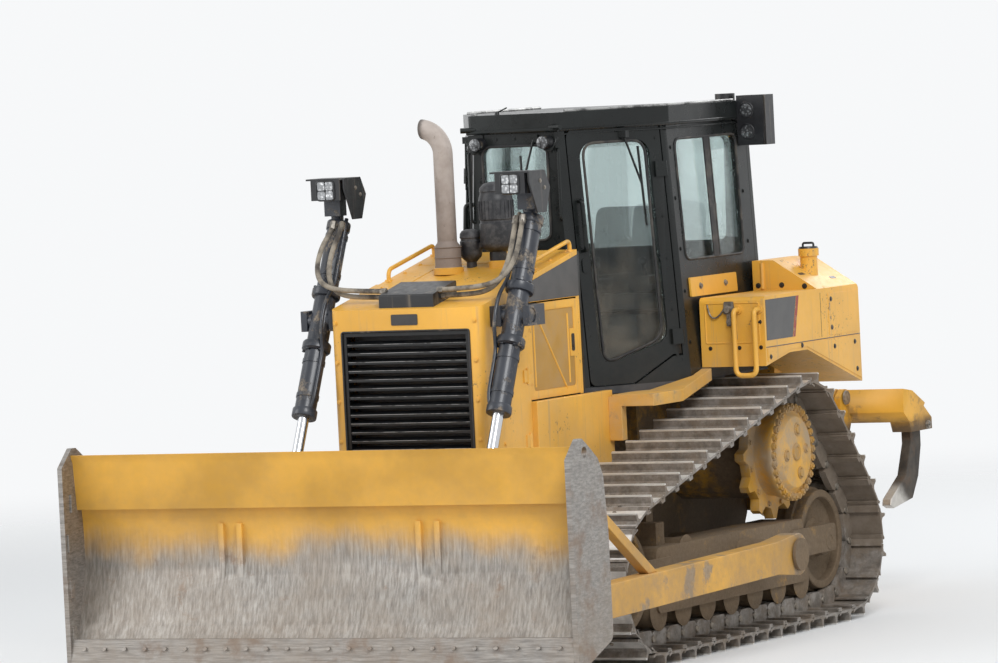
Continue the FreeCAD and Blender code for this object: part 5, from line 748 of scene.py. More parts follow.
def add_piece(name, bm, group, finishes, bevel=0.0, segments=2):
    """Turn a bmesh into a finished object that moves with one body."""
    mesh = bpy.data.meshes.new(name)
    bm.normal_update()
    bm.to_mesh(mesh)
    bm.free()
    thing = bpy.data.objects.new(name, mesh)
    bpy.context.scene.collection.objects.link(thing)
    for label in finishes.split():
        mesh.materials.append(finish(label))
    mesh.polygons.foreach_set("use_smooth", [True] * len(mesh.polygons))
    mesh.set_sharp_from_angle(angle=CREASE)
    if bevel:
        edge = thing.modifiers.new("edges", "BEVEL")
        edge.width = bevel
        edge.segments = segments
        edge.limit_method = "ANGLE"
        edge.angle_limit = CREASE
        edge.harden_normals = True
    if group:
        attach(thing, group)
    return thing


def dress(node, label, bevel=0.004, segments=2):
    """A copy of a packed node with its facets merged and its edges eased, shown in the node's place."""
    bm = bmesh.new()
    bm.from_mesh(NODES[node].data)
    bmesh.ops.remove_doubles(bm, verts=bm.verts[:], dist=2e-5)
    bmesh.ops.dissolve_limit(bm, angle_limit=math.radians(1.0), verts=bm.verts[:], edges=bm.edges[:])
    bmesh.ops.triangulate(bm, faces=[face for face in bm.faces if len(face.verts) > 4])
    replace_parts(add_piece(node + "_dressed", bm, NODE_BODY[node], label, bevel, segments),
                node)


def recolour(node, label):
    """Give a packed node that stays as it is a finish."""
    thing = NODES[node]
    thing.data.materials.clear()
    thing.data.materials.append(finish(label))


def add_line(bm, points, radius, material=0, sides=4, resolution=8):
    """Add a smooth round line that starts and ends at its first and last points."""
    line = bpy.data.curves.new("line", "CURVE")
    line.dimensions = "3D"
    line.bevel_depth = radius
    line.bevel_resolution = sides
    line.resolution_u = resolution
    line.use_fill_caps = True
    spline = line.splines.new("NURBS")
    spline.points.add(len(points) - 1)
    for point, place in zip(spline.points, points):
        point.co = (*place, 1)
    spline.order_u = 4
    spline.use_endpoint_u = True
    holder = bpy.data.objects.new("line", line)
    bpy.context.scene.collection.objects.link(holder)
    mesh = bpy.data.meshes.new_from_object(holder)
    start = len(bm.faces)
    bm.from_mesh(mesh)
    bm.faces.ensure_lookup_table()
    for face in bm.faces[start:]:
        face.material_index = material
    bpy.data.objects.remove(holder)
    bpy.data.curves.remove(line)
    bpy.data.meshes.remove(mesh)


# Sizes and colours that a user would change

def tint(label, description, default):
    return FloatVectorProperty(name=label, description=description, default=default, size=3, min=0, max=1,
                               subtype="COLOR")


def length(label, description, default):
    return FloatProperty(name=label, description=description, default=default, min=0, unit="LENGTH",
                         precision=4)


class DozerFinishes(bpy.types.PropertyGroup):
    """Colours of the paints, soil and glass."""
    yellow: tint("Yellow", "Body paint", (0.83, 0.43, 0.045))
    black: tint("Black", "Paint of the fittings", (0.0085, 0.0095, 0.012))
    cab: tint("Cab", "Paint of the cab's frame and doors", (0.008, 0.0105, 0.0105))
    dust: tint("Dust", "Dry dust on paint", (0.47, 0.385, 0.29))
    # The soil colour also stands for painted shade on the frames and on the track's rear run.
    soil: tint("Soil", "Soil packed on the running gear", (0.285, 0.215, 0.15))
    glass: tint("Glass", "Tint of the panes", (0.8, 0.865, 0.86))


class DozerTrack(bpy.types.PropertyGroup):
    """Track loop, shoes and links."""
    shoes: IntProperty(name="Shoes", description="Shoes in each loop", default=41, min=20, max=80)
    gauge_half: length("Half gauge", "Middle of each track from the machine's middle", 0.945)
    shoe_width: length("Shoe width", "Length of a shoe across the machine", 0.61)
    tread_radius: length("Tread radius", "Radius of the chain's rail round a wheel", 0.31)
    pin_depth: length("Pin depth", "Height of the pins above the rail", 0.052)
    link_height: length("Link height", "Height of a link from rail to shoe", 0.105)
    plate: length("Plate", "Thickness of a shoe", 0.015)
    grouser: length("Grouser", "Height of the bar on each shoe", 0.057)
    link_spread: length("Link spread", "Distance between the two rails of links", 0.165)
    link_thick: length("Link thickness", "Thickness of a link", 0.042)
    front_y: length("Front idler", "Place of the front idler along the machine", 1.37)
    rear_y: length("Rear idler", "Place of the rear idler along the machine", 1.29)
    sprocket_y: length("Sprocket", "Place of the sprocket along the machine", 0.78)
    sprocket_z: length("Sprocket height", "Height of the sprocket's centre", 1.05)


class DozerHoses(bpy.types.PropertyGroup):
    """Hydraulic hoses."""
    radius: length("Hose radius", "Radius of a pressure hose", 0.0145)
    thin: length("Thin hose radius", "Radius of a pilot line", 0.007)


class DozerCamera(bpy.types.PropertyGroup):
    """Camera at the photograph's place."""
    azimuth: FloatProperty(name="Azimuth", description="Turn round the machine, 0 from the front",
                           default=27.6)
    elevation: FloatProperty(name="Elevation", description="Height above the horizon", default=2.58)
    roll: FloatProperty(name="Roll", description="Tilt of the picture", default=-2.87)
    distance: length("Distance", "Distance from the aim point", 40.64)
    lens: FloatProperty(name="Lens", description="Focal length on a 36 mm sensor", default=247.9)
    aim_at: FloatVectorProperty(name="Aim point", description="Point in the middle of the picture", size=3,
                                default=(-0.33, -0.15, 1.86), unit="LENGTH")


# The track loop

def loop_pins(track):
    """Pins at even steps round the front idler, the rear idler and the sprocket."""
    pitch = track.tread_radius + track.pin_depth
    low = track.tread_radius + track.link_height + track.plate + track.grouser
    wheels = [Vector((-track.front_y, low)), Vector((track.rear_y, low)),
              Vector((track.sprocket_y, track.sprocket_z))]
    ways = [(wheels[(i + 1) % 3] - wheels[i]).normalized() for i in range(3)]
    runs = []
    for i, centre in enumerate(wheels):
        following = wheels[(i + 1) % 3]
        runs.append((True, centre, ways[i], (following - centre).length))
        start = math.atan2(ways[i].y, ways[i].x)
        ahead = ways[(i + 1) % 3]
        turn = (math.atan2(ahead.y, ahead.x) - start) % math.tau
        runs.append((False, following, start, turn * pitch))
    step = sum(run[3] for run in runs) / track.shoes
    pins, done, left = [], 0.0, step / 2
    for straight, centre, way, reach in runs:
        while left <= done + reach:
            along = left - done
            if straight:
                pins.append(centre + way * along + Vector((way.y, -way.x)) * pitch)
            else:
                angle = way - math.pi / 2 + along / pitch
                pins.append(centre + Vector((math.cos(angle), math.sin(angle))) * pitch)
            left += step
        done += reach
    return pins, step


def shoe_frames(track, x):
    """One matrix for each shoe: X across the machine, Y along the loop, Z outwards."""
    pins, step = loop_pins(track)
    for a, b in zip(pins, pins[1:] + pins[:1]):
        way = (b - a).normalized()
        middle = (a + b) / 2
        matrix = Matrix(((1, 0, 0, x), (0, way.x, way.y, middle.x), (0, way.y, -way.x, middle.y),
                         (0, 0, 0, 1)))
        yield matrix, (b - a).length, step


SHOE_GAP, FACE_SLOT = 0.006, 3
SHOE_BOLTS_X, SHOE_BOLTS_Y = (-0.115, -0.05, 0.05, 0.115), (-0.62, 0.86)


def make_shoe(track, chord, step):
    """One shoe with its grouser, bolts, two links, a pin and a bushing, about its own middle."""
    bm = bmesh.new()
    half = track.shoe_width / 2
    across = (2 * half, 0, 0)
    low = track.link_height - track.pin_depth
    high = low + track.plate
    tip = high + track.grouser
    edge = step / 2 - SHOE_GAP
    bar = chord / 5
    flank = [(0.03, high), (0.0135, high + 0.012), (0.009, tip - 0.008)]
    outline = [(-edge - 0.016, low + 0.012), (-edge - 0.013, high + 0.012), (-edge + 0.012, high)]
    outline += [(bar - out, z) for out, z in flank] + [(bar + out, z) for out, z in reversed(flank)]
    outline += [(edge - 0.012, high), (edge, high - 0.004), (edge, low), (-edge + 0.012, low)]
    panel(bm, [(-half, y, z) for y, z in outline], across)
    for face in bm.faces:
        face.normal_update()
        if abs(face.normal.z) > 0.95 and abs(face.calc_center_median().z - high) < 0.003:
            face.material_index = FACE_SLOT
    cuboid(bm, (-half, -edge - 0.034, low - 0.011), (half, -edge + 0.02, low - 0.001))
    cuboid(bm, (-half, edge - 0.02, low - 0.022), (half, edge + 0.024, low - 0.012))
    crest = [(bar - 0.009, tip - 0.008), (bar - 0.0065, tip), (bar + 0.0065, tip), (bar + 0.009, tip - 0.008)]
    panel(bm, [(-half, y, z) for y, z in crest], across, 1)
    for x in SHOE_BOLTS_X:
        for y in SHOE_BOLTS_Y:
            bolt(bm, (x, edge * y, high - 0.001), (0, 0, 1), 0.0125, 0.011, 2, washer=False)
    rail, back, front = -track.pin_depth, -chord / 2, chord / 2
    link = [(back - 0.02, -0.018), (back + 0.02, rail + 0.004), (back + 0.045, rail), (front - 0.045, rail),
            (front - 0.02, rail + 0.004), (front - 0.004, -0.02), (front - 0.004, 0.012), (front - 0.04, low),
            (back + 0.03, low), (back - 0.02, 0.02)]
    for side in (-1, 1):
        x = side * track.link_spread / 2 - track.link_thick / 2
        panel(bm, [(x, y, z) for y, z in link], (track.link_thick, 0, 0))
        boss = (side * (track.link_spread / 2 + track.link_thick / 2), back, 0)
        cone(bm, aim(boss, (side, 0, 0)), 0.021, 0.019, 0.008, 14, 2)
    cone(bm, aim((-track.link_spread / 2, back, 0), (1, 0, 0)), 0.03, 0.03, track.link_spread, 14, 2)
    return bm


class DOZER_OT_tracks(bpy.types.Operator):
    """Make both track loops, shoe by shoe"""
    bl_idname = "dozer.tracks"
    bl_label = "Tracks"

    def execute(self, context):
        track = context.scene.dozer_track
        finishes = "shoe_steel crest_steel bolt_steel plate_top"
        for side, sign in SIDES:
            bm = bmesh.new()
            for matrix, chord, step in shoe_frames(track, sign * track.gauge_half):
                shoe = make_shoe(track, chord, step)
                bmesh.ops.transform(shoe, matrix=matrix, verts=shoe.verts[:])
                holder = bpy.data.meshes.new("shoe")
                shoe.to_mesh(holder)
                shoe.free()
                bm.from_mesh(holder)
                bpy.data.meshes.remove(holder)
            bmesh.ops.recalc_face_normals(bm, faces=bm.faces[:])
            thing = add_piece("track_%s_shoes" % side, bm, "machine", finishes)
            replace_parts(thing, "track_" + side)
        return {"FINISHED"}


def idler_profile(radius):
    """Half of an idler: (radius, distance from its middle) from the rim to the hub."""
    return [(radius + 0.018, 0.0), (radius + 0.018, 0.022), (radius, 0.026), (radius, 0.084),
            (radius - 0.006, 0.089),
            (radius - 0.04, 0.089), (radius - 0.046, 0.083), (radius - 0.052, 0.04), (radius - 0.075, 0.032),
            (0.125, 0.03), (0.104, 0.05), (0.098, 0.108), (0.09, 0.1145), (0.0, 0.1145)]


def roller_profile(radius):
    """Half of a double-flange roller."""
    return [(radius, 0.0), (radius, 0.104), (radius + 0.013, 0.1065), (radius + 0.015, 0.1135),
            (radius + 0.01, 0.1148),
            (radius - 0.03, 0.1148), (0.0, 0.1148)]


def spin_both(bm, centre, profile, sides):
    """Spin a half wheel to both sides of its middle."""
    for way in (1, -1):
        lathe(bm, aim(centre, (way, 0, 0)), profile, sides)


def spokes(count, reach, start=0.0):
    """Places round a wheel's axis, evenly spread."""
    for i in range(count):
        yield spoke(math.tau * (i + start) / count, reach)


def spoke(angle, reach):
    return Vector((0, math.cos(angle) * reach, math.sin(angle) * reach))


IDLER_CAP = ((0.07, 0.113), (0.07, 0.145), (0.062, 0.151), (0.024, 0.151), (0.022, 0.145), (0.0, 0.145))
ROLLERS, ROLLER_FIRST, ROLLER_LAST, ROLLER_LIFT = 7, -1.01, 0.92, 0.0953
CARRIER_Y, CARRIER_Z = -0.61, 0.5803
HUB_FACE, HUB_STUDS, HUB_STUD_REACH, HUB_BOLTS, HUB_BOLT_REACH = 1.133, 32, 0.268, 12, 0.312
HUB_PLUGS = ((80, 0.026), (185, 0.024), (5, 0.019), (290, 0.025))


class DOZER_OT_wheels(bpy.types.Operator):
    """Make the idlers and rollers, and the sprockets' hubs with their studs and plugs"""
    bl_idname = "dozer.wheels"
    bl_label = "Wheels"

    def execute(self, context):
        track = context.scene.dozer_track
        rail = track.link_height + track.plate + track.grouser
        tread = track.tread_radius * math.cos(math.pi / track.shoes) - 0.012
        bm = bmesh.new()
        for y in (-track.front_y, track.rear_y):
            centre = Vector((track.gauge_half, y, rail + track.tread_radius))
            spin_both(bm, centre, idler_profile(tread), 56)
            spin_both(bm, centre, IDLER_CAP, 28)
        for centre in row((track.gauge_half, ROLLER_FIRST, rail + ROLLER_LIFT),
                          (track.gauge_half, ROLLER_LAST, rail + ROLLER_LIFT), ROLLERS):
            spin_both(bm, centre, roller_profile(0.095), 32)
        carrier = Vector((track.gauge_half, CARRIER_Y, CARRIER_Z))
        spin_both(bm, carrier, roller_profile(0.088), 32)
        lathe(bm, aim(carrier, (1, 0, 0)), [(0.06, 0.1138), (0.058, 0.1208), (0.02, 0.1228),
                                            (0.0, 0.1228)], 28)
        flipped(bm)
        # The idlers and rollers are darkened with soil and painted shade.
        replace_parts(add_piece("idlers_and_rollers", bm, "machine", "soil_and_shade_hull"), "rollers")
        dress("sprockets", "wheel_paint", 0.003)
        bm = bmesh.new()
        side = (1, 0, 0)
        centre = Vector((HUB_FACE, track.sprocket_y, track.sprocket_z))
        for out in spokes(HUB_STUDS, HUB_STUD_REACH):
            cone(bm, aim(centre + out - Vector((0.029, 0, 0)), side), 0.0235, 0.021, 0.018, 14)
            cone(bm, aim(centre + out - Vector((0.012, 0, 0)), side), 0.0125, 0.0115, 0.009, 6)
        for turn, size in HUB_PLUGS:
            plug = [(size * 1.5, -0.001), (size * 1.45, 0.006), (size * 1.2, 0.008), (size * 1.05, 0.004),
                    (size, 0.004), (size * 0.9, 0.013), (0.0, 0.014)]
            lathe(bm, aim(centre + spoke(math.radians(turn), 0.135), side), plug, 26)
        cover = [(0.052, -0.001), (0.05, 0.009), (0.044, 0.012), (0.034, 0.01), (0.03, 0.004), (0.0, 0.004)]
        lathe(bm, aim(centre, side), cover, 32)
        centre.x = track.gauge_half + 0.03
        for out in spokes(HUB_BOLTS, HUB_BOLT_REACH, 0.5):
            bolt(bm, centre + out, side, 0.014, 0.013)
        flipped(bm)
        add_piece("hub_studs", bm, "machine", "hub_paint")
        return {"FINISHED"}


# Sheet metal

def plate_bolts(bm, points, direction, radius=0.009, height=0.007, material=0):
    for point in points:
        bolt(bm, point, direction, radius, height, material)


HOOD_FRONT, HOOD_BACK = Vector((0, -1.93, 2.092)), Vector((0, -0.66, 2.352))
HOOD_RISE = (HOOD_BACK.z - HOOD_FRONT.z) / (HOOD_BACK.y - HOOD_FRONT.y)


GUARD_FRONT = -1.93
BOX_SIDE, BOX_FRONT = 1.1695, 0.3505


def hood_height(y):
    return HOOD_FRONT.z + (y - HOOD_FRONT.y) * HOOD_RISE


def on_hood(x, y, lift=0.0):
    """A point on the sloped hood, or so far above it."""
    return Vector((x, y, hood_height(y) + lift))


class DOZER_OT_body_panels(bpy.types.Operator):
    """Paint the hood, guard, doors, fenders, boxes and tank, and ease their edges"""
    bl_idname = "dozer.body_panels"
    bl_label = "Body panels"

    def execute(self, context):
        for node, edge in (("hood", 0.014), ("radiator_guard", 0.014), ("engine_door_left", 0.003),
                           ("engine_door_right", 0.003), ("side_panels", 0.005), ("side_boxes", 0.012),
                           ("fuel_tank", 0.014)):
            dress(node, "yellow_paint", edge, 3)
        dress("fenders", "tread_plate", 0.004)
        # The frames are darkened with soil and painted shade.
        dress("main_frame", "soil_and_shade_hull", 0.006)
        dress("track_frames", "soil_and_shade_hull", 0.006)
        dress("cylinder_yokes", "muddy_black", 0.008, 3)
        dress("grille", "grille_black", 0.0025)
        recolour("radiator_core", "moulded_plastic")
        recolour("engine_block", "bolt_steel")
        return {"FINISHED"}


class DOZER_OT_hood_fittings(bpy.types.Operator):
    """Make the hood's seams, rails, latches, side bands and blank front plate"""
    bl_idname = "dozer.hood_fittings"
    bl_label = "Hood fittings"

    def execute(self, context):
        bm = bmesh.new()
        front, back, side, rise = -1.27, -0.7, 0.445, 0.062
        rail = [on_hood(side, front, -0.02), on_hood(side, front, rise), on_hood(side, back, rise),
                on_hood(side, back, -0.02)]
        sweep(bm, rounded_line(rail, 0.04), 0.0125, 12)
        for y in (front, back):
            cone(bm, at(*on_hood(side, y, -0.004)), 0.024, 0.022, 0.01, 16)
        low, high, reach, foot, inner, outer = 1.54, 1.925, 0.28, 0.352, 1.004, 1.136
        grab = [(inner, foot, high), (inner, reach, high), (inner, reach, low), (outer, reach, low),
                (outer, reach, high), (outer, foot, high)]
        sweep(bm, rounded_line(grab, 0.045), 0.0155, 12)
        for x in (inner, outer):
            cone(bm, aim((x, foot - 0.002, high), (0, -1, 0)), 0.027, 0.025, 0.009, 16)
        flipped(bm)
        thing = add_piece("rails_and_grabs", bm, "machine", "yellow_paint")
        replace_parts(thing, "hand_rails")
        bm = bmesh.new()
        seam, half = -0.93, 0.44
        cuboid(bm, on_hood(-half, seam, -0.004) - Vector((0, 0.003, 0)),
               on_hood(half, seam, 0.0015) + Vector((0, 0.003, 0)))
        for x in (-0.27, 0.31):
            sweep(bm, [on_hood(x, -1.33), on_hood(x, -0.68)], 0.0035, 6)
        for x in (0.425, -0.425):
            plate_bolts(bm, row(on_hood(x, -1.3), on_hood(x, -0.72), 4), (0, 0, 1))
        plate_bolts(bm, [on_hood(x, -1.44) for x in (-0.4, -0.2, 0.2, 0.4)], (0, 0, 1), 0.008)
        add_piece("hood_seams", bm, "machine", "yellow_paint")
        bm = bmesh.new()
        for sign in (1, -1):
            x, front, back, low = sign * 0.4695, -1.345, -0.665, 2.083
            band = [(x, front, low), (x, back, low), on_hood(x, back, -0.03), on_hood(x, front, -0.03)]
            panel(bm, band, (sign * 0.0035, 0, 0))
        panel(bm, rounded(upright(GUARD_FRONT + 0.0005, -0.085, 0.085, 2.0, 2.062), 0.008), (0, -0.004, 0))
        add_piece("side_bands", bm, "machine", "plate_dark", 0.0008)
        bm = bmesh.new()
        x = 0.467
        for ends in (((-1.21, 2.0), (-0.86, 1.56)), ((-0.82, 1.99), (-0.82, 1.59)),
                     ((-1.25, 1.99), (-1.25, 1.59))):
            sweep(bm, [(x, y, z) for y, z in ends], 0.0065, 8, 1)
        panel(bm, rounded(sidelong(0.4655, -0.8, -0.735, 1.74, 1.9), 0.008), (0.006, 0, 0), 1)
        panel(bm, rounded(sidelong(0.471, -0.785, -0.75, 1.77, 1.87), 0.012), (0.0035, 0, 0))
        cone(bm, aim((0.4725, -0.768, 1.8), (1, 0, 0)), 0.011, 0.01, 0.006, 14, 0)
        panel(bm, rounded(sidelong(0.4653, -1.273, -0.749, 1.571, 2.021), 0.02), (0.0017, 0, 0), 2)
        flip = bm.copy()
        mirror(flip, flip.verts[:])
        for side, latch in (("left", bm), ("right", flip)):
            add_piece("door_latch_" + side, latch, "engine_door_" + side, "black_paint yellow_paint door_tan")
        return {"FINISHED"}


class DOZER_OT_box_fittings(bpy.types.Operator):
    """Make the side boxes' seams, blank plates, latches, bolts and the cap's lid"""
    bl_idname = "dozer.box_fittings"
    bl_label = "Side box fittings"

    def execute(self, context):
        bm = bmesh.new()
        side, front = BOX_SIDE, BOX_FRONT
        skirt = [(side, y, z) for y, z in ((0.375, 1.612), (0.69, 1.668), (0.92, 1.668), (1.68, 1.43),
                                           (1.68, 1.69), (0.375, 1.69))]
        panel(bm, skirt, (0.004, 0, 0))
        panel(bm, rounded(sidelong(side, 1.25, 1.672, 1.715, 1.965), 0.008), (0.003, 0, 0))
        sweep(bm, [(side, 0.36, 1.699), (side, 1.685, 1.699)], 0.003, 6, 1)
        sweep(bm, [(side, 1.14, 1.71), (side, 1.14, 1.975)], 0.002, 6, 1)
        bolts = [(side + 0.0025, 1.285, 1.76), (side + 0.0025, 1.285, 1.93)]
        bolts += [(side + 0.0035, y, z) for y, z in ((1.31, 1.645), (1.6, 1.655), (1.62, 1.49), (0.41, 1.64),
                                                     (0.85, 1.68))]
        plate_bolts(bm, bolts, (1, 0, 0), 0.011, 0.007, 1)
        hoop(bm, upright(front, 0.785, 1.135, 1.73, 1.965), 0.012, 0.005)
        bolts = [(x, front, z) for x, z in ((0.81, 1.7), (1.0, 1.7), (1.14, 1.85), (1.14, 1.7))]
        plate_bolts(bm, bolts, (0, -1, 0), 0.009, 0.006, 1)
        foot = [(0.785, 1.1005, 2.03), (0.94, 1.1005, 2.03), (1.09, 1.1005, 2.02)]
        plate_bolts(bm, foot, (0, -1, 0), 0.012, 0.009, 1)
        sweep(bm, [(0.815, 1.1, 2.01), (0.815, 1.1, 2.165)], 0.012)
        slope = Vector((0.18, 0, 0.28)).normalized()
        # Black patches on the slope are painted shade standing for the slots' dark openings.
        for y, t in ((1.19, 0.5), (1.5, 0.72), (1.5, 0.3)):
            mid = Vector((0.89 + 0.28 * t, y, 2.18 - 0.18 * t))
            slot_shade = [mid + Vector((0.01, -0.035, -0.0064)), mid + Vector((0.01, 0.035, -0.0064)),
                    mid + Vector((-0.01, 0.035, 0.0064)), mid + Vector((-0.01, -0.035, 0.0064))]
            panel(bm, rounded(slot_shade, 0.009), slope * 0.0015, 1)
        flipped(bm)
        cone(bm, at(1.01, 1.35, 2.2345), 0.06, 0.055, 0.012, 24, 1)
        lug = [(x, 1.35, z) for x, z in ((0.975, 2.243), (0.975, 2.268), (1.045, 2.268), (1.045, 2.243))]
        sweep(bm, rounded_line(lug, 0.012), 0.007, 8, 1)
        add_piece("box_seams", bm, "machine", "yellow_paint black_paint", 0.0008)
        bm = bmesh.new()
        low, high = 1.738, 1.978
        plate = [(side, 0.372, low), (side, 0.73, low), (side, 0.8, high), (side, 0.372, high)]
        panel(bm, plate, (0.0016, 0, 0))
        stripe = [(side, 0.735, low), (side, 0.768, low), (side, 0.838, high), (side, 0.805, high)]
        panel(bm, stripe, (0.0014, 0, 0), 1)
        flipped(bm)
        add_piece("box_plates", bm, "machine", "plate_dark red_stripe")
        bm = bmesh.new()
        x, ahead = 0.945, (0, -1, 0)
        handle = [(x + dx, front, z) for dx, z in ((-0.035, 1.9), (0.035, 1.9), (0.03, 1.975),
                                                   (-0.03, 1.975))]
        panel(bm, rounded(handle, 0.01), (0, -0.012, 0))
        cone(bm, aim((x, 0.34, 1.93), ahead), 0.022, 0.02, 0.03, 16)
        cuboid(bm, (x - 0.012, 0.332, 1.83), (x + 0.012, 0.35, 1.91))
        cone(bm, aim((x + 0.005, 0.345, 1.855), ahead), 0.02, 0.018, 0.02, 14)
        sweep(bm, [(x + 0.03, 0.347, 1.84), (x + 0.032, 0.346, 1.75)], 0.014, 8, 1)
        lead = ((-0.14, 0.343, 1.96), (-0.13, 0.338, 1.9), (-0.1, 0.336, 1.86), (-0.05, 0.338, 1.9),
                (-0.02, 0.342, 1.95))
        add_line(bm, [(x + dx, y, z) for dx, y, z in lead], 0.005, 0, 8, 10)
        flipped(bm)
        add_piece("box_latches", bm, "machine", "bolt_steel black_paint")
        return {"FINISHED"}


class DOZER_OT_guard_fittings(bpy.types.Operator):
    """Make the radiator guard's bolts, grille rim, side hinges and the pale louvre edges that are painted
    highlights
    """
    bl_idname = "dozer.guard_fittings"
    bl_label = "Guard fittings"

    def execute(self, context):
        bm = bmesh.new()
        front, ahead = GUARD_FRONT, (0, -1, 0)
        hoop(bm, upright(front, -0.41, 0.41, 1.18, 1.967), 0.014, 0.006, 8, 1)
        for x in (-0.448, 0.448):
            plate_bolts(bm, row((x, front, 1.12), (x, front, 2.02), 5), ahead, 0.01, 0.008)
        plate_bolts(bm, row((-0.36, front, 1.12), (0.36, front, 1.12), 5), ahead, 0.01, 0.008)
        for sign in (1, -1):
            for z in (1.25, 1.62, 1.98):
                cone(bm, at(sign * 0.489, -1.39, z), 0.011, 0.011, 0.09, 12)
                cuboid(bm, (sign * 0.492 - 0.006, -1.44, z + 0.01), (sign * 0.492 + 0.001, -1.38, z + 0.08))
            side = sign * 0.486
            bolts = row((side, -1.87, 1.1), (side, -1.42, 1.1), 4)
            bolts += row((side, -1.7, 1.9), (side, -1.7, 1.3), 3)
            plate_bolts(bm, bolts, (sign, 0, 0), 0.011, 0.009)
        add_piece("guard_bolts", bm, "machine", "yellow_paint black_paint")
        bm = bmesh.new()
        # Pale bars along the louvres' front edges are painted highlights.
        half, face, first, step, count = 0.383, -1.9205, 1.2448, 0.05, 14
        for i in range(count):
            sweep(bm, [(-half, face, first + step * i), (half, face, first + step * i)], 0.0016, 6)
        add_piece("louvre_edges", bm, "machine", "pale_rail")
        return {"FINISHED"}


CLEANER_PROFILE = ((0.05, 2.31), (0.05, 2.365), (0.062, 2.372), (0.085, 2.385), (0.097, 2.402), (0.1, 2.42),
                   (0.1, 2.53), (0.094, 2.536), (0.094, 2.548), (0.1, 2.554), (0.1, 2.66), (0.097, 2.68),
                   (0.09, 2.7), (0.09, 2.712), (0.094, 2.716), (0.09, 2.735), (0.07, 2.757), (0.04, 2.768),
                   (0.0, 2.77))
BOWL_PROFILE = ((0.03, 2.31), (0.045, 2.325), (0.06, 2.34), (0.064, 2.36), (0.064, 2.43), (0.059, 2.436),
                (0.059, 2.446), (0.064, 2.452), (0.062, 2.475), (0.05, 2.492), (0.025, 2.5), (0.0, 2.5))


class DOZER_OT_stacks(bpy.types.Operator):
    """Make the exhaust's open pipe and the intake's ribbed pre-cleaner"""
    bl_idname = "dozer.stacks"
    bl_label = "Exhaust and intake"

    def execute(self, context):
        x, y = -0.13, -1.12
        foot = hood_height(y) - 0.01
        bm = bmesh.new()
        lathe(bm, at(x, y, 0), [(0.0, foot), (0.088, foot), (0.088, 2.283), (0.08, 2.286), (0.079, 2.288)],
              40, 1)
        can = [(0.079, 2.286), (0.0765, 2.3), (0.076, 2.395), (0.071, 2.415), (0.06, 2.43), (0.057, 2.44),
               (0.0, 2.44)]
        lathe(bm, at(x, y, 0), can, 40)
        bend, outer, inner, start, turn_z, mouth, steps = 0.15, 0.057, 0.0525, 2.435, 2.942, 0.128, 12
        elbow = math.radians(88)
        points = [Vector((x, y, start)), Vector((x, y, turn_z))]
        for i in range(1, steps + 1):
            angle = elbow * i / steps
            points.append(Vector((x - bend + math.cos(angle) * bend, y, turn_z + math.sin(angle) * bend)))
        for radius, order in ((outer, points), (inner, points[1:])):
            rings = []
            for i, point in enumerate(order):
                before, after = order[max(i - 1, 0)], order[min(i + 1, len(order) - 1)]
                matrix = aim(point, after - before)
                rings.append(bmesh.ops.create_circle(bm, segments=36, radius=radius, matrix=matrix)["verts"])
            for low, high in zip(rings, rings[1:]):
                bridge(bm, low, high)
            if radius == inner:
                bm.faces.new(rings[0])
        everything = bm.verts[:] + bm.edges[:] + bm.faces[:]
        sliced = bmesh.ops.bisect_plane(bm, geom=everything, plane_co=(x - mouth, 0, 0), plane_no=(-1, 0, 0),
                                        clear_outer=True)["geom_cut"]
        bmesh.ops.bridge_loops(bm, edges=[item for item in sliced if isinstance(item, bmesh.types.BMEdge)])
        bmesh.ops.recalc_face_normals(bm, faces=bm.faces[:])
        for z in (2.345, 2.405):
            ring = [Vector((x, y, z)) + Matrix.Rotation(math.tau * i / 28, 3, "Z") @ Vector((0.078, 0, 0))
                    for i in range(28)]
            sweep(bm, ring, 0.0035, 6, closed=True)
        thing = add_piece("exhaust_pipe", bm, "machine", "exhaust_steel yellow_paint")
        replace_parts(thing, "exhaust_stack")
        bm = bmesh.new()
        x, y = 0.135, -1.0
        foot = hood_height(y) - 0.012
        lathe(bm, at(x, y, 0), [(0.0, foot), (0.058, foot), (0.058, 2.31), (0.052, 2.315)], 36, 1)
        lathe(bm, at(x, y, 0), CLEANER_PROFILE, 48)
        ribs = 24
        for i in range(ribs):
            turned = at(x, y, 2.556) @ Matrix.Rotation(math.tau * i / ribs, 4, "Z")
            cuboid(bm, (0.092, -0.0035, 0), (0.1035, 0.0035, 0.105), matrix=turned)
        bowl = -0.04
        lathe(bm, at(bowl, y, 0), [(0.0, foot - 0.02), (0.03, foot - 0.02), *BOWL_PROFILE], 36)
        sweep(bm, [(bowl + 0.05, y, 2.39), (x - 0.08, y, 2.43)], 0.02, 12)
        thing = add_piece("intake_cleaner", bm, "machine", "cleaner_plastic yellow_paint")
        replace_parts(thing, "air_intake")
        return {"FINISHED"}


# Hoses, lamps and the lift

LIFT_X, LIFT_Y, LIFT_Z = 0.625, -1.77, 2.03
LIFT_WAY, LIFT_AHEAD = Vector((0, -0.441875, -0.897077)), Vector((0, -0.897077, 0.441875))


def lift_point(sign, x, along, front=0.0):
    """A place by a lift cylinder: along its axis from the trunnion, and forward of it."""
    return Vector((sign * (LIFT_X + x), LIFT_Y, LIFT_Z)) + LIFT_WAY * along + LIFT_AHEAD * front


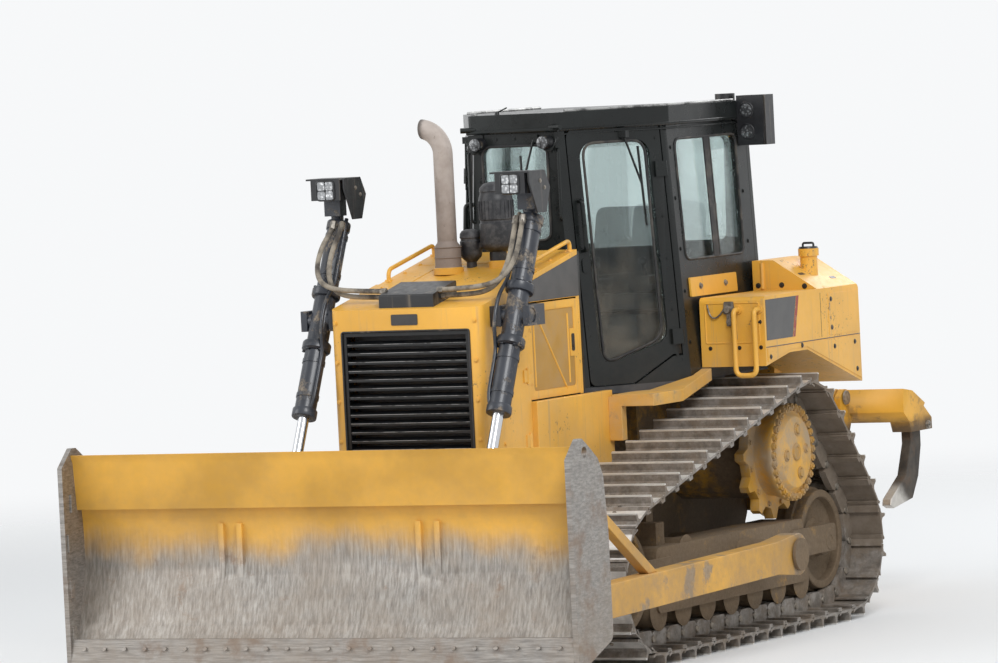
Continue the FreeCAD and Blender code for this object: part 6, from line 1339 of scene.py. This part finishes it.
HOSE_ROUTES = (
    ((0.165, -1.79, 2.155), (0.25, -1.79, 2.158), (0.38, -1.795, 2.16), (0.47, -1.8, 2.175),
     (0.54, -1.79, 2.22),
     (0.573, -1.755, 2.3), (0.582, -1.71, 2.38), (0.576, -1.655, 2.47)),
    ((0.165, -1.82, 2.19), (0.25, -1.82, 2.193), (0.39, -1.83, 2.198), (0.51, -1.84, 2.212),
     (0.598, -1.825, 2.255),
     (0.634, -1.78, 2.33), (0.641, -1.725, 2.41), (0.63, -1.67, 2.49)),
)


TUBE_ROUTE = (
    (-0.065, -0.62, 0.035), (-0.065, -0.45, 0.035), (-0.065, -0.25, 0.035), (-0.068, -0.2, 0.042),
    (-0.068, -0.14, 0.078), (-0.068, -0.085, 0.104), (-0.068, 0, 0.114), (-0.068, 0.085, 0.104),
    (-0.068, 0.14, 0.078), (-0.068, 0.2, 0.042), (-0.065, 0.25, 0.035), (-0.065, 0.4, 0.035),
    (-0.065, 0.52, 0.035),
    (-0.045, 0.56, 0.02),
)
CLAMP_BAND = ((0.0625, -0.012), (0.066, -0.012), (0.066, 0.012), (0.0625, 0.012))
COLLAR_PROFILE = ((0.061, -0.026), (0.074, -0.024), (0.083, -0.014), (0.083, 0.022), (0.078, 0.03),
                  (0.061, 0.034))


class DOZER_OT_hoses(bpy.types.Operator):
    """Make the hoses from the valve box to the lift cylinders, and each barrel's pipe, clamps and collars"""
    bl_idname = "dozer.hoses"
    bl_label = "Hoses"

    def execute(self, context):
        hoses = context.scene.dozer_hoses
        things = []
        for side, sign in SIDES:
            bm = bmesh.new()
            for i, route in enumerate(HOSE_ROUTES):
                end = lift_point(sign, -0.062 + 0.05 * i, -0.585, 0.07 + 0.012 * i)
                points = [Vector((sign * x, y, z)) for x, y, z in route] + [end + LIFT_WAY * 0.06, end]
                add_line(bm, points, hoses.radius, 0, 14, 14)
                cone(bm, aim(points[0], (sign, 0, 0)), 0.019, 0.019, 0.035, 6, 1)
                cone(bm, aim(end + LIFT_WAY * 0.05, -LIFT_WAY), 0.019, 0.019, 0.045, 6, 1)
            thing = add_piece("lift_hoses_" + side, bm, None, "hose_cover bolt_steel")
            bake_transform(thing)
            things.append(thing)
        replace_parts(things[0], "lift_hoses")
        for side, sign in SIDES:
            bm = bmesh.new()
            tube = [lift_point(sign, *place) for place in TUBE_ROUTE]
            add_line(bm, tube, hoses.thin * 1.6, 0, 10, 10)
            for along in (-0.52, -0.28, 0.26, 0.47):
                lathe(bm, aim(lift_point(sign, 0, along), LIFT_WAY), CLAMP_BAND, 36)
            for along, radius in ((0.575, 0.07), (-0.585, 0.067)):
                ring = [(0.06, -0.024), (radius, -0.024), (radius + 0.002, -0.02), (radius + 0.002, 0.02),
                        (radius, 0.024), (0.06, 0.024)]
                lathe(bm, aim(lift_point(sign, 0, along), LIFT_WAY), ring, 36)
            for along, way in ((-0.17, 1), (0.17, -1)):
                matrix = aim(lift_point(sign, 0, along), LIFT_WAY * way)
                lathe(bm, matrix, COLLAR_PROFILE, 40)
                for turn in range(18, 360, 60):
                    spot = matrix @ Matrix.Rotation(math.radians(turn), 4, "Z") @ Vector((0.071, 0, -0.025))
                    bolt(bm, spot, LIFT_WAY * -way, 0.007, 0.006)
            foot_x = sign * LIFT_X
            cuboid(bm, (foot_x - 0.052, -1.575, 2.62), (foot_x + 0.052, -1.5, 2.712))
            add_piece("lift_tube_" + side, bm, "lift_barrel_" + side, "muddy_black")
        return {"FINISHED"}


class DOZER_OT_lamps(bpy.types.Operator):
    """Make the work lamps on the lift posts and on the cab's roof"""
    bl_idname = "dozer.lamps"
    bl_label = "Lamps"

    def execute(self, context):
        for side, sign in SIDES:
            dress("work_lamp_" + side, "black_paint", 0.0)
            low, high = (Vector(v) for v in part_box("work_lamp_" + side))
            bm = bmesh.new()
            face, middle = low.y - 0.0005, sign * 0.595
            hoop(bm, upright(face, middle - 0.058, middle + 0.058, high.z - 0.124, high.z - 0.014), 0.024,
                 0.006)
            for x in (middle - 0.0265, middle + 0.0265):
                for z in (high.z - 0.097, high.z - 0.042):
                    lens = upright(face, x - 0.0235, x + 0.0235, z - 0.025, z + 0.025)
                    panel(bm, rounded(lens, 0.011), (0, -0.004, 0), 1)
            for y, z in ((-0.12, 0.18), (-0.07, 0.14)):
                bolt(bm, (high.x, high.y + y, low.z + z), (1, 0, 0), 0.009, 0.006, 2)
            add_piece("work_lamp_lens_" + side, bm, "lift_barrel_" + side, "black_paint lamp_lens bolt_steel")
        dress("roof_lamps", "black_paint", 0.006)
        bm = bmesh.new()
        ahead = (0, -1, 0)
        lens = [(0.034, -0.004), (0.034, 0.0), (0.02, 0.0025), (0.0, 0.003)]
        for x in (-0.222, 0.222):
            lathe(bm, aim((x, -0.5505, 2.975), ahead), lens, 30)
        add_piece("roof_lenses", bm, "machine", "lamp_glass")
        bm = bmesh.new()
        face = 1.13
        rim = [(0.052, -0.004), (0.052, 0.0), (0.046, 0.003), (0.044, -0.001), (0.0, -0.001)]
        for z in (2.955, 3.085):
            lathe(bm, aim((0.745, face + 0.001, z), ahead), rim, 30)
            lathe(bm, aim((0.745, face, z), ahead), [(0.043, -0.001), (0.03, 0.0015), (0.0, 0.0025)], 30, 1)
        panel(bm, rounded(upright(face, 0.8, 0.865, 2.885, 3.165), 0.012), (0, -0.01, 0))
        lathe(bm, at(0.58, 1.19, 3.144), [(0.052, -0.001), (0.05, 0.03), (0.042, 0.04), (0.0, 0.0445)], 32, 2)
        add_piece("rear_lamp_faces", bm, "machine", "black_paint lamp_glass black_paint")
        return {"FINISHED"}


# Cab

CAB_FOOT, CAB_RISE, CAB_LEAN = 1.53, 1.52, 0.09
CAB_NOSE, CAB_MIDDLE, CAB_REAR = Vector((0.352, -0.47)), Vector((0.75, 0.2)), Vector((0.75, 1.25))
CAB_FRONT = -0.47


def lean(z):
    """How far the cab's side has come inwards at a height."""
    return CAB_LEAN * (z - CAB_FOOT) / CAB_RISE


def cab_edge(t, z):
    """A point on the cab's plan: t is 0 at the nose's corner, 1 at the middle post and 2 at the rear post."""
    place = CAB_NOSE.lerp(CAB_MIDDLE, t) if t <= 1 else CAB_MIDDLE.lerp(CAB_REAR, t - 1)
    return Vector((place.x - lean(z), place.y + (lean(z) * 0.25 if t < 0.2 else 0), z))


def wall(sign, y, z):
    """A point on the outside of the leaning side wall."""
    return Vector((sign * (0.751 - lean(z)), y, z))


class DOZER_OT_cab(bpy.types.Operator):
    """Paint the cab's frame and doors, and tint its panes"""
    bl_idname = "dozer.cab"
    bl_label = "Cab"

    def execute(self, context):
        for node, edge in (("cab_sides", 0.006), ("cab_front", 0.006), ("cab_rear", 0.006),
                           ("cab_roof", 0.012),
                           ("cab_door_left", 0.005), ("cab_door_right", 0.005)):
            dress(node, "cab_black", edge)
        recolour("cab_floor", "moulded_plastic")
        dress("console", "moulded_plastic", 0.012)
        for node in ("cab_glass", "door_glass_left", "door_glass_right"):
            recolour(node, "window_glass")
        return {"FINISHED"}


class DOZER_OT_seat(bpy.types.Operator):
    """Make the seat with its cushions, armrests and control levers"""
    bl_idname = "dozer.seat"
    bl_label = "Seat"

    def execute(self, context):
        bm = bmesh.new()
        for corners, depth, stretch in (
                (((-0.23, 0.58, 1.93), (0.23, 0.58, 1.93), (0.23, 1.0, 1.9), (-0.23, 1.0, 1.9)),
                 (0, 0, 0.1), 0.05),
                (((-0.22, 0.95, 2.0), (0.22, 0.95, 2.0), (0.2, 1.05, 2.52), (-0.2, 1.05, 2.52)),
                 (0, -0.1, 0.02), 0.06)):
            panel(bm, rounded(corners, stretch, 4), depth, 0)
        cuboid(bm, (-0.2, 0.62, 1.531), (0.2, 0.98, 1.9), 1)
        for sign in (1, -1):
            arm = sign * 0.27
            cuboid(bm, (arm - 0.03, 0.6, 2.08), (arm + 0.03, 0.95, 2.13), 1)
            cuboid(bm, (arm - 0.02, 0.9, 1.9), (arm + 0.02, 0.95, 2.09), 1)
            knob = Vector((sign * 0.265, 0.6, 2.2))
            sweep(bm, [(arm, 0.64, 2.12), knob], 0.011, 10, 1)
            paint(bmesh.ops.create_uvsphere(bm, u_segments=16, v_segments=10, radius=0.026,
                                            matrix=at(knob.x, knob.y - 0.005, knob.z + 0.02))["verts"], 1)
        thing = add_piece("operator_seat", bm, "machine", "seat_cloth moulded_plastic",
                          0.018, 3)
        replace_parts(thing, "seat")
        return {"FINISHED"}


class DOZER_OT_cab_fittings(bpy.types.Operator):
    """Make the cab's seals, rails, wipers, leads, straps, door handles and bolts"""
    bl_idname = "dozer.cab_fittings"
    bl_label = "Cab fittings"

    def execute(self, context):
        bm = bmesh.new()
        front = -0.4715
        hoop(bm, upright(front, -0.213, 0.213, 2.402, 2.958), 0.06, 0.008)
        for sign in (1, -1):
            pane = [wall(sign, y, z) for y, z in ((0.287, 2.232), (1.083, 2.232), (1.118, 2.948),
                                                  (0.287, 2.948))]
            hoop(bm, pane, 0.06, 0.008)
            strip = [wall(sign, y, z) for y, z in ((0.662, 2.236), (0.726, 2.236), (0.735, 2.944),
                                                   (0.668, 2.944))]
            panel(bm, strip, (sign * 0.008, 0, 0))
            sweep(bm, [wall(sign, 0.744, 2.24), wall(sign, 0.752, 2.94)], 0.009, 8)
            catch = wall(sign, 0.745, 2.52)
            cuboid(bm, catch - Vector((0.012, 0.018, 0.03)), catch + Vector((0.004, 0.018, 0.03)))
        rear = [(-0.518, 1.287, 2.302), (0.518, 1.287, 2.302), (0.518, 1.3165, 2.938),
                (-0.518, 1.3165, 2.938)]
        hoop(bm, rear, 0.06, 0.008)
        add_piece("window_seals", bm, "machine", "rubber_seal")
        bm = bmesh.new()
        front, ahead = CAB_FRONT, (0, -1, 0)
        for sign in (1, -1):
            edge = [cab_edge(t, 3.05) for t in (-0.02, 1.0, 1.98)]
            sweep(bm, [(sign * (p.x + 0.012), p.y, 3.045) for p in edge], 0.013)
            sweep(bm, [(sign * (p.x + 0.008), p.y, 3.015) for p in edge], 0.006, 8)
        sweep(bm, [(-0.3, -0.488, 3.045), (0.3, -0.488, 3.045)], 0.013)
        plate_bolts(bm, row((-0.24, front, 3.0), (0.24, front, 3.0), 5), ahead, 0.008, 0.006, 1)
        for sign in (1, -1):
            posts = row((sign * 0.255, front, 2.42), (sign * 0.235, front, 2.92), 4)
            plate_bolts(bm, posts, ahead, 0.009, 0.006, 1)
            for y in (0.235, 1.16):
                plate_bolts(bm, [wall(sign, y, z) for z in (1.75, 2.05, 2.3, 2.6, 2.9)], (sign, 0, 0.06),
                            0.009, 0.006, 1)
        sweep(bm, [(0.13, -0.474, 3.0), (0.13, -0.484, 2.985), (0.04, -0.482, 2.7)], 0.007, 8)
        sweep(bm, [(0.04, -0.478, 2.9), (0.05, -0.48, 2.5)], 0.008, 6)
        cuboid(bm, (0.09, -0.487, 2.975), (0.16, front, 3.02))
        sweep(bm, [(-0.14, -0.4, 3.144), (-0.135, -0.402, 3.158), (-0.07, -0.41, 3.183)], 0.0045, 8)
        cone(bm, at(-0.14, -0.4, 3.142), 0.016, 0.012, 0.02, 14)
        # The pale rail swept along each side of the roof is a painted highlight.
        for sign in (1, -1):
            places = [cab_edge(t, 3.05) for t in (0.1, 1.0, 1.9)]
            sweep(bm, [(sign * (p.x - 0.012), p.y, 3.15) for p in places], 0.009, 10, 2)
            corner = cab_edge(0.0, 3.0)
            x, y = sign * corner.x, corner.y - 0.012
            out = Vector((sign * 0.03, -0.05, 0))
            high, low = Vector((x, y + 0.02, 2.93)), Vector((x, y + 0.02, 2.52))
            sweep(bm, rounded_line([high, high + out, low + out, low], 0.025), 0.009)
            cone(bm, aim((x - sign * 0.02, y - 0.02, 3.06), (sign, -0.4, 0)), 0.016, 0.016, 0.09, 14)
            for i in range(3):
                lift = 0.012 * i
                lead = ((0.2 + 0.01 * i, -0.5, 2.955), (0.22 + lift, -0.53, 2.9 - lift),
                        (0.27 + lift, -0.52, 2.93 + lift), (0.31 - lift, -0.49, 3.0))
                add_line(bm, [(sign * x, y, z) for x, y, z in lead], 0.0045, 0, 6, 8)
        panel(bm, rounded(upright(-0.478, -0.3, -0.2, 2.93, 3.03), 0.01), (0, 0.006, 0))
        add_piece("cab_trim", bm, "machine", "cab_black cab_black pale_rail", 0.0)
        bm = bmesh.new()
        for sign in (1, -1):
            low, high = wall(sign, 0.29, 2.012), wall(sign, 0.92, 2.125)
            strap = [(low.x, 0.29, 2.012), (low.x, 0.92, 2.012), (high.x, 0.92, 2.125), (high.x, 0.29, 2.125)]
            panel(bm, rounded(strap, 0.01), (sign * 0.012, 0, 0))
            for y in (0.42, 0.76):
                bolt(bm, wall(sign, y, 2.07) + Vector((sign * 0.011, 0, 0)), (sign, 0, 0.06), 0.014, 0.012, 1)
        add_piece("cab_straps", bm, "machine", "yellow_paint bolt_steel")
        for side, sign in SIDES:
            bm = bmesh.new()
            normal = Vector((sign * 0.858, -0.51, 0.051)).normalized()

            def skin(t, z, out=0.0):
                place = cab_edge(t, z)
                return Vector((sign * place.x, place.y, place.z)) + normal * out

            def patch(front, back, low, high, out):
                return [skin(front, low, out), skin(back, low, out), skin(back, high, out),
                        skin(front, high, out)]

            low, high = 2.33, 2.62
            grip = [skin(0.135, low), skin(0.135, low, 0.05), skin(0.135, high, 0.05), skin(0.135, high)]
            sweep(bm, rounded_line(grip, 0.03), 0.0135)
            for z in (low, high):
                cone(bm, aim(skin(0.135, z, -0.001), normal), 0.026, 0.024, 0.008, 16)
            hoop(bm, patch(0.1, 0.17, 2.28, 2.67, 0.0005), 0.03, 0.006)
            panel(bm, rounded(patch(0.115, 0.16, 2.2, 2.28, 0.001), 0.018), normal * 0.012)
            glass = [skin(t, z, 0.001) for t, z in ((0.235, 1.66), (0.775, 1.79), (0.79, 2.955),
                                                    (0.235, 2.955))]
            hoop(bm, glass, 0.09, 0.0085, 8, 1, 7)
            sweep(bm, [skin(0.6, 3.0, 0.012), skin(0.6, 2.97, 0.024), skin(0.72, 2.7, 0.014)], 0.007, 8)
            sweep(bm, [skin(0.72, 2.92, 0.01), skin(0.73, 2.45, 0.01)], 0.008, 6)
            motor, half = skin(0.6, 2.995, 0.008), Vector((0.03, 0.022, 0.02))
            cuboid(bm, motor - half, motor + half)
            for z in (1.68, 1.95, 2.25, 2.5, 2.75, 2.96):
                bolt(bm, skin(0.895, z, -0.001), normal, 0.008, 0.005, 2)
            add_piece("cab_door_handle_" + side, bm, "cab_door_" + side, "cab_black rubber_seal cab_black")
        return {"FINISHED"}


# Blade and ripper

class DOZER_OT_blade(bpy.types.Operator):
    """Paint the blade and its arms, and make its edge bolts and end strips"""
    bl_idname = "dozer.blade"
    bl_label = "Blade"

    def execute(self, context):
        dress("moldboard", "blade_face", 0.006)
        dress("cutting_edge", "scoured_steel", 0.003)
        dress("blade_end_plates", "scoured_steel", 0.005)
        for node in ("push_arms", "blade_braces"):
            dress(node, "arm_paint", 0.005)
        bm = bmesh.new()
        for x, y, z in row((-1.5, -3.128, 0.285), (1.5, -3.128, 0.285), 24):
            cone(bm, aim((x, y, z), (0, -0.86, 0.5)), 0.014, 0.012, 0.004, 12)
        for sign in (1, -1):
            for y, z in ((-3.09, 0.36), (-3.09, 0.62), (-3.09, 0.88), (-3.04, 1.1)):
                cuboid(bm, (sign * 1.582 - 0.007, y - 0.02, z - 0.05),
                       (sign * 1.582 + 0.007, y + 0.02, z + 0.05))
        add_piece("edge_bolts", bm, "blade", "scoured_steel", 0.002)
        return {"FINISHED"}


class DOZER_OT_lift(bpy.types.Operator):
    """Paint the lift cylinders and their bright rods"""
    bl_idname = "dozer.lift"
    bl_label = "Lift cylinders"

    def execute(self, context):
        for side in ("left", "right"):
            dress("lift_barrel_" + side, "muddy_black", 0.003)
            dress("lift_rod_" + side, "bright_rod", 0.002)
        dress("valve_box", "black_paint", 0.01)
        return {"FINISHED"}


class DOZER_OT_ripper(bpy.types.Operator):
    """Paint the ripper's frame, cylinders and teeth, and make its pin heads"""
    bl_idname = "dozer.ripper"
    bl_label = "Ripper"

    def execute(self, context):
        dress("ripper_beam", "beam_paint", 0.006)
        for node in ("ripper_bracket", "ripper_arms", "ripper_links"):
            dress(node, "arm_paint", 0.005)
        dress("ripper_shanks", "shank_steel", 0.006)
        bm = bmesh.new()
        shank_y, shank_z, arm = 3.075, 1.045, 0.52
        for x in (-0.9, 0.0, 0.9):
            for sign in (1, -1):
                cone(bm, aim((x + sign * 0.0655, shank_y, shank_z), (sign, 0, 0)), 0.026, 0.024, 0.018, 20)
                cone(bm, aim((x + sign * 0.0835, shank_y, shank_z), (sign, 0, 0)), 0.009, 0.008, 0.006, 10)
        for sign in (1, -1):
            for z, radius in ((1.0, 0.05), (1.25, 0.045)):
                for way in (-1, 1):
                    place = (sign * (arm + way * 0.096), 2.64, z)
                    cone(bm, aim(place, (sign * way, 0, 0)), radius, radius * 0.94, 0.012, 24)
        add_piece("ripper_pin_heads", bm, "ripper_beam", "bolt_steel")
        dress("ripper_barrels", "muddy_black", 0.003)
        dress("ripper_rods", "bright_rod", 0.002)
        return {"FINISHED"}


# Stage

class DOZER_OT_stage(bpy.types.Operator):
    """Set the pale floor, the soft lights and the camera"""
    bl_idname = "dozer.stage"
    bl_label = "Stage"

    def execute(self, context):
        scene = context.scene
        world = bpy.data.worlds.new("sky")
        scene.world = world
        world.use_nodes = True
        tree = world.node_tree
        tree.nodes.clear()
        made = {name: tree.nodes.new("ShaderNode" + name) for name in ("OutputWorld", "LightPath",
                                                                       "MixShader")}
        rays, pick = made["LightPath"], made["MixShader"]
        seen = rays.outputs["Is Camera Ray"]
        for ray in ("Is Glossy Ray", "Is Transmission Ray"):
            either = tree.nodes.new("ShaderNodeMath")
            either.operation = "MAXIMUM"
            tree.links.new(seen, either.inputs[0])
            tree.links.new(rays.outputs[ray], either.inputs[1])
            seen = either.outputs[0]
        tree.links.new(seen, pick.inputs[0])
        for socket, colour, strength in ((1, (0.95, 0.98, 1.0, 1), 0.62), (2, (0.93, 0.94, 0.95, 1), 1.0)):
            sky = tree.nodes.new("ShaderNodeBackground")
            sky.inputs["Color"].default_value = colour
            sky.inputs["Strength"].default_value = strength
            tree.links.new(sky.outputs[0], pick.inputs[socket])
        tree.links.new(pick.outputs[0], made["OutputWorld"].inputs["Surface"])
        for name, place, target, size, power in (
                ("key", (9.0, -10.0, 12.0), (0, 0, 1.2), 7.0, 1500.0),
                ("fill", (-10.0, -9.0, 6.0), (0, 0, 1.2), 8.0, 500.0),
                ("back", (2.0, 12.0, 8.0), (0, 0, 1.5), 7.0, 500.0)):
            lamp = bpy.data.lights.new(name, "AREA")
            lamp.shape = "DISK"
            lamp.size = size
            lamp.energy = power
            thing = bpy.data.objects.new(name, lamp)
            thing.location = place
            thing.rotation_euler = (Vector(target) - Vector(place)).to_track_quat("-Z", "Y").to_euler()
            scene.collection.objects.link(thing)
        bm = bmesh.new()
        bmesh.ops.create_grid(bm, x_segments=1, y_segments=1, size=150)
        mesh = bpy.data.meshes.new("floor")
        bm.to_mesh(mesh)
        bm.free()
        floor = bpy.data.objects.new("floor", mesh)
        scene.collection.objects.link(floor)
        pale = bpy.data.materials.new("floor")
        pale.use_nodes = True
        shader = pale.node_tree.nodes["Principled BSDF"]
        shader.inputs["Base Color"].default_value = (0.78, 0.785, 0.79, 1)
        shader.inputs["Roughness"].default_value = 0.9
        nodes, links = pale.node_tree.nodes, pale.node_tree.links
        place = nodes.new("ShaderNodeTexCoord")
        reach = nodes.new("ShaderNodeVectorMath")
        reach.operation = "LENGTH"
        fade = nodes.new("ShaderNodeMapRange")
        fade.interpolation_type = "SMOOTHSTEP"
        near, far = 6.0, 17.0
        for socket, value in ((1, near), (2, far), (3, 1.0), (4, 0.0)):
            fade.inputs[socket].default_value = value
        links.new(place.outputs["Object"], reach.inputs[0])
        links.new(reach.outputs["Value"], fade.inputs[0])
        links.new(fade.outputs[0], shader.inputs["Alpha"])
        mesh.materials.append(pale)
        view = scene.dozer_camera
        turn, rise, roll = (math.radians(v) for v in (view.azimuth, view.elevation, view.roll))
        target = Vector(view.aim_at)
        back = Vector((math.sin(turn) * math.cos(rise), -math.cos(turn) * math.cos(rise), math.sin(rise)))
        facing = (-back).to_track_quat("-Z", "Y")
        lens = bpy.data.cameras.new("view")
        lens.lens = view.lens
        lens.sensor_width = 36
        lens.clip_end = 400
        thing = bpy.data.objects.new("view", lens)
        thing.location = target + back * view.distance
        thing.rotation_euler = (facing @ Quaternion((0, 0, 1), roll)).to_euler()
        scene.collection.objects.link(thing)
        scene.camera = thing
        scene.view_settings.view_transform = "Standard"
        return {"FINISHED"}


STEPS = (DOZER_OT_tracks, DOZER_OT_wheels, DOZER_OT_body_panels, DOZER_OT_hood_fittings,
         DOZER_OT_box_fittings,
         DOZER_OT_guard_fittings, DOZER_OT_stacks, DOZER_OT_hoses, DOZER_OT_lamps, DOZER_OT_cab,
         DOZER_OT_seat,
         DOZER_OT_cab_fittings, DOZER_OT_blade, DOZER_OT_lift, DOZER_OT_ripper, DOZER_OT_stage)
GROUPS = (("dozer_finishes", DozerFinishes), ("dozer_track", DozerTrack), ("dozer_hoses", DozerHoses),
          ("dozer_camera", DozerCamera))


class DOZER_PT_panel(bpy.types.Panel):
    """Sizes and colours, and a button for each piece"""
    bl_idname = "DOZER_PT_panel"
    bl_label = "Bulldozer"
    bl_space_type = "VIEW_3D"
    bl_region_type = "UI"
    bl_category = "Bulldozer"

    def draw(self, context):
        for name, group in GROUPS:
            box = self.layout.box()
            box.label(text=group.__doc__)
            settings = getattr(context.scene, name)
            for key in group.__annotations__:
                box.prop(settings, key)
        for step in STEPS:
            self.layout.operator(step.bl_idname)


def register():
    for name, group in GROUPS:
        bpy.utils.register_class(group)
        setattr(bpy.types.Scene, name, PointerProperty(type=group))
    for step in STEPS:
        bpy.utils.register_class(step)
    bpy.utils.register_class(DOZER_PT_panel)


def unregister():
    bpy.utils.unregister_class(DOZER_PT_panel)
    for step in reversed(STEPS):
        bpy.utils.unregister_class(step)
    for name, group in reversed(GROUPS):
        delattr(bpy.types.Scene, name)
        bpy.utils.unregister_class(group)


def main():
    register()
    for step in STEPS:
        getattr(bpy.ops.dozer, step.bl_idname.split(".")[1])()


if __name__ == "__main__":
    main()
